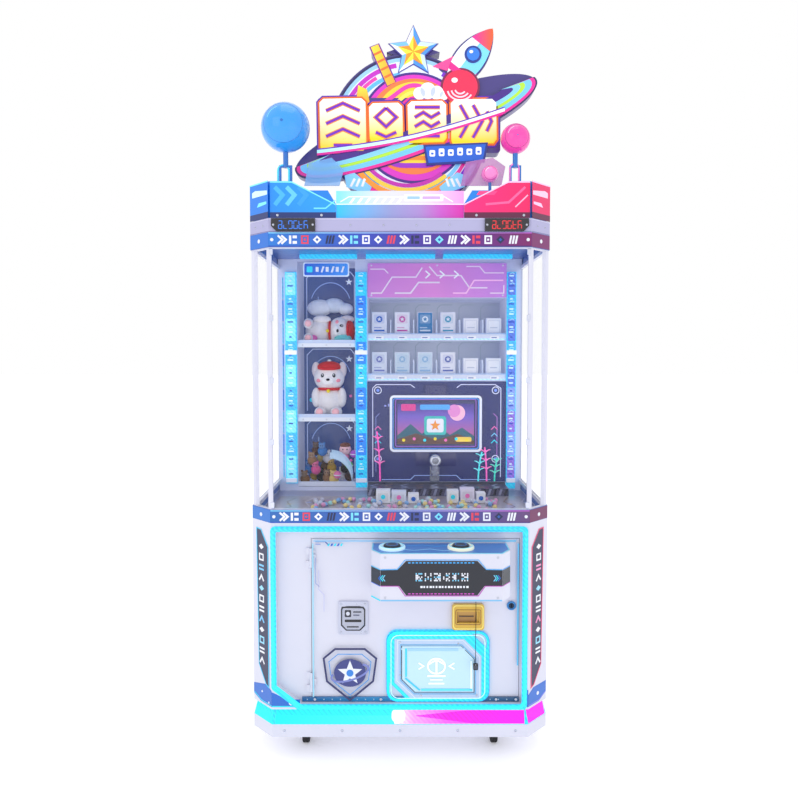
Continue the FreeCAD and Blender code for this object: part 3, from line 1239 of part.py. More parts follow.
def launcher_base():
    """A stand over the pusher, which is carried by the game panel, with a socket for the turret's pin."""
    arm = block(LAUNCHER_X - 14, LAUNCHER_X + 14, LAUNCHER_Y - 14, PANEL_Y, LAUNCHER_SEAT - 26, LAUNCHER_SEAT - 12)
    foot = block(LAUNCHER_X - 18, LAUNCHER_X + 18, PANEL_Y - 5, PANEL_Y, DECK_TOP + PANEL_FOOT + 4,
                 SCREEN_FOOT - SCREEN_BEZEL - TAB_SIZE[1])
    skirt = rod_z(LAUNCHER_X, LAUNCHER_Y, LAUNCHER_SEAT - 34, LAUNCHER_SEAT, 14.0)
    socket = rod_z(LAUNCHER_X, LAUNCHER_Y, LAUNCHER_SEAT - 20, LAUNCHER_SEAT + 1, LAUNCHER_PIN_RADIUS + RUNNING_FIT)
    return joined([arm, foot, skirt]).cut(socket)


def launcher_turret():
    body = rod_y(LAUNCHER_X, LAUNCHER_Y - LAUNCHER_LENGTH / 2, LAUNCHER_Y + LAUNCHER_LENGTH / 2 - 8, LAUNCHER_Z,
                 LAUNCHER_RADIUS)
    neck = rod_z(LAUNCHER_X, LAUNCHER_Y, LAUNCHER_SEAT + SLIDE_GAP, LAUNCHER_Z, 12.0)
    pin = rod_z(LAUNCHER_X, LAUNCHER_Y, LAUNCHER_SEAT - 19, LAUNCHER_Z - 5, LAUNCHER_PIN_RADIUS)
    bore = rod_y(LAUNCHER_X, LAUNCHER_Y - LAUNCHER_LENGTH / 2 - 1, LAUNCHER_Y, LAUNCHER_Z, LAUNCHER_BORE)
    return joined([body, neck, pin]).cut(bore)


# ---------------------------------------------------------------- pusher and drive
def pusher():
    foot = DECK_TOP + SLIDE_GAP
    slab = block(PUSHER_LEFT, PUSHER_RIGHT, PUSHER_FRONT_Y, PUSHER_BACK_Y, foot, DECK_TOP + PUSHER_HEIGHT)
    hollow = block(PUSHER_LEFT + SHEET, PUSHER_RIGHT - SHEET, PUSHER_FRONT_Y + SHEET, PUSHER_BACK_Y - SHEET,
                   foot - 1, DECK_TOP + PUSHER_HEIGHT - SHEET)
    return slab.cut(hollow)


DRIVE_X = (PUSHER_LEFT + PUSHER_RIGHT) / 2
CRANK_TOP = CRANK_FOOT + CRANK_THICKNESS
PIN_THROW = PUSHER_STROKE / 2


def gear_motor():
    """A geared motor that hangs under the deck, with its shaft up through the deck."""
    width, depth, height = MOTOR_SIZE
    deck_foot = DECK_TOP - DECK_THICKNESS
    body = block(DRIVE_X - width / 2, DRIVE_X + width / 2, CRANK_Y - depth / 2, CRANK_Y + depth / 2,
                 deck_foot - height, deck_foot)
    can = rod_z(DRIVE_X, CRANK_Y, deck_foot - height - 60, deck_foot - height, 30.0)
    bore = rod_z(DRIVE_X, CRANK_Y, deck_foot - SHAFT_SEAT, deck_foot + 1, SHAFT_RADIUS + RUNNING_FIT)
    return joined([body, can]).cut(bore)


def crank_disc():
    """The crank disc and its shaft, which turns in the motor's gearbox through the deck."""
    disc = rod_z(DRIVE_X, CRANK_Y, CRANK_FOOT, CRANK_TOP, CRANK_RADIUS)
    shaft = rod_z(DRIVE_X, CRANK_Y, DECK_TOP - DECK_THICKNESS - SHAFT_SEAT + SLIDE_GAP, CRANK_FOOT, SHAFT_RADIUS)
    return joined([disc, shaft])


def push_rod():
    """The rod from the pusher's back wall to the crank pin, which stands just clear of the disc's face."""
    foot = CRANK_TOP + SLIDE_GAP
    pin_y = CRANK_Y + PIN_THROW
    rod = block(DRIVE_X - ROD_WIDTH / 2, DRIVE_X + ROD_WIDTH / 2, PUSHER_BACK_Y, pin_y, foot, foot + ROD_THICKNESS)
    eye = rod_z(DRIVE_X, pin_y, foot, foot + ROD_THICKNESS, ROD_WIDTH / 2)
    pin_head = rod_z(DRIVE_X, pin_y, foot + ROD_THICKNESS, foot + ROD_THICKNESS + 4, 6.0)
    return joined([rod, eye, pin_head])


# ---------------------------------------------------------------- rear door and electrics
def rear_door():
    x0, x1 = REAR_LEFT + DOOR_GAP, REAR_RIGHT - DOOR_GAP
    panel = block(x0, x1, BACK_Y - SHEET, BACK_Y, REAR_FOOT + DOOR_GAP, REAR_TOP - DOOR_GAP)
    for slot in vent_slots(x0 + 120, x1 - 120, BACK_Y - SHEET - 1, BACK_Y + 1, REAR_FOOT + 60, 10, 18.0, 6.0):
        panel = panel.cut(slot)
    knuckles = []
    for z in REAR_HINGE_HEIGHTS:
        knuckles += hinge_knuckles(REAR_LEFT, REAR_HINGE_Y, z, HINGE_TAB, BACK_Y - SHEET, True)
    return joined([panel] + knuckles)


def electrics():
    """The power supply on the floor, the control board on the side wall and the mains inlet in the back wall."""
    width, depth, height = SUPPLY_SIZE
    floor = LOWER_FOOT + SHEET
    supply = block(REAR_RIGHT - width, REAR_RIGHT, BACK_Y - 200 - depth, BACK_Y - 200, floor, floor + height)
    board_t, board_d, board_h = BOARD_SIZE
    wall = HALF - SHEET
    board = block(wall - board_t, wall, FRONT_Y + 300, FRONT_Y + 300 + board_d, floor + 200, floor + 200 + board_h)
    inlet_w, inlet_d, inlet_h = INLET_SIZE
    inlet = block(INLET_X - inlet_w / 2, INLET_X + inlet_w / 2, BACK_Y - inlet_d, BACK_Y + 4,
                  INLET_Z - inlet_h / 2, INLET_Z + inlet_h / 2)
    socket = block(INLET_X - 13, INLET_X + 13, BACK_Y - inlet_d + 8, BACK_Y + 5, INLET_Z - 9, INLET_Z + 9)
    return group([supply, board, inlet.cut(socket)])


# ---------------------------------------------------------------- build
def nodes():
    made = {
        "plinth": plinth(),
        "base_light_band": base_light_band(),
        "caster_plates": group([caster_plate(x, y) for x, y in CASTER_PLACES.values()]),
        "lower_cabinet": lower_cabinet(),
        "led_ring": led_ring(),
        "recess_panel": recess_panel(),
        "service_door": service_door(),
        "hinge_pins": hinge_pins(),
        "control_box": control_box(),
        "button_bezels": button_bezels(),
        "button_left": button_cap(BUTTON_XS[0]),
        "button_right": button_cap(BUTTON_XS[1]),
        "coin_plate": coin_plate(),
        "coin_mech": coin_mech(),
        "ticket_bezel": ticket_bezel(),
        "ticket_dispenser": ticket_dispenser(),
        "prize_frame": prize_frame(),
        "prize_light_ring": prize_light_ring(),
        "prize_flap": prize_flap(),
        "prize_chute": prize_chute(),
        "door_lock": door_lock(),
        "lock_cam": lock_cam(),
        "hang_cord": hang_cord(),
        "cord_tag": cord_tag(),
        "deck": deck(),
        "waist_band": waist_band(),
        "upper_frame": upper_frame(),
        "front_glass": front_glass(),
        "side_glass": side_glass(),
        "head_band": head_band(),
        "header": header(),
        "header_displays": header_displays(),
        "crown_wings": crown_wings(),
        "crown_centre": crown_centre(),
        "light_bars": light_bars(),
        "bay_liner": bay_liner(),
        "shelves_left": shelves_left(),
        "shelves_right": shelves_right(),
        "game_panel": game_panel(),
        "screen": screen(),
        "launcher_base": launcher_base(),
        "launcher_turret": launcher_turret(),
        "pusher": pusher(),
        "gear_motor": gear_motor(),
        "crank_disc": crank_disc(),
        "push_rod": push_rod(),
        "sign_case": sign_case(),
        "globes": globes(),
        "rear_door": rear_door(),
        "plush_toys": plush_toys(),
        "prize_boxes": prize_boxes(),
        "electrics": electrics(),
    }
    for place, (x, y) in CASTER_PLACES.items():
        made["caster_fork_" + place] = caster_fork(x, y)
        made["caster_wheel_" + place] = caster_wheel(x, y)
    return made


os.makedirs("parts", exist_ok=True)
for node_name, node_shape in nodes().items():
    export(node_name, node_shape)
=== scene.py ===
"""The looks of a coin pusher machine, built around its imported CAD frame.

Working sizes are in millimetres, X to the right, Y to the back, Z up; meshes are written in metres.
A surface is (vertices, faces, colour); piece() joins surfaces and stores their colours as "tint".
"""
import json
import math

import bpy
import numpy as np
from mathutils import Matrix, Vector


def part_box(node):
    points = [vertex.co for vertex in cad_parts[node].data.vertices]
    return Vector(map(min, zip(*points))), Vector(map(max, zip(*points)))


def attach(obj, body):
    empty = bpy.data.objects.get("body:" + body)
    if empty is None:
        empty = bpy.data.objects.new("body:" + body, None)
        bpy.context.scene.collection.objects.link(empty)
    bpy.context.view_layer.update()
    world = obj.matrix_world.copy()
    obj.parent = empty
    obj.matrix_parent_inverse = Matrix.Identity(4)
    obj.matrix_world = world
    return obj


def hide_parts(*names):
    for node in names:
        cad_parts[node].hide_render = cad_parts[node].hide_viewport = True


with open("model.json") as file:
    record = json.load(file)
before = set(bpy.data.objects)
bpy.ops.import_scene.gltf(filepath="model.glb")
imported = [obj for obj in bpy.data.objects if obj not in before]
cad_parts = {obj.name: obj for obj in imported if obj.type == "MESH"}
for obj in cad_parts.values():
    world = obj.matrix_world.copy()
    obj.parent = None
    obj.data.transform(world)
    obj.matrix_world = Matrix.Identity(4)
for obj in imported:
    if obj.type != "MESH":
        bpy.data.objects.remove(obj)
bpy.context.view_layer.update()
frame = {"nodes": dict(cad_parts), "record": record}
NODES = frame["nodes"]
rng = np.random.default_rng(7)

MM = 0.001
HALF, FRONT_HALF = 468.0, 399.0
FRONT_Y, RECESS_Y, BACK_Y, BAY_Y = -385.0, -365.0, 475.0, 145.0
CONTROL_Y = -485.0
PLINTH_Z, BAND_Z, LOWER_Z = 77.0, 117.0, 165.0
WAIST_Z, SILL_Z, WINDOW_Z = 750.0, 791.0, 793.0
HEAD_Z, HEADER_Z, ROOF_Z = 1594.0, 1639.0, 1681.0
CROWN_Z, DECK_Z, CEILING_Z = 1794.0, 747.0, 1629.0
CHAMFER = 97.58
LEFT_X, RIGHT_X = -FRONT_HALF, FRONT_HALF


# ---------- colours ----------
def rgb(r, g, b):
    """Display values 0 to 255 to linear: c/12.92 below 0.04045, else ((c+0.055)/1.055)^2.4."""
    c = np.array([r, g, b], float) / 255.0
    return np.where(c <= 0.04045, c / 12.92, ((c + 0.055) / 1.055) ** 2.4)


WHITE, PALE, INK = rgb(238, 240, 248), rgb(212, 214, 234), rgb(12, 14, 30)
BLUE, CYAN, SKY = rgb(12, 100, 205), rgb(30, 225, 248), rgb(120, 205, 245)
NAVY, PINK, MAGENTA = rgb(34, 44, 100), rgb(240, 110, 190), rgb(225, 10, 150)
PURPLE, YELLOW, ORANGE = rgb(105, 25, 190), rgb(250, 222, 40), rgb(240, 140, 25)
RED, STEEL, BLACK = rgb(215, 20, 40), rgb(165, 170, 185), rgb(14, 14, 20)


def fade(stops, axis=0):
    """Colour as a function of place: straight-line mixing between (coordinate, colour) stops along one axis."""
    at = np.array([s[0] for s in stops], float)
    cols = np.array([s[1] for s in stops], float)
    return lambda p: np.stack([np.interp(p[:, axis], at, cols[:, k]) for k in range(3)], 1)


# ---------- planes ----------
def plane(origin, u, v):
    """A flat face: origin plus s*u plus t*v, lifted along u x v turned outward."""
    u, v = np.array(u, float), np.array(v, float)
    return np.array(origin, float), u, v, np.cross(u, v)


def front(y):
    return plane((0, y, 0), (1, 0, 0), (0, 0, 1))


D = math.sqrt(0.5)
LEFT_FACE = plane((-HALF, -316, 0), (D, -D, 0), (0, 0, 1))
RIGHT_FACE = plane((FRONT_HALF, FRONT_Y, 0), (D, D, 0), (0, 0, 1))
LEFT_SIDE = plane((-HALF, 0, 0), (0, -1, 0), (0, 0, 1))
RIGHT_SIDE = plane((HALF, 0, 0), (0, 1, 0), (0, 0, 1))
BACK = plane((0, BACK_Y, 0), (-1, 0, 0), (0, 0, 1))


def level(z):
    return plane((0, 0, z), (1, 0, 0), (0, 1, 0))


def place(pts, lift, pl):
    """Plane coordinates (s, t) and a lift to space."""
    o, u, v, n = pl
    return o + pts[:, :1] * u + pts[:, 1:2] * v + np.reshape(lift, (-1, 1)) * n


# ---------- surfaces ----------
def skin(rings, colour, wrap=True, closed=False, caps=(True, True)):
    """A grid of R rings by N points joined by quads: vertex (i, j) meets (i+1, j) and (i, j+1)."""
    r, n = rings.shape[:2]
    i = np.arange(r if closed else r - 1)
    j = np.arange(n if wrap else n - 1)
    a, b = np.meshgrid(i, j, indexing="ij")
    a2, b2 = (a + 1) % r, (b + 1) % n
    quads = np.stack([a * n + b, a * n + b2, a2 * n + b2, a2 * n + b], -1).reshape(-1, 4)
    faces = quads.tolist()
    if wrap and not closed:
        if caps[0]:
            faces.append(list(range(n - 1, -1, -1)))
        if caps[1]:
            faces.append(list(range((r - 1) * n, r * n)))
    return rings.reshape(-1, 3), faces, colour


def inset(out, d):
    """Each corner moves in along its mitre: sum of the two edge normals over 1 plus their dot product."""
    a = out - np.roll(out, 1, 0)
    b = np.roll(out, -1, 0) - out
    na = np.stack([-a[:, 1], a[:, 0]], 1) / np.maximum(np.linalg.norm(a, axis=1), 1e-9)[:, None]
    nb = np.stack([-b[:, 1], b[:, 0]], 1) / np.maximum(np.linalg.norm(b, axis=1), 1e-9)[:, None]
    m = (na + nb) / np.maximum(1 + (na * nb).sum(1), 0.3)[:, None]
    return out + m * d


def slab(out, lift0, lift1, pl, colour, bevel=0.0):
    """An outline carried from one lift to another, its front edge drawn in by the bevel."""
    out = np.array(out, float)
    area = (out[:, 0] * np.roll(out[:, 1], -1) - out[:, 1] * np.roll(out[:, 0], -1)).sum()
    if area < 0:
        out = out[::-1]
    rows = [place(out, lift0, pl)]
    if bevel:
        rows += [place(out, lift1 - bevel, pl), place(inset(out, bevel), lift1, pl)]
    else:
        rows.append(place(out, lift1, pl))
    return skin(np.stack(rows), colour)


def line(pts, width, lift0, lift1, pl, colour, closed=False):
    """A rectangular section carried along a path; at each point it is set across the mitre of its two legs."""
    p = np.array(pts, float)
    if closed:
        a, b = p - np.roll(p, 1, 0), np.roll(p, -1, 0) - p
    else:
        leg = np.diff(p, axis=0)
        a, b = np.vstack([leg[:1], leg]), np.vstack([leg, leg[-1:]])
    na = np.stack([-a[:, 1], a[:, 0]], 1) / np.linalg.norm(a, axis=1)[:, None]
    nb = np.stack([-b[:, 1], b[:, 0]], 1) / np.linalg.norm(b, axis=1)[:, None]
    m = (na + nb) / np.maximum(1 + (na * nb).sum(1), 0.4)[:, None] * width / 2
    rows = np.stack([place(p + m, lift1, pl), place(p - m, lift1, pl), place(p - m, lift0, pl), place(p + m, lift0, pl)], 1)
    return skin(rows, colour, closed=closed)


def bar(xs, low, high, lift0, lift1, pl, colour):
    """A strip along s: at each s a rectangle from low(s) to high(s), and from lift0 to lift1."""
    xs = np.array(xs, float)
    lo, hi = np.broadcast_to(low, xs.shape), np.broadcast_to(high, xs.shape)
    a, b = np.stack([xs, lo], 1), np.stack([xs, hi], 1)
    rows = np.stack([place(b, lift0, pl), place(b, lift1, pl), place(a, lift1, pl), place(a, lift0, pl)], 1)
    return skin(rows, colour)


def lathe(profile, centre, axis, colour, sides=32, ring=False):
    """A profile of (radius, height) turned about an axis: (r cos a, r sin a) across it; a ring joins its own ends."""
    axis = np.array(axis, float) / np.linalg.norm(axis)
    u = np.cross(axis, (0, 0, 1.0)) if abs(axis[2]) < 0.9 else np.array([1.0, 0, 0])
    u = u / np.linalg.norm(u)
    v = np.cross(axis, u)
    a = np.linspace(0, 2 * np.pi, sides, endpoint=False)
    prof = np.array(profile, float)
    around = np.cos(a)[:, None] * u + np.sin(a)[:, None] * v
    rows = np.array(centre) + prof[:, :1, None] * around[None] + prof[:, 1:, None] * axis
    return skin(rows, colour, closed=ring)


def tube(path, radius, colour, up=(0, 1, 0), sides=10, closed=False):
    """A circle carried along a path: radius may change from point to point, the section stays square to the path."""
    p = np.array(path, float)
    t = np.roll(p, -1, 0) - np.roll(p, 1, 0) if closed else np.gradient(p, axis=0)
    t /= np.linalg.norm(t, axis=1)[:, None]
    u = np.cross(t, np.array(up, float))
    u /= np.maximum(np.linalg.norm(u, axis=1), 1e-9)[:, None]
    v = np.cross(t, u)
    a = np.linspace(0, 2 * np.pi, sides, endpoint=False)
    r = np.broadcast_to(radius, len(p))[:, None, None]
    rows = p[:, None] + r * (np.cos(a)[None, :, None] * u[:, None] + np.sin(a)[None, :, None] * v[:, None])
    return skin(rows, colour, closed=closed)


def ball(centre, radii, colour, rows=14, sides=24, turn=0.0, power=1.0):
    """An ellipsoid: height sin(b) and girth cos(b)^power, b from -89 to 89 degrees, turned about Y."""
    b = np.radians(np.linspace(-89, 89, rows))
    a = np.linspace(0, 2 * np.pi, sides, endpoint=False)
    x = np.cos(b)[:, None] ** power * np.cos(a) * radii[0]
    y = np.cos(b)[:, None] ** power * np.sin(a) * radii[1]
    z = np.broadcast_to(np.sin(b)[:, None] * radii[2], x.shape)
    c, s = math.cos(turn), math.sin(turn)
    return skin(np.stack([c * x + s * z, y, c * z - s * x], -1) + np.array(centre), colour)


# ---------- outlines ----------
def rounded(x0, x1, z0, z1, r, k=5):
    """A rectangle with corners of radius r."""
    a = np.radians(np.linspace(0, 90, k))
    cor = [(x1 - r, z1 - r, 0), (x0 + r, z1 - r, 1), (x0 + r, z0 + r, 2), (x1 - r, z0 + r, 3)]
    return np.vstack([np.stack([cx + r * np.cos(a + q * np.pi / 2), cz + r * np.sin(a + q * np.pi / 2)], 1) for cx, cz, q in cor])


def oval(cx, cz, rx, rz=None, n=40, turn=0.0):
    """x = rx cos a, z = rz sin a, turned by an angle."""
    a = np.linspace(0, 2 * np.pi, n, endpoint=False)
    x, z = rx * np.cos(a), (rz or rx) * np.sin(a)
    return np.stack([cx + x * math.cos(turn) - z * math.sin(turn), cz + x * math.sin(turn) + z * math.cos(turn)], 1)


def arc(cx, cz, rx, rz, a0, a1, n=40, turn=0.0):
    """The part of an oval from angle a0 to a1, in degrees."""
    a = np.radians(np.linspace(a0, a1, n))
    x, z = rx * np.cos(a), rz * np.sin(a)
    return np.stack([cx + x * math.cos(turn) - z * math.sin(turn), cz + x * math.sin(turn) + z * math.cos(turn)], 1)


def star(cx, cz, r, r2, n=5, turn=90.0):
    """2n corners whose distance from the middle alternates between r and r2."""
    a = np.radians(turn) + np.arange(2 * n) * np.pi / n
    d = np.where(np.arange(2 * n) % 2 == 0, r, r2)
    return np.stack([cx + d * np.cos(a), cz + d * np.sin(a)], 1)


def box2(x0, x1, z0, z1):
    return np.array([(x0, z0), (x1, z0), (x1, z1), (x0, z1)], float)


# ---------- pieces ----------
def piece(name, surfaces, material, body="cabinet", smooth=40.0):
    """Joins surfaces in one mesh in metres, stores each one's colour as the tint attribute and rides it on a body."""
    verts, faces, tints, base = [], [], [], 0
    for v, f, c in surfaces:
        verts.append(v)
        col = c(v) if callable(c) else np.broadcast_to(np.array(c, float), (len(v), 3))
        tints.append(col)
        faces += [[k + base for k in face] for face in f]
        base += len(v)
    co, tint = np.vstack(verts) * MM, np.vstack(tints)
    mesh = bpy.data.meshes.new(name)
    mesh.from_pydata(co.tolist(), [], faces)
    attr = mesh.attributes.new("tint", "FLOAT_COLOR", "POINT")
    attr.data.foreach_set("color", np.hstack([tint, np.ones((len(tint), 1))]).astype(np.float32).ravel())
    mesh.materials.append(material)
    obj = bpy.data.objects.new(name, mesh)
    bpy.context.scene.collection.objects.link(obj)
    if smooth:
        mesh.shade_smooth()
        mesh.set_sharp_from_angle(angle=math.radians(smooth))
    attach(obj, body)
    return obj


# ---------- node groups and materials ----------
def group(name, ins, outs):
    """A node group with the given (name, type, default) inputs and (name, type) outputs."""
    g = bpy.data.node_groups.new(name, "ShaderNodeTree")
    for n, t, d in ins:
        g.interface.new_socket(name=n, in_out="INPUT", socket_type=t).default_value = d
    for n, t in outs:
        g.interface.new_socket(name=n, in_out="OUTPUT", socket_type=t)
    return g, g.nodes.new("NodeGroupInput"), g.nodes.new("NodeGroupOutput")


def node(tree, kind, values=None, **props):
    n = tree.nodes.new(kind)
    for k, v in props.items():
        setattr(n, k, v)
    for k, v in (values or {}).items():
        n.inputs[k].default_value = v
    return n


def maths(tree, op, a, b, clamp=False):
    n = node(tree, "ShaderNodeMath", operation=op, use_clamp=clamp)
    for k, v in ((0, a), (1, b)):
        if isinstance(v, (int, float)):
            n.inputs[k].default_value = v
        else:
            tree.links.new(v, n.inputs[k])
    return n.outputs[0]


def make_wear():
    """Handling marks: slow mottling of the colour, dust on upward faces, smudges in the gloss and a fine grain. Where
    finish turns the roughness into opacity, the smudges also lay a faint painted whitish haze on clear sheets that
    stands for reflections.
    """
    g, i, o = group("surface_wear", [("Color", "NodeSocketColor", (0.8, 0.8, 0.8, 1)), ("Roughness", "NodeSocketFloat", 0.4),
                    ("Mottle", "NodeSocketFloat", 0.05), ("Dust", "NodeSocketFloat", 0.1), ("Scale", "NodeSocketFloat", 1.0)],
                    [("Color", "NodeSocketColor"), ("Roughness", "NodeSocketFloat"), ("Height", "NodeSocketFloat"), ("Dust", "NodeSocketFloat")])
    co = node(g, "ShaderNodeTexCoord").outputs["Object"]
    L = g.links.new
    slow = node(g, "ShaderNodeTexNoise", {"Detail": 5.0, "Roughness": 0.6})
    L(co, slow.inputs["Vector"]); L(maths(g, "MULTIPLY", i.outputs["Scale"], 7.0), slow.inputs["Scale"])
    smudge_and_haze = node(g, "ShaderNodeTexNoise", {"Detail": 3.0, "Distortion": 1.5})
    L(co, smudge_and_haze.inputs["Vector"]); L(maths(g, "MULTIPLY", i.outputs["Scale"], 24.0), smudge_and_haze.inputs["Scale"])
    fine = node(g, "ShaderNodeTexNoise", {"Scale": 1400.0, "Detail": 2.0})
    L(co, fine.inputs["Vector"])
    off = maths(g, "MULTIPLY", maths(g, "SUBTRACT", slow.outputs["Fac"], 0.5), i.outputs["Mottle"])
    gain = maths(g, "ADD", maths(g, "MULTIPLY", off, 2.0), 1.0)
    scale = node(g, "ShaderNodeVectorMath", operation="SCALE")
    L(i.outputs["Color"], scale.inputs[0]); L(gain, scale.inputs["Scale"])
    geo = node(g, "ShaderNodeNewGeometry")
    sep = node(g, "ShaderNodeSeparateXYZ")
    L(geo.outputs["Normal"], sep.inputs[0])
    up = maths(g, "SUBTRACT", sep.outputs["Z"], 0.55, True)
    dust = maths(g, "MULTIPLY", maths(g, "MULTIPLY", up, smudge_and_haze.outputs["Fac"]), i.outputs["Dust"], True)
    mix = node(g, "ShaderNodeMix", data_type="RGBA")
    L(dust, mix.inputs["Factor"]); L(scale.outputs[0], mix.inputs["A"])
    mix.inputs["B"].default_value = (0.55, 0.54, 0.52, 1)
    L(mix.outputs["Result"], o.inputs["Color"])
    rough = maths(g, "ADD", i.outputs["Roughness"], maths(g, "MULTIPLY", maths(g, "SUBTRACT", smudge_and_haze.outputs["Fac"], 0.45), 0.22), True)
    L(rough, o.inputs["Roughness"]); L(fine.outputs["Fac"], o.inputs["Height"]); L(dust, o.inputs["Dust"])
    return g


def make_cells():
    """Small lamps behind a diffuser: a rounded cell every pitch along X and Z brightens the colour."""
    g, i, o = group("lamp_cells", [("Color", "NodeSocketColor", (1, 1, 1, 1)), ("Pitch", "NodeSocketFloat", 90.0), ("Depth", "NodeSocketFloat", 0.25)],
                    [("Color", "NodeSocketColor"), ("Height", "NodeSocketFloat")])
    co = node(g, "ShaderNodeTexCoord").outputs["Object"]
    L = g.links.new
    sep = node(g, "ShaderNodeSeparateXYZ"); L(co, sep.inputs[0])
    run = maths(g, "MULTIPLY", maths(g, "ADD", sep.outputs["X"], sep.outputs["Z"]), i.outputs["Pitch"])
    wave = maths(g, "SINE", run, 0.0)
    noise = node(g, "ShaderNodeTexNoise", {"Scale": 60.0, "Detail": 3.0}); L(co, noise.inputs["Vector"])
    both = maths(g, "ADD", maths(g, "MULTIPLY", wave, 0.5), noise.outputs["Fac"])
    gain = maths(g, "ADD", maths(g, "MULTIPLY", maths(g, "SUBTRACT", both, 0.5), i.outputs["Depth"]), 1.0)
    scale = node(g, "ShaderNodeVectorMath", operation="SCALE")
    L(i.outputs["Color"], scale.inputs[0]); L(gain, scale.inputs["Scale"])
    L(scale.outputs[0], o.inputs["Color"]); L(wave, o.inputs["Height"])
    return g


def make_fleece():
    """Short pile: a fine cell pattern for the tufts over slow folds, as a height and a shading of the colour."""
    g, i, o = group("fleece", [("Color", "NodeSocketColor", (1, 1, 1, 1)), ("Scale", "NodeSocketFloat", 500.0)],
                    [("Color", "NodeSocketColor"), ("Height", "NodeSocketFloat")])
    co = node(g, "ShaderNodeTexCoord").outputs["Object"]
    L = g.links.new
    tuft = node(g, "ShaderNodeTexVoronoi"); L(co, tuft.inputs["Vector"]); L(i.outputs["Scale"], tuft.inputs["Scale"])
    fold = node(g, "ShaderNodeTexNoise", {"Scale": 45.0, "Detail": 4.0}); L(co, fold.inputs["Vector"])
    height = maths(g, "ADD", tuft.outputs["Distance"], fold.outputs["Fac"])
    scale = node(g, "ShaderNodeVectorMath", operation="SCALE")
    L(i.outputs["Color"], scale.inputs[0]); L(maths(g, "ADD", maths(g, "MULTIPLY", height, 0.25), 0.78), scale.inputs["Scale"])
    L(scale.outputs[0], o.inputs["Color"]); L(height, o.inputs["Height"])
    return g


WEAR, CELLS, FLEECE = make_wear(), make_cells(), make_fleece()


def finish(name, colour=None, rough=0.4, metal=0.0, mottle=0.05, dust=0.25, bump=0.08, coat=0.0, glow=0.0, alpha=None, fleece=0.0, cells=0.0, scale=1.0, through=0.0):
    """A Principled material fed by the shared groups; with no colour it reads the pieces' tint attribute."""
    mat = bpy.data.materials.new(name)
    mat.use_nodes = True
    t = mat.node_tree
    t.nodes.clear()
    L = t.links.new
    out, b = node(t, "ShaderNodeOutputMaterial"), node(t, "ShaderNodeBsdfPrincipled")
    L(b.outputs[0], out.inputs["Surface"])
    if colour is None:
        src = node(t, "ShaderNodeAttribute", attribute_name="tint").outputs["Color"]
    else:
        src = node(t, "ShaderNodeRGB")
        src.outputs[0].default_value = (*colour, 1.0)
        src = src.outputs[0]
    wear = node(t, "ShaderNodeGroup", node_tree=WEAR)
    wear.inputs["Roughness"].default_value, wear.inputs["Mottle"].default_value = rough, mottle
    wear.inputs["Dust"].default_value, wear.inputs["Scale"].default_value = dust, scale
    height = wear.outputs["Height"]
    if fleece:
        f = node(t, "ShaderNodeGroup", node_tree=FLEECE)
        f.inputs["Scale"].default_value = fleece
        L(src, f.inputs["Color"]); src, height = f.outputs["Color"], f.outputs["Height"]
    if cells:
        c = node(t, "ShaderNodeGroup", node_tree=CELLS)
        c.inputs["Pitch"].default_value = cells
        L(src, c.inputs["Color"]); src, height = c.outputs["Color"], c.outputs["Height"]
    L(src, wear.inputs["Color"])
    L(wear.outputs["Color"], b.inputs["Base Color"]); L(wear.outputs["Roughness"], b.inputs["Roughness"])
    b.inputs["Metallic"].default_value = metal
    b.inputs["Coat Weight"].default_value = coat
    if glow:
        L(wear.outputs["Color"], b.inputs["Emission Color"])
        b.inputs["Emission Strength"].default_value = glow
    if alpha is not None:
        # Opacity rises with the roughness and its smudge noise: real smudges, and a faint painted whitish haze that
        # stands for reflections on the clear sheets.
        L(maths(t, "ADD", maths(t, "MULTIPLY", wear.outputs["Roughness"], 0.06), alpha, True), b.inputs["Alpha"])
    if through:
        b.inputs["Transmission Weight"].default_value = through
    if bump:
        bp = node(t, "ShaderNodeBump", {"Strength": bump, "Distance": 0.0012 if fleece else 0.0003})
        L(height, bp.inputs["Height"]); L(bp.outputs[0], b.inputs["Normal"])
    return mat


PRINTED = finish("printed_film", rough=0.32, coat=0.35, mottle=0.03)
PAINTED = finish("painted_trim", rough=0.38, coat=0.1, mottle=0.05)
LIT = finish("lit_diffuser", rough=0.4, glow=0.35, cells=400.0, bump=0.05, dust=0.05)
LIT_ART = finish("back_lit_print", rough=0.35, glow=0.22, coat=0.4, mottle=0.06, dust=0.05)
SIGN_ART = finish("sign_print", rough=0.3, glow=0.2, coat=0.5, mottle=0.05, dust=0.1)
SHINY = finish("plated_metal", rough=0.2, metal=0.9, mottle=0.12, dust=0.1)
CLEAR = finish("clear_acrylic", rough=0.06, coat=0.6, alpha=0.16, mottle=0.02, bump=0.0)
TINTED = finish("tinted_acrylic", rough=0.1, coat=0.6, alpha=0.55, mottle=0.03, bump=0.0, glow=0.15)
PLUSH = finish("plush_fleece", rough=0.95, fleece=420.0, bump=0.6, mottle=0.12, dust=0.0)
CARD = finish("card_box", rough=0.6, mottle=0.1, bump=0.15)

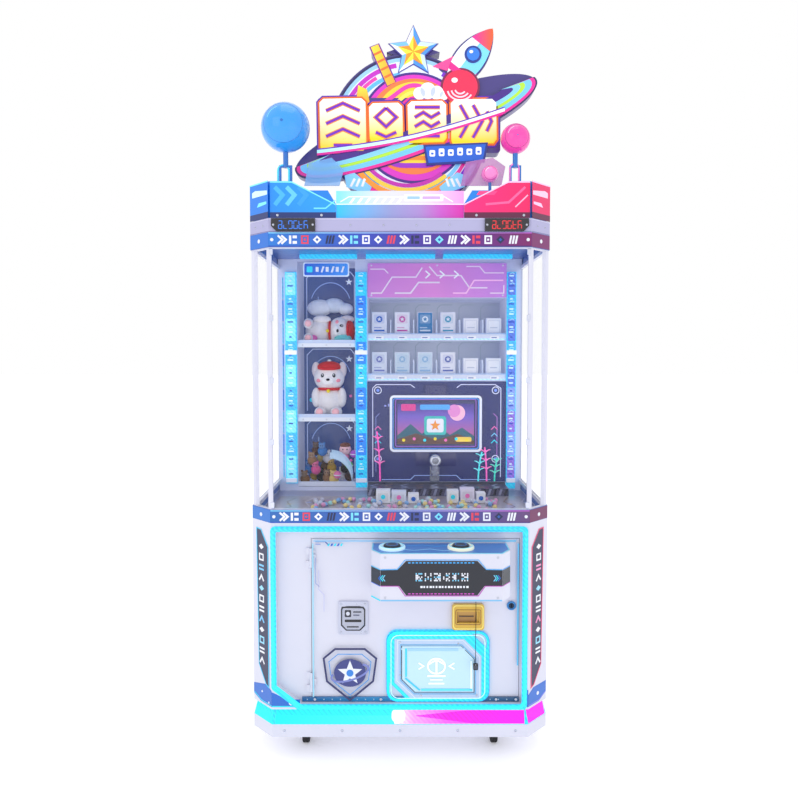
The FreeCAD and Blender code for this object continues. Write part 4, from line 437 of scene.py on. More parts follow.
CAD_LOOK = {
    "cabinet_white": finish("white_enamel", rgb(216, 217, 233), 0.34, mottle=0.035, coat=0.25, bump=0.12),
    # The liner holds no lamp: its glow of 0.12 is painted light that brightens the bay.
    "liner_white": finish("liner_paint_painted_glow", rgb(200, 206, 232), 0.5, mottle=0.06, glow=0.12),
    "cyan_light": finish("cyan_diffuser", rgb(40, 205, 248), 0.4, glow=0.35, cells=380.0),
    "caster_metal": finish("zinc_plate", rgb(120, 122, 130), 0.35, metal=0.8, mottle=0.15),
    "caster_tyre": finish("black_tyre", rgb(26, 26, 28), 0.75, mottle=0.12, bump=0.4),
    "bright_steel": finish("bright_pin", rgb(190, 192, 198), 0.22, metal=0.9, mottle=0.1),
    "motor_grey": finish("motor_paint", rgb(90, 94, 102), 0.5, mottle=0.12, bump=0.3),
    "bezel_pale": finish("pale_bezel", rgb(206, 210, 232), 0.3, coat=0.3),
    "button_black": finish("button_plastic", rgb(16, 17, 24), 0.25, coat=0.5),
    "coin_plate_silver": finish("satin_silver", rgb(196, 200, 220), 0.3, metal=0.45, mottle=0.1, bump=0.2),
    "mech_black": finish("mechanism_black", rgb(28, 30, 36), 0.5, mottle=0.1),
    "ticket_yellow": finish("golden_bezel", rgb(216, 176, 60), 0.3, coat=0.4, mottle=0.08),
    "frame_lavender": finish("lavender_frame", rgb(186, 208, 238), 0.3, coat=0.3),
    "flap_acrylic": finish("flap_sheet", rgb(188, 224, 242), 0.14, coat=0.6, glow=0.08, mottle=0.04),
    "cord_black": finish("cord_jacket", rgb(18, 18, 22), 0.6, mottle=0.15, bump=0.3),
    "deck_grey": finish("deck_sheet", rgb(150, 150, 180), 0.35, mottle=0.08),
    "band_blue": finish("band_enamel", rgb(30, 96, 186), 0.35, coat=0.3),
    "clear_glass": finish("clear_glass", rgb(235, 242, 252), 0.03, alpha=0.012, mottle=0.01, bump=0.0),
    "header_grey": finish("header_paint", rgb(176, 174, 212), 0.36, coat=0.2, bump=0.12),
    "display_black": finish("display_window", rgb(14, 12, 26), 0.12, coat=0.7),
    "crown_blue": finish("crown_enamel", rgb(10, 125, 222), 0.32, coat=0.3, glow=0.1),
    "crown_grey": finish("crown_centre_paint", rgb(190, 186, 225), 0.34, coat=0.2),
    # The shelves hold no lamp: the glow of the white and the clear shelves is painted light.
    "shelf_white": finish("shelf_sheet_painted_glow", rgb(222, 230, 250), 0.3, coat=0.3, glow=0.12),
    "shelf_clear": finish("shelf_acrylic_painted_glow", rgb(212, 224, 246), 0.12, coat=0.5, alpha=0.6, glow=0.08),
    "panel_navy": finish("panel_enamel", rgb(44, 52, 116), 0.35, coat=0.3, glow=0.1),
    "screen_glass": finish("screen_glass", rgb(60, 62, 120), 0.1, coat=0.6),
    "launcher_steel": finish("launcher_steel", rgb(178, 182, 196), 0.22, metal=0.85, mottle=0.12),
    "pusher_steel": finish("pusher_sheet", rgb(92, 92, 118), 0.3, metal=0.5, mottle=0.12),
    "sign_dark": finish("sign_edge_paint", rgb(70, 60, 130), 0.35, coat=0.3, glow=0.08),
    "globe_blue": finish("globe_enamel", rgb(13, 111, 200), 0.22, coat=0.6),
    "plush_white": PLUSH,
    # The prize boxes hold no lamp: their glow of 0.06 is painted light.
    "box_card": finish("white_card_painted_glow", rgb(226, 230, 246), 0.55, mottle=0.08, glow=0.06),
}
for entry in frame["record"]["subparts"]:
    for s in NODES[entry["node"]].material_slots:
        s.material = CAD_LOOK[entry["material_slot"]]
SCREW = rgb(200, 204, 218)


def screw(x, z, pl, r=4.5, lift=0.0, colour=SCREW):
    """A domed head with a round sunken middle."""
    o, u, v, n = pl
    c = o + x * u + z * v + lift * n
    head = lathe([(r, 0), (r, r * 0.25), (r * 0.8, r * 0.5), (r * 0.45, r * 0.55), (r * 0.4, r * 0.2), (0.2, r * 0.2)], c, n, colour, 16)
    return [head]


# ---------- room, lights and camera ----------
def room():
    """A wide pale floor under a white sky, two soft lamps in front and one above."""
    world = bpy.data.worlds.new("studio")
    bpy.context.scene.world = world
    world.use_nodes = True
    bg = world.node_tree.nodes["Background"]
    bg.inputs["Color"].default_value = (1.0, 1.0, 1.0, 1.0)
    bg.inputs["Strength"].default_value = 1.0
    mesh = bpy.data.meshes.new("floor")
    mesh.from_pydata([(-30, -20, 0), (30, -20, 0), (30, 40, 0), (-30, 40, 0)], [], [(0, 1, 2, 3)])
    floor = bpy.data.objects.new("floor", mesh)
    mesh.materials.append(finish("floor_paint", rgb(250, 250, 253), 0.85, mottle=0.004, dust=0.0, bump=0.0, glow=0.25))
    bpy.context.scene.collection.objects.link(floor)
    for name, at, aim, power, size in (("key_lamp", (-2.2, -3.2, 2.6), (0, 0, 1.1), 9, 2.2), ("fill_lamp", (2.4, -3.0, 1.6), (0, 0, 1.0), 4, 2.4), ("top_lamp", (0, -0.6, 3.9), (0, 0, 1.5), 6, 1.6)):
        lamp = bpy.data.lights.new(name, "AREA")
        lamp.energy, lamp.size = power, size
        lamp.color = (1.0, 0.985, 0.97) if name == "key_lamp" else (0.95, 0.97, 1.0)
        obj = bpy.data.objects.new(name, lamp)
        obj.location = at
        way = np.array(aim, float) - np.array(at, float)
        obj.rotation_euler = (math.atan2(math.hypot(way[0], way[1]), -way[2]), 0, math.atan2(-way[0], way[1]))
        bpy.context.scene.collection.objects.link(obj)
    cam = bpy.data.cameras.new("camera")
    cam.sensor_width, cam.lens, cam.shift_x, cam.shift_y = 36.0, 31.44, -0.00125, -0.0205
    cam.clip_start, cam.clip_end = 0.05, 100.0
    view = bpy.data.objects.new("camera", cam)
    view.location = (0.0, -2.511, 1.270)
    view.rotation_euler = (math.radians(90 - 2.35), 0, 0)
    bpy.context.scene.collection.objects.link(view)
    bpy.context.scene.camera = view
    bpy.context.scene.view_settings.view_transform = "Standard"


room()


# ---------- hanging cord on the door ----------
def hanging_cord():
    """A limp cord of 228 mm in one curve, from the lock side of the control box to a small tag."""
    pts = [(0.234, -0.391, 0.541), (0.2348, -0.3907, 0.45892), (0.2334, -0.3912, 0.37684), (0.234, -0.391, 0.313)]
    curve = bpy.data.curves.new("door_cord", "CURVE")
    curve.dimensions = "3D"
    sp = curve.splines.new("NURBS")
    sp.points.add(len(pts) - 1)
    for p, q in zip(sp.points, pts):
        p.co = (*q, 1.0)
    sp.order_u, sp.use_endpoint_u = 3, True
    sp.resolution_u = 12
    curve.bevel_depth, curve.bevel_resolution, curve.use_fill_caps = 0.001, 3, True
    curve.materials.append(CAD_LOOK["cord_black"])
    cord = bpy.data.objects.new("door_cord", curve)
    bpy.context.scene.collection.objects.link(cord)
    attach(cord, "front_door")
    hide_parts("hang_cord")
    F = front(-387)
    tag = piece("door_cord_tag", [slab(rounded(226.5, 241.5, 293, 313, 3), 0, 8, F, rgb(30, 30, 36), 1.2),
                                  slab(rounded(229, 239, 297, 307, 1.5), 8, 8.5, F, rgb(70, 74, 90), 0.2),
                                  *screw(234, 310, F, 1.6, 8, STEEL)], PAINTED, "front_door")
    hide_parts("cord_tag")


hanging_cord()


# ---------- base ----------
def sloped(pl, z0, z1, back):
    """A face that leans back from its foot by the given depth; also returns its slant height."""
    o, u, v, n = pl
    rise = (z1 - z0) * v - back * n
    tall = float(np.linalg.norm(rise))
    return (o + z0 * v, u, rise / tall, np.cross(u, rise / tall)), tall


def base_band():
    """The lit band: cyan to the left of the middle, a white patch, then pink to magenta with a dark wedge."""
    F, tall = sloped(front(FRONT_Y + 0.3), BAND_Z + 1, LOWER_Z - 0.5, 11.7)
    R, _ = sloped(RIGHT_FACE, BAND_Z + 1, LOWER_Z - 0.5, 11.7)
    L, _ = sloped(LEFT_FACE, BAND_Z + 1, LOWER_Z - 0.5, 11.7)
    pinks = fade([(-20, rgb(252, 236, 250)), (40, rgb(248, 150, 235)), (140, rgb(243, 90, 235)), (260, rgb(250, 50, 235)), (390, rgb(247, 10, 225))])
    parts = [bar(np.linspace(-388, -18, 24), 1, tall * 0.52, -0.5, 0.5, F, fade([(-388, rgb(4, 240, 250)), (-18, rgb(60, 240, 252))])),
             bar(np.linspace(-386, -18, 24), tall * 0.52, tall - 1, -0.5, 0.55, F, fade([(-388, rgb(4, 216, 240)), (-18, rgb(40, 222, 244))])),
             bar(np.linspace(-18, 388, 40), 1, tall - 1, -0.5, 0.5, F, pinks),
             slab(rounded(-26, 16, 5, tall - 4, 14), 0.4, 1.0, F, rgb(252, 252, 255), 0.3),
             bar(np.linspace(50, 384, 30), np.interp(np.linspace(50, 384, 30), [50, 230], [tall * 0.48, 2]), np.interp(np.linspace(50, 384, 30), [50, 230, 384], [tall * 0.52, tall * 0.86, tall - 2]),
                 0.3, 0.9, F, fade([(50, rgb(215, 60, 210)), (150, rgb(225, 20, 205)), (384, rgb(246, 8, 222))])),
             bar(np.linspace(20, 372, 20), tall - 5, tall - 2, 0.6, 1.1, F, fade([(20, rgb(255, 225, 250)), (250, rgb(250, 170, 240)), (372, rgb(248, 60, 230))]))]
    parts += [bar(np.linspace(2, CHAMFER - 6, 6), 1, tall - 1, -0.5, 0.6, R, rgb(244, 14, 224)), bar(np.linspace(6, CHAMFER - 2, 6), 1, tall * 0.52, -0.5, 0.6, L, rgb(6, 236, 250)),
              bar(np.linspace(6, CHAMFER - 2, 6), tall * 0.52, tall - 1, -0.5, 0.65, L, rgb(6, 214, 240))]
    return piece("base_band_print", parts, LIT)


base_band()


def plinth_details():
    parts = []
    for x in (-360, -180, 0, 180, 360):
        parts += screw(x, 97, front(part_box("plinth")[0].y / MM), 4)
    return piece("plinth_screws", parts, SHINY)


plinth_details()


# ---------- lower cabinet front ----------
def lower_front():
    """Blue corner stripes with screw covers and the chamfer badges."""
    F = front(FRONT_Y)
    blue, deep = rgb(25, 105, 205), rgb(12, 70, 165)
    parts = [slab([(-399, 172), (-311, 172), (-311, 196), (-352, 196), (-388, 214), (-399, 219)], -0.4, 0.7, F, blue, 0.3),
             slab([(0, 219), (70, 236), (97.3, 222), (97.3, 172), (40, 172), (0, 186)], -0.4, 0.7, LEFT_FACE, blue, 0.3),
             slab([(378.5, 172), (399, 172), (399, 226), (384, 226), (384, 186), (378.5, 182)], -0.4, 0.7, F, blue, 0.3),
             slab([(0.3, 172), (58, 172), (97, 190), (97, 226), (27, 226), (0.3, 210)], -0.4, 0.7, RIGHT_FACE, blue, 0.3),
             slab([(-399, 172), (-311, 172), (-311, 176), (-399, 176)], 0.7, 1.1, F, CYAN, 0.2),
             line([(4, 190), (44, 176), (97, 176)], 2.5, 0.7, 1.1, LEFT_FACE, CYAN),
             line([(0.3, 176), (56, 176), (94, 192)], 2.5, 0.7, 1.1, RIGHT_FACE, rgb(120, 120, 240))]
    for pl, x, z, r in ((F, -338, 186, 8), (LEFT_FACE, 48, 206, 3.4), (RIGHT_FACE, 50, 200, 6), (LEFT_FACE, 84, 182, 3.2)):
        o, u, v, n = pl
        parts.append(lathe([(r, -0.2), (r, 1.6), (r * 0.8, 2.6), (r * 0.3, 3.0), (0.2, 3.0)], o + x * u + z * v, n, rgb(232, 238, 250), 24))
    badge = [(23, 724), (47, 722), (84, 672), (84, 229), (69, 235), (31, 290)]
    for pl, flip in ((LEFT_FACE, False), (RIGHT_FACE, True)):
        out = np.array(badge, float)
        if flip:
            out[:, 0] = CHAMFER - out[:, 0]
        trim = rgb(230, 60, 120) if flip else rgb(60, 200, 245)
        parts += [slab(out, -0.3, 0.6, pl, rgb(22, 28, 74), 0.2), line(out, 3.4, 0.4, 1.2, pl, trim, closed=True)]
        mid = (out[1, 0] + out[5, 0]) / 2 + (9 if not flip else -9)
        tones = (WHITE, WHITE, rgb(150, 220, 250), WHITE, rgb(240, 150, 200) if flip else rgb(120, 200, 250))
        for k in range(12):
            z, c, form = 296 + k * 33, tones[k % 5], k % 4
            if form == 0:
                parts.append(line([(mid - 12, z), (mid, z + 17), (mid + 12, z)], 6, 0.5, 1.1, pl, c))
            elif form == 1:
                parts += [slab(box2(mid - 13, mid + 13, z + 12 * q, z + 12 * q + 6), 0.5, 1.1, pl, c, 0.1) for q in range(2)]
            elif form == 2:
                parts.append(line(box2(mid - 10, mid + 10, z, z + 18), 5, 0.5, 1.1, pl, c, closed=True))
            else:
                parts.append(slab([(mid - 13, z + 9), (mid, z), (mid + 13, z + 9), (mid, z + 18)], 0.5, 1.1, pl, c, 0.2))
    piece("corner_stripes", parts, PRINTED)


lower_front()


def ring_and_lip():
    """The ring's domed diffuser: a half-round of 7 mm carried round the opening, with a light top run and a cyan foot."""
    y = -391.0
    path = np.array([(-303, 174), (364, 174), (376, 178), (386, 190), (386, 718), (378, 730), (366, 732), (-378, 732), (-389, 728), (-391, 718), (-391, 243)], float)
    fine = []
    closed = np.vstack([path, path[:1]])
    for a, b in zip(closed[:-1], closed[1:]):
        n = max(2, int(np.linalg.norm(b - a) / 40))
        fine.append(a + (b - a) * np.linspace(0, 1, n, endpoint=False)[:, None])
    fine = np.vstack(fine)
    col = lambda p: np.stack([np.interp(p[:, 2], [174, 200, 700, 732], c) for c in zip(rgb(40, 238, 248), rgb(46, 232, 250), rgb(60, 215, 240), rgb(60, 200, 232))], 1)
    parts = [tube(np.stack([fine[:, 0], np.full(len(fine), y), fine[:, 1]], 1), 5.0, col, up=(0, 1, 0), sides=10, closed=True)]
    piece("ring_diffuser", parts, LIT)
    F = front(RECESS_Y - 1)
    # Painted shade and reflection: this dark blue strip, lighter near the middle, stands for the ledge at the foot of
    # the recess as it looks in shade.
    lip = [bar(np.linspace(-306, 372, 20), 183, 197, 0, 6, F, fade([(-306, rgb(14, 90, 150)), (-100, rgb(20, 130, 190)), (372, rgb(40, 80, 120))]))]
    for x in np.arange(-290, 366, 26.0):
        lip += screw(x, 190, F, 1.8, 6, rgb(190, 215, 235))
    piece("ledge_strip_painted_shade", lip, PRINTED)


ring_and_lip()


# ---------- service door ----------
def door_art():
    """Corner marks, a printed emblem, and strips of painted cyan light from the ring on the panel and the door."""
    door_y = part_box("service_door")[0].y / MM
    F = front(door_y)
    dim, lilac = rgb(150, 165, 215), rgb(190, 192, 232)
    parts = [line([(-262, 690), (-232, 690), (-222, 680)], 3, -0.3, 0.5, F, rgb(40, 80, 170)), line([(-262, 682), (-246, 682)], 2, -0.3, 0.5, F, rgb(70, 110, 200)),
             line([(-262, 640), (-262, 560), (-250, 548)], 2, -0.3, 0.5, F, dim), line([(-252, 600), (-252, 540), (-236, 524), (-236, 470)], 2, -0.3, 0.5, F, lilac)]
    for k in range(5):
        parts.append(slab([(-226 + 10 * k, 676), (-220 + 10 * k, 676), (-216 + 10 * k, 684), (-222 + 10 * k, 684)], -0.3, 0.5, F, BLUE if k % 2 else CYAN, 0.1))
    cx, cz = -156, 270
    body = rgb(34, 40, 100)
    shield = [(cx - 82, cz + 52), (cx - 46, cz + 82), (cx + 46, cz + 82), (cx + 82, cz + 52), (cx + 72, cz - 20), (cx, cz - 80), (cx - 72, cz - 20)]
    parts.append(line(shield, 6, -0.3, 0.7, F, body, closed=True))
    parts.append(line(cxy(np.array(shield), cx, cz, 0.8), 2.5, -0.3, 0.6, F, rgb(60, 150, 225), closed=True))
    parts.append(slab(oval(cx, cz + 6, 50, 44, 36), -0.3, 0.6, F, rgb(52, 60, 130), 0.3))
    parts.append(slab(star(cx, cz + 6, 40, 17), 0.5, 1.3, F, rgb(232, 236, 250), 0.5))
    parts.append(slab(oval(cx, cz + 6, 11, n=24), 1.2, 1.8, F, rgb(40, 130, 220), 0.3))
    parts.append(line(arc(cx, cz + 6, 60, 22, 150, 400, 40, 0.3), 6, -0.3, 1.5, F, rgb(120, 130, 200)))
    # Painted light: thin cyan strips along the left, right and top edges stand for the glow the ring casts on the
    # panel.
    for x0, x1, z0, z1, c in ((-272, -268, 200, 684, rgb(150, 215, 240)), (364, 369, 300, 684, rgb(90, 190, 235))):
        parts.append(bar([x0, x1], z0, z1, -0.3, 0.6, F, c))
    parts.append(bar(np.linspace(-268, 364, 12), 690, 694, -0.3, 0.6, F, fade([(-268, rgb(150, 200, 240)), (364, rgb(70, 190, 235))])))
    for x, z in ((-266, 192), (362, 192), (362, 690), (-266, 660), (300, 192), (-60, 192)):
        parts += screw(x, z, F, 4, 0)
    piece("door_prints_and_painted_glow", parts, PRINTED, "front_door")


def cxy(out, cx, cz, k):
    """Scales an outline about a point."""
    return (out - [cx, cz]) * k + [cx, cz]


door_art()


def control_art():
    """Blue top plate with a cyan edge, the dark wrap band with its octagon, dashes, small icons and the push rings."""
    top = level(683.0)
    y0 = CONTROL_Y
    parts = [slab([(-82, -372), (-82, y0 + 44), (-56, y0 + 5), (300, y0 + 5), (326, y0 + 44), (326, -372)], -0.3, 0.8, top, rgb(10, 112, 200), 0.4),
             line([(-83, -372), (-83, y0 + 43), (-57, y0 + 3), (301, y0 + 3), (327, y0 + 43), (327, -372)], 3.4, 0.2, 1.4, top, rgb(110, 220, 245)),
             line([(12, -440), (40, -452), (90, -436), (130, -455), (176, -440)], 4, 0.6, 1.2, top, rgb(150, 215, 250)),
             line([(20, -400), (70, -392), (110, -408), (150, -398), (210, -410)], 3, 0.6, 1.2, top, rgb(60, 160, 235))]
    F = front(y0)
    slope = math.hypot(28, 40)
    CL = plane((-86, y0 + 40, 0), (28 / slope, -40 / slope, 0), (0, 0, 1))
    CR = plane((302, y0, 0), (28 / slope, 40 / slope, 0), (0, 0, 1))
    ink, edge = rgb(8, 16, 34), rgb(24, 120, 215)
    wide = np.array([-57.5, -20, -3, 18, 228, 249, 266, 301.5])
    parts += [bar(wide, [588, 588, 588, 560, 560, 588, 588, 588], [635, 635, 640, 662, 662, 640, 635, 635], -0.3, 1.0, F, ink),
              bar([0.5, slope - 0.4], 588, 635, -0.3, 1.0, CL, ink), bar([0.4, slope - 0.5], 588, 635, -0.3, 1.0, CR, ink),
              line([(-57, 636), (-8, 637), (15, 665), (231, 665), (254, 637), (301, 636)], 2.4, -0.2, 1.2, F, rgb(70, 170, 240)),
              line([(-57, 587), (-5, 587), (15, 558), (231, 558), (251, 587), (301, 587)], 2.2, -0.2, 1.2, F, rgb(190, 60, 190)),
              line([(0.5, 636), (slope - 0.5, 636)], 2.4, -0.2, 1.2, CL, rgb(60, 190, 240)), line([(0.5, 587), (slope - 0.5, 587)], 2.2, -0.2, 1.2, CL, rgb(60, 110, 220)),
              line([(0.5, 636), (slope - 0.5, 636)], 2.4, -0.2, 1.2, CR, rgb(70, 160, 240)), line([(0.5, 587), (slope - 0.5, 587)], 2.2, -0.2, 1.2, CR, rgb(200, 60, 200)),
              bar(np.linspace(-57, 301, 6), 542, 546, -0.2, 0.8, F, rgb(120, 190, 235)), bar([0.5, slope - 0.5], 542, 546, -0.2, 0.8, CL, CYAN)]
    for x in np.arange(24, 222, 11.0):
        parts.append(slab(box2(x, x + 7, 655, 658.5), 0.9, 1.5, F, rgb(60, 170, 245), 0.1))
        parts.append(slab(box2(x, x + 7, 563, 566), 0.9, 1.5, F, rgb(210, 70, 200), 0.1))
    white = rgb(236, 240, 252)
    blocks = ["1110111", "1001001", "1011101", "1000001", "1110111"]
    for k, x in enumerate(np.arange(46, 205, 27.0)):
        for r in range(5):
            for c in range(5):
                if (int(blocks[r][(c + k) % 7]) + (k * r + c * 3) % 2) % 2:
                    parts.append(slab(box2(x + c * 4, x + c * 4 + 3.6, 622 - r * 5, 626.4 - r * 5), 0.9, 1.6, F, white if (k + r) % 4 else SKY, 0.1))
    for k, x in enumerate(np.arange(60, 196, 9.0)):
        parts.append(slab(box2(x, x + (5 if k % 3 else 7), 582, 588), 0.9, 1.5, F, white, 0.1))
    for x0, z0 in ((-44, 611), (276, 611)):
        for k in range(3):
            s = -1 if x0 < 0 else 1
            parts.append(line([(x0 + s * 6 * k, z0 + 9), (x0 + s * (6 * k + 7), z0), (x0 + s * 6 * k, z0 - 9)], 2.4, 0.9, 1.5, F, (SKY, CYAN, BLUE)[k]))
    for x, z in ((-44, 552), (288, 552), (-44, 672), (288, 672)):
        parts += screw(x, z, F, 3.6)
    piece("control_prints", parts, PRINTED, "front_door")
    rings, caps = [], []
    for x, side, tone in ((-24, "left", rgb(205, 238, 250)), (184, "right", rgb(236, 238, 214))):
        c = (x, -425, 689)
        rings += [lathe([(40.6, -6), (40.6, 0), (39, 2.2), (34, 3.2), (29.5, 1.6), (29.0, -0.5), (28.6, -6)], c, (0, 0, 1), tone, 56, True),
                  lathe([(35.4, 2.9), (35.2, 3.8), (33.8, 3.8), (33.6, 2.9)], c, (0, 0, 1), rgb(120, 215, 240), 56, True)]
        c = (x, -425, 688.2)
        piece("button_cap_" + side, [lathe([(25, 4), (25.2, 5.4), (24.2, 6.8), (20, 7.6), (12, 7.0), (4, 6.6), (0.2, 6.5)], c, (0, 0, 1), rgb(20, 22, 34), 48),
                                     lathe([(17.8, 7.2), (17.4, 7.8), (15.6, 7.8), (15.2, 7.1)], c, (0, 0, 1), rgb(60, 120, 210), 48, True)], PAINTED, "button_" + side)
    piece("button_rings", rings, LIT_ART, "front_door")


control_art()


def door_fittings():
    """Coin plate with a shield and chrome face, ticket box, prize ring glow, flap icons and the cam lock's face."""
    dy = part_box("coin_plate")[0].y / MM
    F = front(dy)
    parts, metal = [], []
    for x in (-184, -108):
        for z in (404, 492):
            metal += screw(x, z, F, 3.6)
    parts += [slab([(-181, 484), (-114, 484), (-108, 476), (-108, 424), (-124, 408), (-168, 408), (-184, 424), (-184, 476)], -0.2, 1.0, F, rgb(20, 22, 32), 0.4)]
    metal += [slab([(-177, 480), (-117, 480), (-112, 474), (-112, 427), (-126, 412), (-166, 412), (-180, 427), (-180, 474)], 0.9, 2.6, F, rgb(176, 180, 196), 0.8)]
    parts += [slab(rounded(-172, -152, 452, 474, 3), 2.5, 3.2, F, rgb(30, 32, 48), 0.2), slab(oval(-162, 463, 6, n=20), 3.1, 3.8, F, rgb(210, 214, 230), 0.2),
              slab(rounded(-146, -120, 466, 470, 1.5), 2.5, 3.1, F, rgb(40, 42, 60), 0.2), slab(rounded(-146, -126, 456, 460, 1.5), 2.5, 3.1, F, rgb(90, 94, 120), 0.2),
              slab(rounded(-172, -120, 436, 444, 2), 2.5, 3.3, F, rgb(16, 16, 24), 0.3), slab(rounded(-166, -128, 419, 423, 1.8), 2.5, 3.2, F, rgb(10, 10, 14), 0.2)]
    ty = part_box("ticket_bezel")[0].y / MM
    T = front(ty)
    parts += [line(rounded(166, 258, 416, 489, 10), 3.4, -0.2, 0.9, T, rgb(246, 226, 120), closed=True),
              line(rounded(173, 251, 430, 476, 5), 2.2, -0.2, 0.8, T, rgb(150, 100, 30), closed=True)]
    amber = fade([(430, rgb(140, 96, 40)), (476, rgb(206, 160, 76))], 2)
    parts += [slab(rounded(178, 236, 434, 472, 4), -10.5, -8.0, T, amber, 1.0), slab(box2(238, 245, 436, 470), -10.5, -9.2, T, rgb(24, 16, 10), 0.2),
              slab(box2(184, 230, 451, 455), -8.1, -7.2, T, rgb(60, 36, 16), 0.2)]
    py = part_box("prize_frame")[0].y / MM
    P = front(py)
    frame_out = [(-8, 378), (196, 378), (249, 325), (249, 195), (48, 195), (-10, 250)]
    inner = [(1, 364), (192.5, 364), (236, 320.5), (236, 208), (44.5, 208), (1, 251.5)]
    parts += [line(frame_out, 2.4, -0.2, 0.7, P, rgb(222, 234, 250), closed=True), line(inner, 3.0, -0.2, 0.9, P, rgb(110, 180, 226), closed=True)]
    for x, z in ((0, 372), (182, 368), (240, 300), (240, 204), (66, 204), (0, 268)):
        metal += screw(x, z, P, 3.2)
    piece("door_fittings_print", parts, PRINTED, "front_door")
    piece("door_fittings_metal", metal, SHINY, "front_door")
    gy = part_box("prize_light_ring")[0].y / MM
    G = front(gy)
    glow = lambda p: np.stack([np.interp(p[:, 0], [-43, 120, 280], c) * np.interp(p[:, 2], [178, 260], [1.35 if k == 0 else 1, 1]) for k, c in enumerate(zip(rgb(6, 238, 250), rgb(60, 226, 246), rgb(27, 205, 240)))], 1)
    parts = [line(rounded(-37, 274, 188, 403, 30, 8), 7, -0.3, 1.4, G, glow, closed=True), line(rounded(-41.5, 278.5, 184.5, 407.5, 33, 8), 2.5, -0.3, 1.0, G, rgb(14, 150, 220), closed=True),
             line(rounded(-28, 265, 194, 394, 24, 8), 2.0, -0.3, 1.2, G, rgb(200, 250, 255), closed=True)]
    piece("prize_ring_glow", parts, LIT, "front_door")
    lo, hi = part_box("prize_flap")
    K = front(lo.y / MM)
    white, soft = rgb(246, 252, 255), rgb(226, 240, 250)
    parts = [bar([16, 22], 262, 352, -0.2, 0.5, K, rgb(60, 200, 235)), bar(np.linspace(66, 226, 6), 217, 224, -0.2, 0.5, K, rgb(90, 210, 238)), bar([220, 225], 220, 312, -0.2, 0.5, K, rgb(225, 242, 252))]
    parts += [line([(16, 258), (62, 219)], 5, -0.2, 0.6, K, rgb(50, 190, 230)), bar(np.linspace(24, 182, 4), 344, 352, -0.2, 0.5, K, rgb(150, 196, 232))]
    cx, cz = 114, 296
    parts += [line(oval(cx, cz, 27, 24, 36), 5, -0.1, 0.8, K, white, closed=True), line([(cx - 24, cz + 6), (cx, cz + 20), (cx + 24, cz + 6)], 4.5, -0.1, 0.9, K, white), slab(box2(cx - 3, cx + 3, cz - 22, cz + 22), -0.1, 0.9, K, white, 0.2)]
    for k, w in enumerate((58, 40, 50)):
        parts.append(slab(rounded(cx - w / 2, cx + w / 2, 262 - 12 * k, 267 - 12 * k, 2), -0.1, 0.8, K, white if k % 2 == 0 else soft, 0.2))
    parts += [line([(58, 286), (74, 296), (58, 306)], 4, -0.1, 0.8, K, white), line([(170, 286), (154, 296), (170, 306)], 4, -0.1, 0.8, K, white)]
    piece("flap_icons", parts, LIT_ART, "flap")
    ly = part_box("door_lock")[0].y / MM
    piece("lock_face", [lathe([(14.4, 0), (14.4, 1.2), (13, 2.2), (10.5, 2.2), (10, 1.2)], (347, ly, 487), (0, -1, 0), rgb(70, 130, 190), 36),
                        lathe([(8.6, 0), (8.6, 2.2), (7.8, 2.8), (0.2, 2.8)], (347, ly + 0.5, 487), (0, -1, 0), rgb(50, 60, 80), 30),
                        slab(rounded(346, 348, 481, 493, 0.9), 2.2, 2.9, front(ly), rgb(8, 10, 14), 0.1)], SHINY, "front_door")


door_fittings()


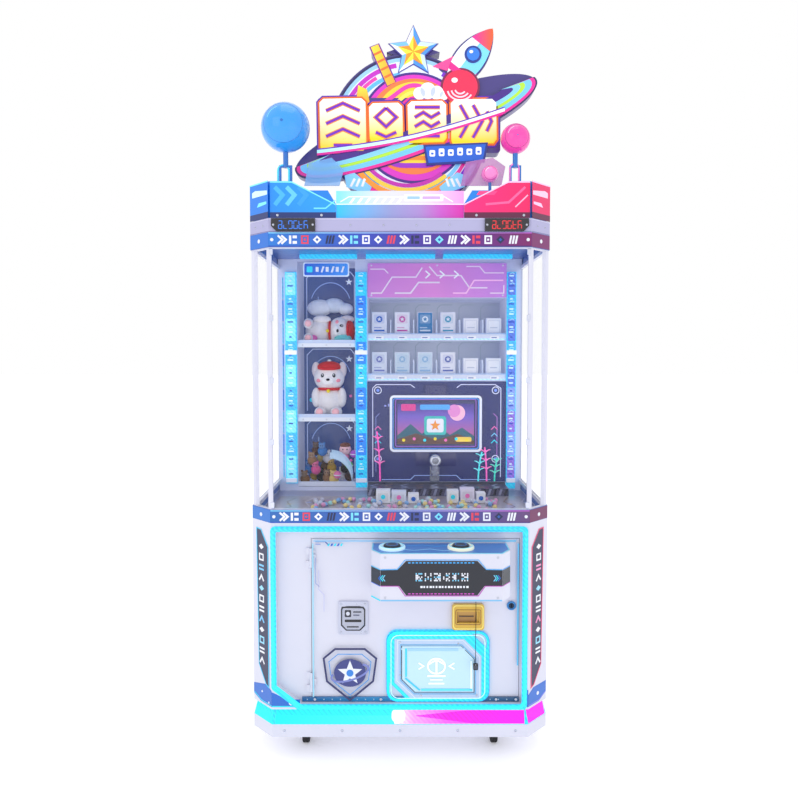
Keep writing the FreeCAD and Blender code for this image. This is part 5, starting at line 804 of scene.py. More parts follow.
# ---------- blue bands and crown ----------
def band(name, z0, z1, stops, side_left, side_right, glyph_z, material=PRINTED):
    """A printed band round the front with a row of small generic blocks and chevrons, and a screw on each chamfer."""
    F = front(FRONT_Y)
    parts = [bar(np.linspace(-398.6, 398.6, 50), z0 + 1, z1 - 1, -0.5, 0.6, F, fade(stops)),
             bar(np.linspace(0.5, CHAMFER, 6), z0 + 1, z1 - 1, -0.5, 0.6, LEFT_FACE, side_left), bar(np.linspace(0.1, CHAMFER - 0.6, 6), z0 + 1, z1 - 1, -0.5, 0.6, RIGHT_FACE, side_right),
             bar(np.linspace(-398.6, 398.6, 30), z1 - 4.5, z1 - 1.2, 0.5, 1.2, F, fade([(-399, rgb(120, 210, 250)), (0, rgb(150, 170, 230)), (399, rgb(190, 90, 200))])),
             bar(np.linspace(-398.6, 398.6, 30), z0 + 1.2, z0 + 4, 0.5, 1.2, F, fade([(-399, rgb(20, 80, 190)), (399, rgb(80, 20, 110))]))]
    h = 12.5
    tones = [rgb(238, 240, 252), rgb(238, 240, 252), rgb(226, 60, 90), rgb(238, 240, 252), rgb(16, 30, 80), rgb(236, 238, 250), rgb(120, 220, 250)]
    for k, x in enumerate(np.arange(-362, 360, 37.0)):
        c = tones[k % 7]
        form = k % 5
        if form == 0:
            parts.append(line([(x - 8, glyph_z + h), (x + 6, glyph_z), (x - 8, glyph_z - h)], 6, 0.5, 1.2, F, c))
            parts.append(line([(x + 3, glyph_z + h), (x + 17, glyph_z), (x + 3, glyph_z - h)], 6, 0.5, 1.2, F, c))
        elif form == 1:
            parts += [slab(box2(x - 11, x - 4, glyph_z - h, glyph_z + h), 0.5, 1.2, F, c, 0.2), slab(box2(x, x + 13, glyph_z + 4, glyph_z + h), 0.5, 1.2, F, c, 0.2), slab(box2(x, x + 13, glyph_z - h, glyph_z - 4), 0.5, 1.2, F, c, 0.2)]
        elif form == 2:
            parts += [line([(x - 9, glyph_z - h + 2), (x - 9, glyph_z + h - 2), (x + 9, glyph_z + h - 2), (x + 9, glyph_z - h + 2)], 5, 0.5, 1.2, F, c, closed=True), slab(box2(x - 3, x + 3, glyph_z - 3, glyph_z + 3), 0.5, 1.2, F, c, 0.2)]
        elif form == 3:
            parts.append(slab([(x - 13, glyph_z), (x, glyph_z + h), (x + 13, glyph_z), (x, glyph_z - h)], 0.5, 1.2, F, c, 0.3))
            parts.append(slab([(x - 5, glyph_z), (x, glyph_z + 5), (x + 5, glyph_z), (x, glyph_z - 5)], 1.1, 1.6, F, rgb(30, 90, 180), 0.2))
        else:
            parts += [slab([(x - 12 + 9 * q, glyph_z - h), (x - 6 + 9 * q, glyph_z - h), (x - 1 + 9 * q, glyph_z + h), (x - 7 + 9 * q, glyph_z + h)], 0.5, 1.2, F, c, 0.2) for q in range(3)]
    for pl in (LEFT_FACE, RIGHT_FACE):
        o, u, v, n = pl
        parts.append(lathe([(6, 0.2), (6, 1.6), (4.5, 2.6), (0.3, 2.9)], o + CHAMFER / 2 * u + glyph_z * v, n, rgb(236, 240, 252), 24))
    for x in (-388, 388):
        parts.append(lathe([(5, 0.2), (5, 1.6), (3.8, 2.4), (0.3, 2.7)], (x, FRONT_Y, glyph_z), (0, -1, 0), rgb(236, 240, 252), 20))
    return piece(name, parts, material)


band("waist_print", WAIST_Z, SILL_Z, [(-399, rgb(31, 102, 181)), (-100, rgb(40, 84, 175)), (200, rgb(70, 70, 150)), (399, rgb(98, 62, 118))], rgb(4, 110, 203), rgb(105, 9, 82), 770)
band("head_print", HEAD_Z, HEADER_Z, [(-399, rgb(25, 120, 213)), (-120, rgb(40, 70, 185)), (160, rgb(80, 30, 140)), (399, rgb(122, 4, 96))], rgb(16, 112, 214), rgb(118, 6, 100), 1616)


def header_art():
    """Seven-segment digits on the two black windows, screws at their ends and thin seams across the header."""
    F = front(FRONT_Y)
    parts, lit, metal = [], [], []
    lo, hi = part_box("header_displays")
    y = lo.y / MM
    W = front(y)
    z0, z1 = lo.z / MM, hi.z / MM
    mid, h = (z0 + z1) / 2, (z1 - z0) * 0.3
    co = np.array([v.co[0] for v in NODES["header_displays"].data.vertices]) / MM
    left, right = co[co < 0], co[co > 0]
    for xs, c, dim in ((left, rgb(50, 120, 230), rgb(22, 34, 80)), (right, rgb(230, 40, 50), rgb(80, 18, 30))):
        a, b = xs.min() + 16, xs.max() - 16
        for k in range(6):
            x = a + 12 + k * (b - a - 24) / 5
            segs = [(x - 5, x + 5, mid + h - 1.5, mid + h + 1), (x - 5, x + 5, mid - 1.2, mid + 1.2), (x - 5, x + 5, mid - h - 1, mid - h + 1.5),
                    (x - 6.5, x - 4, mid + 1, mid + h), (x + 4, x + 6.5, mid + 1, mid + h), (x - 6.5, x - 4, mid - h, mid - 1), (x + 4, x + 6.5, mid - h, mid - 1)]
            on = (0b1110111, 0b0100100, 0b1011101, 0b1101101, 0b0101110, 0b1101011)[k]
            for q, sg in enumerate(segs):
                lit.append(slab(box2(*sg), -0.1, 0.5, W, c if on >> q & 1 else dim, 0.1))
        for x in (xs.min() + 7, xs.max() - 7):
            metal += screw(x, mid, W, 3.6)
    for x in np.linspace(-150, 150, 4):
        metal += screw(x, 1660, F, 3)
    for pl in (LEFT_FACE, RIGHT_FACE):
        metal += screw(30, 1660, pl, 3) + screw(70, 1660, pl, 3)
    parts += [bar(np.linspace(-398, 398, 12), HEADER_Z + 1, HEADER_Z + 3, -0.2, 0.5, F, rgb(120, 120, 170)), bar(np.linspace(-398, 398, 12), ROOF_Z - 4, ROOF_Z - 2, -0.2, 0.5, F, rgb(210, 210, 236))]
    for pl in (LEFT_FACE, RIGHT_FACE):
        parts += [bar([1, CHAMFER - 1], ROOF_Z - 4, ROOF_Z - 2, -0.2, 0.5, pl, rgb(210, 210, 236)), bar([1, CHAMFER - 1], HEADER_Z + 1, HEADER_Z + 3, -0.2, 0.5, pl, rgb(120, 120, 170))]
    piece("header_seams", parts, PAINTED)
    piece("header_digits", lit, LIT_ART)
    piece("header_screws", metal, SHINY)


header_art()


def crown_front():
    """The printed faces of the crown: its outline is read off the CAD faces that look forward, in bands of height."""
    co = np.array([v.co for v in NODES["crown_wings"].data.vertices]) / MM
    ymin = co[:, 1].min()
    F = front(ymin)
    left = [(-398, 1683), (-160, 1683), (-160, 1790), (-168, 1792), (-398, 1792)]
    face = co[np.abs(co[:, 1] - ymin) < 0.5]
    parts = []
    for side, tone, edge, pale in ((-1, rgb(4, 133, 226), rgb(120, 225, 250), rgb(200, 230, 250)), (1, rgb(230, 1, 93), rgb(255, 190, 225), rgb(250, 190, 215))):
        mine = face[face[:, 0] * side > 0]
        inner = side * np.abs(mine[:, 0]).min()
        outer = side * np.abs(mine[:, 0]).max()
        top = co[co[:, 0] * side > 0][:, 2].max()
        # the cut corner: the top edge starts further out than the foot
        tops = mine[mine[:, 2] > top - 1.0]
        tin = side * np.abs(tops[:, 0]).min() if len(tops) else inner
        xs = np.linspace(inner, outer, 16) if side > 0 else np.linspace(outer, inner, 16)
        high = np.interp(np.abs(xs), [abs(inner), max(abs(tin), abs(inner) + 1)], [CROWN_Z - 68 if abs(tin) > abs(inner) + 5 else top, top])
        parts.append(bar(xs, 1700, high - 1, -0.4, 0.7, F, fade([(-400, rgb(4, 133, 226)), (-150, rgb(20, 150, 236))] if side < 0 else [(150, rgb(225, 20, 120)), (400, rgb(230, 1, 93))])))
        parts.append(bar(xs, 1682, 1700, -0.4, 0.9, F, rgb(6, 40, 110) if side < 0 else rgb(92, 4, 60)))
        parts.append(bar(xs, high - 5, high - 1, 0.5, 1.5, F, edge))
        pl = LEFT_FACE if side < 0 else RIGHT_FACE
        parts.append(bar([1, CHAMFER - 0.5], 1700, top - 1, -0.4, 0.7, pl, rgb(2, 116, 216) if side < 0 else rgb(214, 2, 92)))
        parts.append(bar([1, CHAMFER - 0.5], 1682, 1700, -0.4, 0.9, pl, rgb(4, 34, 100) if side < 0 else rgb(86, 2, 58)))
        parts.append(bar([1, CHAMFER - 0.5], top - 5, top - 1, 0.5, 1.4, pl, edge))
        s = (lambda v: v) if side < 0 else (lambda v: CHAMFER - v)
        parts.append(slab([(s(14), 1752), (s(94), 1752), (s(94), 1764), (s(30), 1772), (s(14), 1768)], 0.5, 1.2, pl, pale, 0.2))
        parts.append(slab([(s(40), 1720), (s(90), 1724), (s(90), 1732), (s(50), 1732)], 0.5, 1.2, pl, edge, 0.2))
        if side < 0:
            for k, c in enumerate((rgb(60, 170, 240), rgb(90, 190, 245), rgb(40, 150, 235))):
                x = -380 + 36 * k
                parts.append(line([(x, 1776), (x + 24, 1752), (x, 1722)], 13, 0.5, 1.2, F, c))
            parts.append(line([(-262, 1712), (-226, 1712), (-196, 1736)], 4, 0.5, 1.2, F, rgb(110, 215, 250)))
        else:
            parts += [line([(380, 1776), (330, 1730), (260, 1724)], 7, 0.5, 1.2, F, rgb(255, 90, 150)), line([(388, 1752), (350, 1716)], 4, 0.5, 1.2, F, rgb(255, 170, 205)),
                      slab([(232, 1752), (286, 1752), (296, 1764), (240, 1764)], 0.5, 1.2, F, rgb(250, 60, 130), 0.2)]
    screws = []
    for x in (-372, -238, 232, 376):
        screws += screw(x, 1691, F, 4.6, 0.8)
    piece("crown_wing_print", parts, LIT_ART)
    piece("crown_screws", screws, SHINY)
    lo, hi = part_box("crown_centre")
    C = front(lo.y / MM)
    x0, x1, z0, z1 = lo.x / MM, hi.x / MM, lo.z / MM, hi.z / MM
    tall = z1 - z0
    body = fade([(x0, rgb(20, 185, 240)), (x0 + 60, rgb(90, 170, 225)), (-30, rgb(140, 146, 200)), (60, rgb(160, 130, 196)), (x1 - 70, rgb(190, 80, 190)), (x1, rgb(205, 20, 160))])
    topc = fade([(x0, rgb(120, 215, 245)), (-60, rgb(208, 212, 240)), (70, rgb(216, 206, 238)), (x1, rgb(240, 150, 215))])
    xs = np.linspace(x0 + 1, x1 - 1, 40)
    parts = [bar(xs, z0 + 1, z0 + tall * 0.52, -0.4, 0.6, C, body), bar(xs, z0 + tall * 0.52, z1 - 1, -0.4, 0.7, C, topc),
             bar(xs, z0 + tall * 0.5, z0 + tall * 0.53, 0.5, 1.3, C, rgb(236, 240, 252))]
    for k in range(7):
        x = x0 + 40 + k * 24
        parts.append(slab([(x, z0 + tall * 0.55), (x + 8, z0 + tall * 0.55), (x + 20, z0 + tall * 0.74), (x + 12, z0 + tall * 0.74)], 0.6, 1.2, C, rgb(246, 248, 255), 0.2))
    parts += [line([(x0 + 14, z0 + tall * 0.6), (x0 + 40, z0 + tall * 0.78), (x1 - 60, z0 + tall * 0.78), (x1 - 34, z0 + tall * 0.6)], 3, 0.6, 1.3, C, rgb(240, 243, 254)),
              slab(rounded(12, 132, z0 + tall * 0.62, z0 + tall * 0.86, 4), 0.4, 3.0, C, rgb(238, 240, 252), 0.8),
              slab(rounded(22, 60, z0 + tall * 0.69, z0 + tall * 0.79, 2), 3.0, 3.5, C, rgb(150, 190, 236), 0.2), slab(rounded(68, 122, z0 + tall * 0.69, z0 + tall * 0.79, 2), 3.0, 3.5, C, rgb(200, 160, 222), 0.2)]
    piece("crown_centre_print", parts, LIT_ART)


crown_front()


# ---------- sign ----------
def sign_art():
    """The sign as stacked printed layers on its dark case: a disc planet, tilted ring, word blocks, star and rocket."""
    lo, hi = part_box("sign_case")
    F0 = front(-265.4)
    W = front(-273.4)
    parts = []

    def add(out, a, b, c, pl=F0, bevel=0.6):
        parts.append(slab(out, a, b, pl, c, bevel))

    # planet: backing disc, pale band, magenta arcs, blue zones and the swirl
    cx, cz = 26, 1969
    add(oval(cx, cz, 245, n=72), -0.4, 1.6, rgb(26, 20, 84))
    add(oval(cx, cz, 238, n=72), 1.5, 2.6, rgb(150, 200, 244))
    add(oval(cx, cz, 226, n=72), 2.5, 3.4, rgb(226, 236, 252))
    for r, w, a0, a1, c in ((215, 14, 100, 262, rgb(190, 30, 190)), (215, 14, -80, 60, rgb(120, 30, 200)), (200, 11, 120, 250, rgb(244, 60, 170)), (200, 11, -60, 40, rgb(236, 20, 150)),
                            (186, 12, 98, 240, rgb(90, 180, 240)), (186, 12, -70, 70, rgb(120, 200, 246))):
        parts.append(line(arc(cx, cz, r, r, a0, a1, 46), w, 3.2, 4.4, F0, c))
    px, pz = 45, 1986
    add(oval(px, pz, 174, n=72), 3.3, 4.8, rgb(60, 20, 130))
    add(oval(px, pz, 166, n=72), 4.7, 5.8, rgb(214, 40, 190))
    add(oval(px, pz + 4, 150, n=64), 5.7, 6.6, rgb(244, 120, 60))
    add(oval(px + 4, pz + 12, 132, n=64), 6.5, 7.2, rgb(250, 205, 50))
    for k, (r, a0, a1, c, w) in enumerate(((118, 20, 170, rgb(236, 50, 170), 13), (96, 50, 220, rgb(252, 226, 90), 11), (78, -10, 160, rgb(225, 20, 150), 12), (56, 90, 300, rgb(250, 190, 40), 12), (132, 190, 330, rgb(150, 30, 190), 15), (108, 200, 320, rgb(240, 130, 40), 13))):
        a = np.radians(np.linspace(a0, a1, 50))
        rr = r + 6 * np.sin(5 * a)
        parts.append(line(np.stack([px + rr * np.cos(a), pz + 8 + rr * np.sin(a)], 1), w, 7.0, 8.2, F0, c))
    # foot of the planet: bands, light corners and white slashes
    for r, a0, a1, c, w in ((232, 212, 322, rgb(110, 20, 170), 20), (214, 215, 318, rgb(232, 16, 150), 16), (196, 218, 314, rgb(246, 150, 40), 16), (178, 220, 312, rgb(250, 205, 60), 12), (164, 222, 310, rgb(190, 30, 170), 12)):
        parts.append(line(arc(cx, cz, r, r, a0, a1, 44), w, 7.0, 8.4, F0, c))
    for x0, s in ((-170, 1), (205, -1)):
        add([(x0, 1800), (x0 + s * 70, 1776), (x0 + s * 80, 1800), (x0 + s * 24, 1846), (x0 - s * 6, 1836)], 7.5, 9.6, rgb(130, 205, 246))
        for k in range(3):
            add([(x0 + s * (10 + 18 * k), 1802), (x0 + s * (17 + 18 * k), 1800), (x0 + s * (30 + 16 * k), 1824), (x0 + s * (23 + 16 * k), 1828)], 9.5, 10.4, WHITE, bevel=0.2)
    # tilted ring in five lanes: back lanes are hidden by the planet, so only its outer crescents and front arc are drawn
    tilt = math.radians(20.5)
    rx, rz = 408, 90
    ox, oz = 50, 1991
    for (ka, kb), lift, c in (((1.0, 1.0), 9.0, rgb(40, 14, 90)), ((0.985, 0.95), 10.2, rgb(232, 24, 150)), ((0.955, 0.84), 11.2, rgb(112, 196, 244)), ((0.90, 0.66), 12.2, rgb(176, 226, 60)), ((0.86, 0.54), 13.2, rgb(130, 205, 246)), ((0.80, 0.36), 14.0, rgb(60, 20, 130))):
        outer = arc(ox, oz, rx * ka, rz * kb if ka < 1 else rz, 172, 368, 90, tilt)
        inner = arc(ox, oz + 10, rx * 0.70, rz * 0.16, 368, 172, 90, tilt)
        add(np.vstack([outer, inner]), 8.2, lift, c, bevel=0.3)
    # four plain arcade tiles: purple backing, orange side, a face from yellow up to white, and purple strokes
    strokes = {
        0: [[(0.14, 0.76), (0.5, 0.90), (0.86, 0.76)], [(0.14, 0.52), (0.5, 0.66), (0.86, 0.52)], [(0.14, 0.28), (0.5, 0.42), (0.86, 0.28)], [(0.3, 0.12), (0.7, 0.12)]],
        1: [[(0.5, 0.86), (0.8, 0.62), (0.5, 0.38), (0.2, 0.62), (0.5, 0.86)], [(0.2, 0.24), (0.5, 0.12), (0.8, 0.24)]],
        2: [[(0.18, 0.84), (0.82, 0.84)], [(0.18, 0.6), (0.4, 0.72), (0.6, 0.6), (0.82, 0.72)], [(0.18, 0.38), (0.4, 0.5), (0.6, 0.38), (0.82, 0.5)], [(0.18, 0.16), (0.82, 0.16)]],
        3: [[(0.2, 0.86), (0.4, 0.5), (0.2, 0.14)], [(0.48, 0.86), (0.68, 0.5), (0.48, 0.14)], [(0.78, 0.72), (0.88, 0.5), (0.78, 0.28)]],
    }
    for k, (x0, x1, z0, z1) in enumerate(((-254, -106, 1909, 2076), (-98, 10, 1940, 2062), (24, 148, 1936, 2068), (160, 306, 1932, 2074))):
        w, h, mz = x1 - x0, z1 - z0, (z0 + z1) / 2
        out = np.array([(x0 + 6, z0), (x1 - 10, z0 + 3), (x1, z0 + 16), (x1 - 3, z1 - 12), (x1 - 16, z1), (x0 + 12, z1 - 2), (x0, z1 - 14), (x0 + 2, z0 + 12)], float)
        face = fade([(z0, rgb(255, 210, 0)), (mz - h * 0.06, rgb(255, 232, 30)), (mz + h * 0.10, rgb(255, 248, 160)), (z1 - h * 0.2, rgb(252, 252, 250)), (z1, rgb(255, 255, 255))], 2)
        add(inset(out, -11), -0.4, 2.0, rgb(86, 14, 170), W, 0.5)
        add(inset(out, -6), 1.9, 4.2, rgb(226, 100, 16), W, 0.6)
        add(out, 4.1, 7.4, face, W, 1.6)
        for path in strokes[k]:
            p = np.array(path) * [w, h] + [x0, z0]
            parts.append(line(p, 13, 7.2, 8.2, W, rgb(236, 130, 20)))
            parts.append(line(p, 7.5, 8.1, 8.9, W, rgb(110, 20, 190)))
    # narrow pale band with a magenta edge crossing the blocks
    xs = np.linspace(-262, 330, 50)
    mid = 1975 + (xs - 30) * 0.22 - 22 * np.cos((xs - 30) / 200)
    parts += [bar(xs, mid - 12, mid - 5, 8.0, 9.4, W, rgb(222, 20, 150)), bar(xs, mid - 5, mid + 5, 8.0, 9.9, W, fade([(-262, rgb(180, 240, 252)), (330, rgb(244, 250, 255))])), bar(xs, mid + 5, mid + 9, 8.0, 9.4, W, rgb(90, 20, 180))]
    # blue plate with rounded squares
    add([(74, 1930), (278, 1938), (268, 1876), (84, 1866)], -0.3, 9.0, rgb(16, 40, 130), W, 1.0)
    add([(80, 1924), (271, 1932), (262, 1882), (90, 1873)], 8.9, 10.0, rgb(20, 92, 205), W, 0.4)
    for k, x in enumerate(np.linspace(102, 248, 6)):
        z = 1896 + (x - 80) * 0.04
        add(rounded(x - 9, x + 9, z - 4, z + 16 + (k % 2) * 4, 4), 9.9, 11.0, WHITE, W, 0.4)
        add(rounded(x - 4, x + 4, z + 2, z + 8, 2), 10.9, 11.4, rgb(20, 92, 205), W, 0.1)
    # star
    sx, sz = 42, 2225
    S = F0
    add(star(sx, sz - 2, 84, 40), -0.4, 6.0, rgb(70, 60, 150), S, 1.0)
    body = star(sx, sz - 2, 78, 37)
    for k in range(10):
        a, b = body[k], body[(k + 1) % 10]
        add([(sx, sz - 2), tuple(a), tuple(b)], 5.9, 9.0, (WHITE, rgb(120, 190, 246))[k % 2] if k < 5 else (rgb(200, 226, 252), rgb(70, 150, 236))[k % 2], S, 0.3)
    inner = star(sx, sz - 4, 50, 23)
    for k in range(10):
        a, b = inner[k], inner[(k + 1) % 10]
        add([(sx, sz - 4), tuple(a), tuple(b)], 8.8, 12.0, (rgb(255, 236, 60), rgb(240, 150, 30))[k % 2], S, 0.3)
    # stick
    add([(-97, 2238), (-66, 2250), (-10, 2128), (-42, 2112)], -0.4, 6.0, rgb(120, 40, 150), S, 1.0)
    add([(-92, 2236), (-69, 2245), (-15, 2128), (-40, 2117)], 5.9, 8.6, fade([(-92, rgb(252, 220, 60)), (-20, rgb(244, 160, 40))]), S, 0.8)
    for q in np.linspace(0.2, 0.8, 4):
        x, z = -80 + q * 54, 2241 - q * 118
        add([(x - 11, z - 8), (x + 12, z + 3), (x + 9, z + 9), (x - 14, z - 2)], 8.5, 9.2, rgb(236, 110, 40), S, 0.2)
    # rocket
    nose, tail = np.array([292.0, 2293]), np.array([168.0, 2133])
    d = (nose - tail) / np.linalg.norm(nose - tail)
    s = np.array([d[1], -d[0]])
    L = float(np.linalg.norm(nose - tail))
    t = np.linspace(0, 1, 24)
    half = 46 * np.sin(np.pi * (0.16 + 0.84 * t)) ** 0.75 * np.where(t > 0.98, 0.4, 1)

    def hull(k0, k1, t0=0.0, t1=1.0):
        tt = np.linspace(t0, t1, 20)
        hh = np.interp(tt, t, half)
        axis = tail[None] + tt[:, None] * L * d[None]
        return np.vstack([axis + s * hh[:, None] * k0, (axis + s * hh[:, None] * k1)[::-1]])
    add(hull(1.12, -1.12), -0.3, 7.0, rgb(50, 40, 120), S, 1.0)
    add(hull(1.0, -0.15), 6.9, 9.6, rgb(120, 212, 246), S, 0.8)
    add(hull(-0.15, -1.0), 6.9, 9.6, rgb(240, 246, 254), S, 0.8)
    add(hull(1.0, -1.0, 0.70, 0.995), 9.5, 11.4, fade([(230, rgb(225, 20, 150)), (290, rgb(245, 90, 30))]), S, 0.8)
    add(hull(1.0, -1.0, 0.10, 0.20), 9.5, 11.0, rgb(225, 20, 140), S, 0.5)
    win = tail + d * L * 0.50
    add(oval(*win, 27, n=32), 9.4, 12.0, rgb(20, 50, 140), S, 0.8)
    add(oval(*win, 20, n=32), 11.9, 13.4, rgb(40, 120, 225), S, 0.6)
    add(oval(win[0] - 6, win[1] + 7, 6, 5, 16), 13.3, 14.0, WHITE, S, 0.2)
    for sg in (1, -1):
        root = tail + d * L * 0.06 + s * 34 * sg
        add([tuple(root), tuple(root + d * 60 + s * 6 * sg), tuple(root + s * 44 * sg - d * 16)], 3.0, 8.4, rgb(225, 20, 130) if sg > 0 else rgb(246, 70, 150), S, 0.8)
    # bulb and cloud
    bx, bz = 190, 2112
    add(oval(bx, bz, 62, 60, 40), 6.0, 10.5, rgb(120, 10, 70), S, 1.0)
    add(oval(bx, bz, 55, 53, 40), 10.4, 13.0, rgb(232, 30, 80), S, 1.6)
    for k in range(3):
        parts.append(line(arc(bx, bz - 8, 40 - 12 * k, 34 - 10 * k, 190, 330, 18), 5, 12.8, 13.8, S, rgb(252, 210, 224)))
    add(oval(bx - 18, bz + 20, 10, 8, 18), 12.8, 13.8, WHITE, S, 0.3)
    for x, z, r in ((62, 2092, 20), (88, 2100, 26), (116, 2094, 22), (138, 2086, 15)):
        add(oval(x, z, r, n=24), 8.0, 12.6, rgb(240, 244, 254), S, 2.0)
    # leaf at the left of the words
    add([(-132, 2118), (-104, 2104), (-96, 2066), (-118, 2046), (-138, 2072)], 6.0, 11.0, fade([(2046, rgb(240, 120, 30)), (2118, rgb(254, 226, 60))], 2), S, 1.4)
    piece("sign_layers", parts, SIGN_ART)
    # back of the sign: stiffening ribs, cable cover and screws
    B = plane((0, hi.y / MM, 0), (-1, 0, 0), (0, 0, 1))
    rear = []
    for x0, x1, z0, z1 in ((-200, 160, 1958, 1972), (-20, 20, 1830, 2120)):
        rear.append(slab(rounded(-x1, -x0, z0, z1, 3), -0.3, 8, B, rgb(90, 84, 150), 1.0))
    rear += [slab(rounded(-96, 4, 1990, 2060, 6), -0.3, 22, B, rgb(60, 60, 80), 2.0)]
    for a in range(8):
        rear += screw(-26 + 215 * math.cos(a * math.pi / 4 + 0.3), 1969 + 150 * math.sin(a * math.pi / 4 + 0.3), B, 5, 0)
    piece("sign_back_ribs", rear, PAINTED)


sign_art()


def globe_art():
    """Dished discs on the globes: a rim ring and a darker inner dish, a highlight arc, and small acrylic arches."""
    lo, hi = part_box("globes")
    dish, arcs, clear = [], [], []
    for x, y, z, r, rim, inner, painted_highlight in ((-353, -332, 1967, 74, rgb(40, 150, 235), rgb(6, 78, 178), rgb(120, 205, 250)), (356, -332, 1933, 45, rgb(236, 60, 165), rgb(160, 12, 116), rgb(255, 190, 225)),
                                        (278, -332, 1825, 26, rgb(245, 130, 200), rgb(205, 40, 150), rgb(255, 220, 240)), (-235, -235, 2066, 29, rgb(60, 150, 240), rgb(16, 80, 190), rgb(190, 225, 252))):
        shell = [(r * math.cos(b), r * math.sin(b)) for b in np.radians(np.linspace(-88, 80, 22))]
        dish.append(lathe([(a * 1.012 if a > 1 else 0.5, h * 1.012) for a, h in shell], (x, y, z), (0, -1, 0), rim, 48))
        k = r * 0.80
        f = math.sqrt(r * r - k * k) * 1.012
        dish.append(lathe([(k, f - 0.4), (k, f + 1.6), (k * 0.97, f + 2.0), (k * 0.9, f + 1.2), (k * 0.6, f + 3.0 + r * 0.14), (k * 0.3, f + r * 0.22), (0.4, f + r * 0.235)], (x, y, z), (0, -1, 0), inner, 48))
        # A pale arc on each dish is a painted highlight.
        dish.append(line(arc(x, z, r * 0.62, r * 0.62, 110, 165, 14), r * 0.07, f + r * 0.1, f + r * 0.16 + 1.6, front(y), painted_highlight))
    piece("globe_shells", dish, finish("globe_gloss", rough=0.2, coat=0.7, glow=0.12, mottle=0.05))
    for x, z0, z1, w, c in ((-360, 1797, 1853, 17, rgb(70, 215, 250)), (354, 1797, 1856, 14, rgb(250, 120, 200))):
        a = np.linspace(0, np.pi, 16)
        path = np.vstack([[(x - w, -332, z0)], np.stack([x - w * np.cos(a), np.full(16, -332.0), z1 - w + w * np.sin(a)], 1), [(x + w, -332, z0)]])
        arcs.append(tube(path, 3.2, c, up=(0, 1, 0), sides=10))
    piece("globe_arches", arcs, LIT_ART)
    for pts, c in (([(190, 1797), (318, 1797), (330, 1856), (290, 1884), (206, 1870)], rgb(190, 120, 190)), ([(-300, 1797), (-190, 1797), (-176, 1846), (-214, 1884), (-286, 1866)], rgb(120, 180, 236))):
        clear.append(slab(pts, 0, 5, front(-300), c, 0.8))
    piece("crown_acrylic_plates", clear, TINTED)


globe_art()


# ---------- playing bay ----------
def columns():
    """Four lit columns of cyan and blue segments with small blocks, and pale covers across the three wide ones at their
    foot and higher up.
    """
    parts, lit = [], []
    front_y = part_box("light_bars")[0].y
    y = 130.4
    F = front(y)
    for x0, x1, z0, z1, tones in ((-446, -438, 800, 1560, (rgb(90, 190, 245), rgb(50, 140, 235))), (-433, -393, 797, 1578, (rgb(127, 226, 245), rgb(60, 180, 240))),
                                  (-167, -127, 797, 1578, (rgb(25, 198, 243), rgb(20, 130, 235))), (406, 438, 797, 1578, (rgb(79, 114, 211), rgb(60, 170, 240)))):
        n = 9
        edges = np.linspace(z0, z1, n + 1)
        for k in range(n):
            c = tones[k % 2]
            if x0 > 300 and k < 4:
                c = c * 0.7 + rgb(200, 70, 200) * 0.3
            lit.append(slab(rounded(x0 + 1.5, x1 - 1.5, edges[k] + 1.2, edges[k + 1] - 1.2, 3, 3), -0.2, 1.6, F, c, 0.6))
            mx = (x0 + x1) / 2
            if x1 - x0 > 20:
                for q in range(4):
                    z = edges[k] + 14 + q * 19
                    w = (9, 12, 6, 10)[(q + k) % 4]
                    parts.append(slab(box2(mx - w, mx + w - 3, z, z + 5), 1.5, 2.2, F, rgb(210, 245, 255) if (q + k) % 3 else rgb(20, 70, 190), 0.2))
                    if (q + k) % 2:
                        parts.append(line([(mx - 8, z + 9), (mx + 2, z + 14), (mx + 10, z + 9)], 2.4, 1.5, 2.1, F, rgb(170, 235, 255)))
        if x1 - x0 > 20:
            parts.append(slab(rounded(x0 - 3, x1 + 3, 1268, 1284, 3), -0.2, 6, F, rgb(240, 244, 255), 1.2))
            parts.append(slab(rounded(x0 - 1, x1 + 1, 781, 797, 3), -0.2, 6, F, rgb(220, 226, 245), 1.2))
    piece("column_covers", lit, LIT)
    piece("column_marks", parts, LIT_ART)


columns()


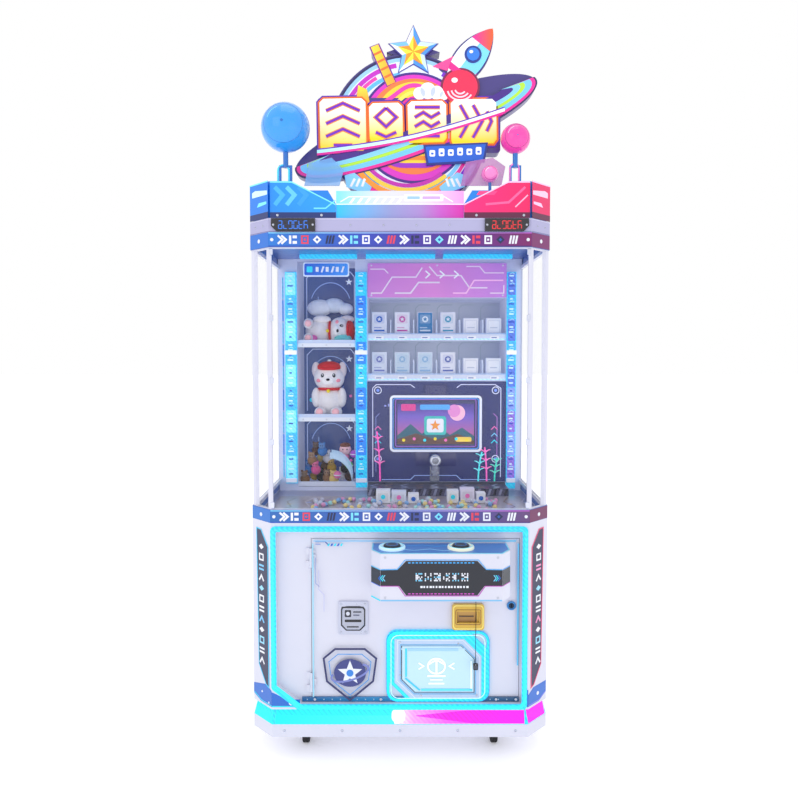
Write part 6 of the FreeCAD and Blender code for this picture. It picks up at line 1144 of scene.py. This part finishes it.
def left_niche():
    """Navy back wall with white line drawings, a lit sign on top, and the shelves' lips with screws."""
    y = 312.6
    B = front(y)
    lo, wall = -386, []
    navy = fade([(761, rgb(34, 46, 110)), (1100, rgb(60, 84, 150)), (1621, rgb(96, 122, 180))], 2)
    wall.append(bar(np.linspace(-388, -172, 8), 763, 1615, -0.2, 0.6, B, lambda p: fade([(-388, rgb(66, 92, 150)), (-172, rgb(44, 62, 128))])(p)))
    for z0, z1 in ((1322, 1600), (1040, 1290), (778, 1008)):
        m = (z0 + z1) / 2
        wall += [line([(-376, z0), (-376, z1 - 24), (-352, z1), (-200, z1), (-184, z1 - 20), (-184, z0 + 10)], 3, 0.4, 1.2, B, rgb(196, 214, 250)),
                 line(arc(-280, m, 82, 96, 20, 160, 24), 3, 0.4, 1.2, B, rgb(150, 180, 236)), line(arc(-280, m + 10, 60, 70, 200, 330, 20), 2.5, 0.4, 1.2, B, rgb(120, 150, 220)),
                 line([(-360, m - 60), (-330, m - 30), (-330, m + 40)], 2.5, 0.4, 1.2, B, rgb(170, 200, 246)), slab(star(-206, z1 - 40, 15, 6), 0.4, 1.3, B, rgb(226, 236, 255), 0.2),
                 slab(oval(-358, z0 + 44, 9, n=18), 0.4, 1.3, B, CYAN, 0.2), slab(oval(-200, z0 + 60, 6, n=16), 0.4, 1.3, B, PINK, 0.2)]
    piece("left_niche_art", wall, LIT_ART)
    F = front(139)
    sign = [slab(rounded(-366, -192, 1562, 1616, 8), 0, 5, F, rgb(220, 234, 255), 1.2), slab(rounded(-361, -197, 1567, 1611, 6), 4.9, 6.6, F, fade([(-361, rgb(20, 90, 210)), (-197, rgb(60, 150, 240))]), 0.5),
            slab(rounded(-352, -330, 1578, 1600, 3), 6.5, 7.8, F, CYAN, 0.3)]
    for k in range(6):
        x = -318 + k * 19
        sign.append(slab([(x, 1578), (x + 7, 1578), (x + 14, 1600), (x + 7, 1600)] if k % 2 else box2(x, x + 11, 1580, 1598), 6.5, 7.6, F, WHITE, 0.2))
    piece("left_niche_sign", sign, LIT_ART)
    edges = []
    for z in (1308, 1025):
        edges += [bar([-389, -171], z - 12, z + 3, -0.4, 3, front(145), rgb(236, 242, 255)), bar([-389, -171], z + 3, z + 16, -0.4, 1.4, front(146), rgb(206, 220, 250))]
        for x in (-370, -280, -190):
            edges += screw(x, z - 4, front(142), 2.6)
    edges += [bar([-389, -171], 764, 782, 0, 3, front(145), rgb(226, 232, 250))]
    piece("left_shelf_lips", edges, PAINTED)


left_niche()


def bear(cx, cy, foot, scale, lying=False, cap=True):
    """A seated soft animal: overlapping round shapes, each an ellipsoid in body places, turned flat when it lies."""
    cream, red, dark, pinkc = rgb(240, 236, 240), rgb(214, 30, 44), rgb(34, 32, 44), rgb(246, 150, 170)
    k = scale
    forms = [((0, 4, 52), (46, 38, 52), cream), ((0, -2, 126), (50, 42, 44), cream), ((-43, -4, 152), (14, 9, 26), rgb(226, 216, 224)), ((43, -4, 152), (14, 9, 26), rgb(226, 216, 224)),
             ((-42, -14, 62), (15, 16, 32), cream), ((42, -14, 62), (15, 16, 32), cream), ((-26, -38, 16), (19, 30, 17), cream), ((26, -38, 16), (19, 30, 17), cream),
             ((-26, -65, 18), (12, 6, 12), rgb(250, 190, 200)), ((26, -65, 18), (12, 6, 12), rgb(250, 190, 200)), ((0, -38, 116), (20, 12, 14), rgb(250, 248, 250)), ((0, -49, 121), (6, 4, 4.4), dark),
             ((-18, -39, 134), (5.6, 4, 7), dark), ((18, -39, 134), (5.6, 4, 7), dark), ((-31, -33, 118), (8, 5, 6), pinkc), ((31, -33, 118), (8, 5, 6), pinkc), ((0, -2, 90), (41, 36, 7), red), ((0, -36, 84), (6, 4, 6), YELLOW),
             # The two small white shapes on the eyes are painted glints.
             ((-18, -43, 136.5), (1.8, 1.2, 2.0), WHITE), ((18, -43, 136.5), (1.8, 1.2, 2.0), WHITE)]
    if cap:
        forms += [((0, -2, 160), (40, 35, 20), red), ((0, -26, 156), (34, 18, 6), red), ((0, -2, 180), (7, 7, 6), WHITE)]
    out = []
    for (x, y, z), r, c in forms:
        if lying:
            x, z, r = z - 92, 46 - x, (r[2], r[1], r[0])
        out.append(ball((cx + x * k, cy + y * k, foot + z * k), np.array(r) * k, c, 16, 26))
    return out


def toys():
    """Soft animals on the shelves, a soft cloud, a heap of small toys, a round figure, capsules and a clear chute."""
    upper = piece("plush_upper", bear(-272, 232, 1310, 1.08, lying=True) + [ball((-222, 200, 1330), (34, 22, 18), rgb(120, 220, 220)), ball((-336, 196, 1330), (16, 14, 14), PINK)], PLUSH, smooth=80)
    lower = piece("plush_lower", bear(-278, 232, 1026, 1.2), PLUSH, smooth=80)
    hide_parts("plush_toys")
    soft = [ball((-318, 262, 1452), (50, 30, 34), rgb(236, 240, 252)), ball((-262, 268, 1462), (44, 28, 30), rgb(222, 232, 250)), ball((-216, 266, 1448), (30, 24, 24), rgb(236, 240, 252))]
    heap = []
    tones = [rgb(120, 84, 50), rgb(200, 160, 60), rgb(30, 28, 34), rgb(150, 110, 80), rgb(230, 200, 120), rgb(236, 236, 244), rgb(90, 60, 50), rgb(60, 120, 190), rgb(220, 90, 150)]
    spots = [(-368, 0), (-340, 0), (-312, 0), (-284, 0), (-256, 0), (-228, 0), (-200, 0), (-354, 1), (-326, 1), (-298, 1), (-270, 1), (-214, 1), (-340, 2), (-312, 2), (-286, 2), (-326, 3), (-300, 3)]
    for k, (x, row) in enumerate(spots):
        z, y, c = 786 + row * 36, 176 + 26 * ((k * 7) % 4), tones[k % 9]
        heap += [ball((x, y, z), (19, 16, 19), c, 10, 16), ball((x - 2, y - 6, z + 21), (13, 12, 12), c * 0.9 + 0.08, 10, 14), ball((x - 11, y - 4, z + 31), (4.5, 3, 5), c, 8, 10), ball((x + 7, y - 4, z + 31), (4.5, 3, 5), c, 8, 10),
                 ball((x - 6, y - 17.5, z + 23), (1.8, 1.4, 2.2), INK, 6, 8), ball((x + 2, y - 17.5, z + 23), (1.8, 1.4, 2.2), INK, 6, 8)]
    pinkish = rgb(240, 190, 200)
    heap += [ball((-212, 178, 900), (23, 20, 22), pinkish), ball((-212, 180, 872), (16, 14, 18), rgb(220, 120, 170)), ball((-220, 159, 903), (2.4, 2, 3), INK, 8, 10), ball((-204, 159, 903), (2.4, 2, 3), INK, 8, 10), ball((-212, 176, 918), (21, 18, 10), rgb(120, 70, 60))]
    extra = piece("small_toys", heap, PLUSH, smooth=80)
    cloud = piece("cloud_cushion", soft, PLUSH, smooth=80)
    caps = []
    for x, y, z, c in ((-196, 158, 842, rgb(90, 200, 90)), (-178, 168, 884, rgb(190, 90, 210)), (-240, 152, 806, rgb(240, 120, 180))):
        caps += [ball((x, y, z), (15, 15, 15), c, 12, 20), lathe([(15.4, -1.6), (15.9, 0), (15.4, 1.6)], (x, y, z), (0, 0, 1), rgb(240, 244, 250), 24)]
    piece("prize_capsules", caps, PAINTED)
    a = np.linspace(0, np.pi / 2, 14)
    path = np.stack([-262 + 82 * np.sin(a), 110 + 0 * a, 880 - 90 * (1 - np.cos(a))], 1)
    rows = [np.stack([path[:, 0], path[:, 1] - 36 + w, path[:, 2] + h], 1) for w, h in ((0, 24), (0, 0), (72, 0), (72, 24), (69, 24), (69, 3), (3, 3), (3, 24))]
    piece("clear_toy_chute", [skin(np.stack(rows, 1)[::-1], rgb(190, 220, 245))], TINTED, smooth=None)


toys()


def right_niche():
    """Pink banner with angular line art, grey-green walls, shelf lips, printed boxes, clear cubes and low cards."""
    parts = []
    B = front(139)
    banner = fade([(-123, rgb(196, 120, 206)), (120, rgb(216, 128, 208)), (403, rgb(190, 124, 214))])
    parts.append(bar(np.linspace(-122, 402, 24), 1484, 1612, 0, 5, B, banner))
    art, soft = rgb(228, 212, 232), rgb(246, 190, 232)
    for pts, w, c in (([(-110, 1500), (-70, 1500), (-30, 1560), (60, 1560), (84, 1596)], 5, art), ([(-112, 1590), (-60, 1590), (-44, 1574)], 4, art), ([(-20, 1500), (40, 1500), (70, 1540), (150, 1540)], 6, art), ([(110, 1600), (140, 1566), (230, 1566), (262, 1520), (330, 1520)], 5, art),
                      ([(200, 1500), (250, 1500), (280, 1548), (390, 1548)], 5, soft), ([(250, 1600), (300, 1600), (320, 1576), (392, 1576)], 4, art), ([(340, 1500), (392, 1500), (392, 1530)], 4, art)):
        parts.append(line(pts, w, 4.8, 6.2, B, c))
    for x in (96, 150, 204):
        parts.append(line([(x, 1584), (x + 16, 1570), (x, 1556)], 5, 4.8, 6.4, B, WHITE))
    for x, z in ((-108, 1604), (388, 1604), (-108, 1492), (388, 1492), (140, 1604)):
        parts += screw(x, z, B, 3.4, 5)
    piece("right_banner", parts, LIT_ART)
    back = front(312.5)
    walls = [bar(np.linspace(-121, 401, 12), 1170, 1478, -0.2, 0.8, back, lambda p: fade([(-121, rgb(196, 206, 224)), (150, rgb(222, 228, 240)), (401, rgb(190, 200, 222))])(p))]
    for z0, z1 in ((1200, 1322), (1352, 1474)):
        for k in range(6):
            x = -123 + 87.7 * k
            walls.append(line([(x + 10, z0), (x + 10, z1 - 20), (x + 24, z1 - 6), (x + 70, z1 - 6)], 2, 0.6, 1.4, back, rgb(176, 196, 206)))
    piece("right_niche_walls", walls, PRINTED)
    lips, lit = [], []
    for z in (1343, 1190):
        lips += [bar([-122, 402], z - 22, z + 2, 0, 4, front(146), rgb(222, 230, 250)), bar([-122, 402], z + 2, z + 6, 0, 2, front(147), rgb(180, 206, 244))]
        lit.append(bar(np.linspace(-120, 400, 12), z - 19, z - 14, 3.8, 5, front(146), rgb(180, 225, 255)))
        for k in range(7):
            x = -123 + 87.7 * k
            lips.append(slab(box2(max(x - 2, -122), min(x + 2, 402), z + 2, z + 46), 0, 3, front(150), rgb(214, 226, 248), 0.6))
        for k in range(6):
            x = -79 + 87.7 * k
            lips.append(slab(rounded(x - 17, x + 17, z - 16, z - 5, 2), 3.8, 5.2, front(146), rgb(250, 250, 255), 0.3))
            lips.append(slab(box2(x - 12, x + 8, z - 12.5, z - 9), 5.0, 5.6, front(146), rgb(90, 120, 190), 0.1))
    piece("right_shelf_lips", lips, PAINTED)
    piece("right_shelf_lights", lit, LIT)
    lo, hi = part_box("prize_boxes")
    F = front(lo.y / MM)
    prints = []
    looks = [(rgb(228, 232, 246), BLUE), (rgb(236, 238, 250), rgb(200, 80, 170)), (rgb(50, 130, 190), rgb(230, 240, 250)), (rgb(236, 238, 250), rgb(60, 160, 200)), (rgb(242, 244, 252), rgb(200, 206, 226)), (rgb(242, 244, 252), rgb(200, 206, 226)),
             (rgb(222, 230, 246), rgb(120, 130, 200)), (rgb(206, 224, 240), rgb(150, 190, 226)), (rgb(206, 224, 240), rgb(150, 190, 226)), (rgb(236, 238, 250), rgb(90, 110, 190)), (rgb(242, 244, 252), rgb(200, 206, 226)), (rgb(242, 244, 252), rgb(200, 206, 226))]
    for k, (c, d) in enumerate(looks):
        row, col = divmod(k, 6)
        z = (1343, 1190)[row]
        x = -123 + 87.7 * (col + 0.5)
        tall = 64 if col > 3 else 87
        prints.append(slab(rounded(x - 27, x + 27, z + 2, z + tall - 2, 2), -0.2, 0.8, F, c, 0.3))
        if col < 4:
            prints += [slab(rounded(x - 20, x + 20, z + 44, z + 78, 4), 0.7, 1.3, F, c * 0.8 + d * 0.2, 0.2), slab(oval(x, z + 60, 12, n=20), 1.2, 1.8, F, d, 0.2), slab(star(x, z + 60, 9, 4), 1.7, 2.2, F, c, 0.1),
                       slab(box2(x - 20, x + 20, z + 14, z + 20), 0.7, 1.3, F, d, 0.2), slab(box2(x - 20, x + 8, z + 26, z + 30), 0.7, 1.3, F, d * 0.6 + c * 0.4, 0.2)]
        else:
            prints += [line(rounded(x - 22, x + 22, z + 8, z + tall - 8, 3), 1.4, 0.7, 1.2, F, d, closed=True), slab(box2(x - 14, x + 14, z + 26, z + 30), 0.7, 1.2, F, d, 0.1)]
    piece("box_prints", prints, CARD)


right_niche()


def game_panel_art():
    """Navy panel with a white line frame and corner rings, a red counter and the screen's bezel and picture."""
    lo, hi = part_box("game_panel")
    G = front(lo.y / MM)
    parts = [line([(-104, 800), (-104, 1140), (-90, 1154), (40, 1154), (56, 1142)], 3, -0.2, 1.2, G, rgb(214, 220, 250)), line([(216, 1142), (232, 1154), (362, 1154), (384, 1140), (384, 800)], 3, -0.2, 1.2, G, rgb(214, 220, 250)),
             line([(-92, 820), (-92, 1030), (-78, 1044)], 2, -0.2, 1.0, G, rgb(140, 150, 220)), line([(370, 820), (370, 1030), (356, 1044)], 2, -0.2, 1.0, G, rgb(190, 120, 220)),
             line([(-70, 790), (40, 790), (56, 806), (216, 806), (232, 790), (346, 790)], 2.6, -0.2, 1.2, G, rgb(160, 190, 250))]
    for x, z in ((-84, 1132), (364, 1132), (-84, 870), (364, 870)):
        parts += [line(oval(x, z, 13, n=24), 3, -0.2, 1.2, G, rgb(220, 226, 250), closed=True), slab(oval(x, z, 6, n=18), -0.2, 1.6, G, rgb(120, 150, 236), 0.3)]
    for k in range(5):
        parts.append(slab(box2(-60 + 14 * k, -52 + 14 * k, 1070, 1076 + 5 * (k % 3)), -0.2, 1.1, G, rgb(150, 160, 230), 0.1))
    for x, w in ((-84, 24), (360, 24)):
        for k in range(3):
            parts.append(line([(x - w / 2, 930 + 26 * k), (x, 942 + 26 * k), (x + w / 2, 930 + 26 * k)], 3, -0.2, 1.2, G, (CYAN, SKY, PINK)[k]))
    piece("game_panel_lines", parts, LIT_ART)
    lit = [slab(rounded(100, 172, 1121, 1148, 3), 0, 7, G, rgb(16, 10, 18), 1.0)]
    for k, on in enumerate((0b1110111, 0b1101011, 0b1011101)):
        x, mid, h = 116 + 20 * k, 1134.5, 9
        for q, sg in enumerate([(x - 5, x + 5, mid + h - 2, mid + h), (x - 5, x + 5, mid - 1, mid + 1), (x - 5, x + 5, mid - h, mid - h + 2), (x - 6.4, x - 4.4, mid + 1, mid + h), (x + 4.4, x + 6.4, mid + 1, mid + h), (x - 6.4, x - 4.4, mid - h, mid - 1), (x + 4.4, x + 6.4, mid - h, mid - 1)]):
            lit.append(slab(box2(*sg), 6.9, 7.6, G, rgb(250, 40, 40) if on >> q & 1 else rgb(60, 10, 14), 0.1))
    Sc = front(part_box("screen")[0].y / MM)
    x0, x1, z0, z1 = -40.5, 312.5, 896, 1115
    lit += [line(rounded(x0 + 6, x1 - 6, z0 + 6, z1 - 6, 12), 9, -0.2, 2.2, Sc, rgb(226, 232, 250), closed=True), line(rounded(x0 + 14, x1 - 14, z0 + 14, z1 - 14, 9), 3.5, -0.2, 3.0, Sc, rgb(70, 150, 240), closed=True),
            line(rounded(x0 + 24, x1 - 24, z0 + 23, z1 - 17, 5), 2.5, -0.2, 2.4, Sc, rgb(160, 90, 210), closed=True)]
    piece("screen_surround", lit, LIT_ART)
    V = front(136 + 0.0)
    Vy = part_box("screen")[0].y / MM
    sx0, sx1, sz0, sz1 = -10, 282, 927, 1092
    V = front(min(136.0, Vy + 30) - 0.1)
    sky = lambda p: fade([(sz0, rgb(120, 90, 110)), (970, rgb(176, 100, 170)), (1030, rgb(120, 96, 200)), (sz1, rgb(50, 40, 130))], 2)(p)
    pic = [bar(np.linspace(sx0, sx1, 4), z, z + 11.2, -0.2, 0.4, V, sky) for z in np.arange(sz0, sz1 - 11, 11)]
    pic += [slab(oval(218, 1046, 30, n=32), 0.3, 0.8, V, rgb(250, 190, 220), 0.1), slab(oval(206, 1054, 24, n=32), 0.7, 1.0, V, rgb(226, 140, 210), 0.1),
            slab([(-10, 960), (40, 1004), (84, 966), (130, 1010), (190, 962), (236, 990), (282, 958), (282, 927), (-10, 927)], 0.3, 1.0, V, rgb(40, 96, 120), 0.1),
            slab([(-10, 946), (60, 968), (140, 944), (220, 966), (282, 940), (282, 927), (-10, 927)], 0.9, 1.4, V, rgb(96, 66, 64), 0.1),
            slab(rounded(92, 176, 962, 1034, 10), 1.3, 1.9, V, rgb(60, 190, 190), 0.2), slab(rounded(102, 166, 972, 1024, 8), 1.8, 2.3, V, rgb(236, 236, 250), 0.2), slab(star(134, 998, 22, 9), 2.2, 2.8, V, rgb(240, 150, 60), 0.2),
            slab(rounded(4, 60, 1054, 1080, 5), 1.3, 1.9, V, rgb(220, 60, 150), 0.2), slab(rounded(76, 190, 1058, 1078, 5), 1.3, 1.9, V, rgb(80, 170, 240), 0.2), slab(rounded(212, 272, 936, 954, 5), 1.3, 1.9, V, rgb(250, 214, 90), 0.2)]
    for k in range(7):
        pic.append(slab(oval(14 + 40 * k, 942 + 5 * (k % 2), 6, n=14), 1.4, 2.0, V, (YELLOW, PINK, CYAN)[k % 3], 0.1))
    piece("screen_picture", pic, LIT_ART)


game_panel_art()


def play_field():
    """Patterned deck, striped pusher face and top, marbles, white prize boxes, neon plants and the launcher."""
    deck = []
    T = level(DECK_Z)
    base = lambda p: fade([(-340, rgb(196, 190, 200)), (60, rgb(150, 140, 150)), (140, rgb(120, 104, 112))], 1)(p)
    deck.append(bar(np.linspace(-440, 440, 20), -300, 34, -0.4, 0.08, T, base))
    for k in range(14):
        x = -420 + 64 * k
        deck.append(line([(x, -280), (x + 30, -240), (x + 10, -190), (x + 46, -140), (x + 20, -60), (x + 44, 10)], 5, 0.05, 0.15, T, (rgb(120, 86, 66), rgb(206, 200, 214), rgb(96, 110, 170))[k % 3]))
        deck.append(slab(star(x + 34, -100 + 30 * (k % 3), 15, 7), 0.05, 0.2, T, (rgb(190, 150, 90), rgb(170, 180, 230), rgb(200, 120, 170))[k % 3]))
    piece("deck_pattern", deck, PRINTED)
    lo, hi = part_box("pusher")
    F = front(lo.y / MM)
    face = []
    z0, z1 = lo.z / MM, hi.z / MM
    for k in range(26):
        x = -118 + 20 * k
        face.append(slab([(x, z0 + 2), (x + 9, z0 + 2), (x + 16, z1 - 2), (x + 7, z1 - 2)], -0.2, 0.8, F, rgb(30, 30, 50) if k % 2 else rgb(140, 146, 180), 0.2))
    T = level(z1)
    for k in range(9):
        x = -110 + 57 * k
        face.append(line([(x, 44), (x + 24, 66), (x, 90), (x + 24, 126)], 5, -0.2, 0.7, T, rgb(150, 120, 110) if k % 2 else rgb(180, 190, 226)))
    piece("pusher_pattern", face, PRINTED, "pusher")
    balls = []
    tones = [rgb(200, 206, 226), rgb(120, 170, 226), rgb(220, 150, 200), rgb(190, 190, 210), rgb(230, 210, 140), rgb(160, 220, 220)]
    for k in range(120):
        x, y = -300 + 640 * rng.random(), -240 + 195 * rng.random() ** 0.8
        balls.append(ball((x, y, DECK_Z + 8.6), (8, 8, 8), tones[k % 6], 7, 10))
    piece("marbles", balls, PAINTED, smooth=80)
    boxes = []
    for x0, x1, y, h, c in ((-84, -34, -90, 46, WHITE), (-30, 22, -82, 40, rgb(226, 232, 250)), (28, 66, -96, 34, WHITE), (166, 206, -86, 44, WHITE), (212, 262, -80, 50, rgb(232, 226, 246)), (268, 300, -88, 36, WHITE)):
        P = front(y)
        boxes += [slab(box2(x0, x1, DECK_Z + 1, DECK_Z + h), -40, 0, P, c, 1.2), slab(rounded(x0 + 7, x1 - 7, DECK_Z + 8, DECK_Z + h - 10, 3), -0.1, 0.6, P, c * 0.86, 0.2), slab(oval((x0 + x1) / 2, DECK_Z + h / 2, 8, n=20), 0.5, 1.1, P, (BLUE, PINK, CYAN)[int(x1) % 3], 0.2)]
    piece("deck_prize_boxes", boxes, CARD)
    neon = []
    t = np.linspace(0, 1, 16)
    for x, y, z0, tall, lean, c in ((-76, 128, 786, 190, -12, rgb(250, 90, 190)), (298, 128, 786, 112, 14, rgb(90, 230, 240)), (330, 128, 786, 130, -8, rgb(250, 110, 200)), (360, 128, 786, 90, 10, rgb(60, 210, 190))):
        neon.append(tube(np.stack([x + lean * t ** 2, y + 0 * t, z0 + tall * t], 1), 3.0, c, up=(0, 1, 0), sides=8))
        for q in (0.35, 0.6, 0.85):
            for s in (-1, 1):
                bx, bz = x + lean * q * q, z0 + tall * q
                neon.append(tube(np.stack([bx + s * 20 * t, y + 0 * t, bz + 20 * t - 10 * t ** 2], 1), 3.0 * (1 - 0.55 * t), c * 0.85 + 0.1, up=(0, 1, 0), sides=8))
    piece("neon_plants", neon, LIT)
    llo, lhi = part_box("launcher_turret")
    cx, z = 132, 872
    y = llo.y / MM
    piece("launcher_muzzle", [lathe([(16, -1), (18.5, 1), (18.5, 7), (16.5, 9), (12.5, 9), (11.5, 6), (11, -1)], (cx, y + 1.0, z), (0, -1, 0), rgb(220, 224, 236), 40, True),
                              lathe([(21.4, 0), (22.6, 1.5), (22.6, 5), (21.4, 6.5)], (cx, y + 22, z), (0, -1, 0), rgb(120, 160, 220), 40, True)], SHINY, "launcher")


play_field()


# ---------- glass, sides, back and top ----------
def glass_details():
    """Clamps on the glass, five along each side edge."""
    F = front(FRONT_Y)
    clamps, strips = [], []
    for x in (-392, 392):
        for z in (SILL_Z + 14, 1000, 1190, 1380, HEAD_Z - 14):
            clamps.append(slab(rounded(x - 6, x + 6, z - 9, z + 9, 2), 0, 4, front(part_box("upper_frame")[0].y / MM), rgb(214, 218, 236), 1.0))
    piece("glass_clamps", clamps, SHINY)


def side_details():
    """Seams, vents' rims, printed sweeps, lift handles and screws on both sides of the cabinet."""
    parts, metal = [], []
    for pl, sg, tone, deep in ((LEFT_SIDE, 1, rgb(4, 110, 203), rgb(16, 80, 190)), (RIGHT_SIDE, -1, rgb(105, 9, 82), rgb(150, 20, 120))):
        s = (lambda y: -y) if sg > 0 else (lambda y: y)
        a, b = sorted((s(-312), s(470)))
        ys = np.linspace(a + 1, b, 20)
        for z0, z1 in ((WAIST_Z, SILL_Z), (HEAD_Z, HEADER_Z)):
            parts.append(bar(ys, z0 + 1, z1 - 1, -0.4, 0.6, pl, tone))
            parts.append(bar(ys, z1 - 4.5, z1 - 1.5, 0.5, 1.1, pl, rgb(120, 200, 246) if sg > 0 else rgb(240, 100, 190)))
        for k in range(3):
            y0, y1 = s(-290 + 30 * k), s(120 + 30 * k)
            parts.append(line([(y0, 240 + 60 * k), (s(-190 + 30 * k), 340 + 70 * k), (s(0 + 30 * k), 340 + 70 * k), (y1, 500 + 60 * k)], 10 - 2 * k, -0.2, 0.6, pl, (tone, CYAN if sg > 0 else PINK, rgb(170, 180, 230))[k]))
        parts.append(line([(s(-300), 176), (s(460), 176)], 4, -0.2, 0.6, pl, rgb(130, 150, 210)))
        parts.append(line([(s(-300), 742), (s(460), 742)], 3, -0.2, 0.6, pl, rgb(130, 150, 210)))
        parts.append(line(rounded(min(s(205), s(385)), max(s(205), s(385)), 222, 392, 8), 4, -0.2, 1.4, pl, rgb(190, 194, 222), closed=True))
        for y in (-290, -60, 170, 440):
            for z in (184, 734, 1654):
                metal += screw(s(y), z, pl, 4.4)
        for y in (-100, 300):
            metal += screw(s(y), 770, pl, 4.4, 0.6) + screw(s(y), 1616, pl, 4.4, 0.6)
        # lift handle: a shallow cup plate with a bail
        y, z = s(330), 620
        metal += [slab(rounded(y - 62, y + 62, z - 34, z + 34, 8), -0.2, 2.0, pl, rgb(120, 124, 136), 0.8)]
        o, u, v, n = pl
        t = np.linspace(0, 1, 14)
        bow = np.stack([o + (y - 44 + 88 * q) * u + z * v + n * (2 + 9 * math.sin(math.pi * q) ** 0.5) for q in t])
        metal.append(tube(bow, 4.2, rgb(60, 62, 70), up=tuple(v), sides=10))
        for q in (-52, 52):
            metal += screw(y + q, z + 22, pl, 3.4, 2) + screw(y + q, z - 22, pl, 3.4, 2)
    piece("side_prints", parts, PRINTED)
    piece("side_metal", metal, SHINY)


def back_details():
    """The back: seams, screws, a plain rating plate with no words, and a trim line with screws on the rear door."""
    parts, metal, door = [], [], []
    for z0, z1 in ((WAIST_Z, SILL_Z), (HEAD_Z, HEADER_Z)):
        parts.append(bar(np.linspace(-460, 460, 16), z0 + 1, z1 - 1, -0.4, 0.6, BACK, rgb(60, 70, 150)))
        parts.append(bar(np.linspace(-460, 460, 16), z1 - 4, z1 - 1.5, 0.5, 1.0, BACK, rgb(150, 160, 220)))
    for x in (-440, -150, 150, 440):
        for z in (184, 734, 830, 1200, 1560, 1654):
            metal += screw(x, z, BACK, 4.6)
    for x in (-300, 300):
        parts.append(bar([x - 1.2, x + 1.2], 810, 1580, -0.2, 0.5, BACK, rgb(130, 134, 170)))
    parts.append(bar(np.linspace(-440, 440, 8), 1190, 1192.4, -0.2, 0.5, BACK, rgb(130, 134, 170)))
    parts += [slab(rounded(330, 420, 560, 620, 4), -0.2, 1.0, BACK, rgb(196, 198, 210), 0.3)] + [slab(box2(340, 340 + w, 570 + 10 * k, 573 + 10 * k), 0.9, 1.3, BACK, rgb(120, 122, 134), 0.1) for k, w in enumerate((66, 50, 60, 40))]
    piece("back_prints", parts, PAINTED)
    piece("back_screws", metal, SHINY)
    lo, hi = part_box("rear_door")
    R = plane((0, hi.y / MM, 0), (-1, 0, 0), (0, 0, 1))
    x0, x1, z0, z1 = -hi.x / MM, -lo.x / MM, lo.z / MM, hi.z / MM
    door += [line(rounded(x0 + 14, x1 - 14, z0 + 14, z1 - 14, 8), 3, -0.2, 1.2, R, rgb(170, 174, 205), closed=True)]
    for x in (x0 + 24, x1 - 24):
        for z in (z0 + 24, z1 - 24):
            door += screw(x, z, R, 4)
    piece("rear_door_trim", door, PAINTED, "rear_door")


def top_details():
    """Roof seams, screws, a vent grille of raised bars and cable cover behind the crown."""
    T = level(ROOF_Z)
    parts, metal = [], []
    parts.append(line(rounded(-430, 430, -60, 440, 12), 3, -0.2, 1.0, T, rgb(150, 152, 190), closed=True))
    for k in range(12):
        parts.append(slab(rounded(-90 + 0 * k, 90, 250 + 14 * k, 257 + 14 * k, 3), -0.2, 3.0, T, rgb(120, 122, 140), 0.8))
    parts.append(slab(rounded(-150, 150, 40, 120, 8), -0.2, 16, T, rgb(176, 178, 206), 3))
    for x in (-440, -220, 0, 220, 440):
        for y in (-30, 455):
            metal += screw(x, y, T, 4.6)
    piece("roof_details", parts, PAINTED)
    piece("roof_screws", metal, SHINY)


glass_details()
side_details()
back_details()
top_details()
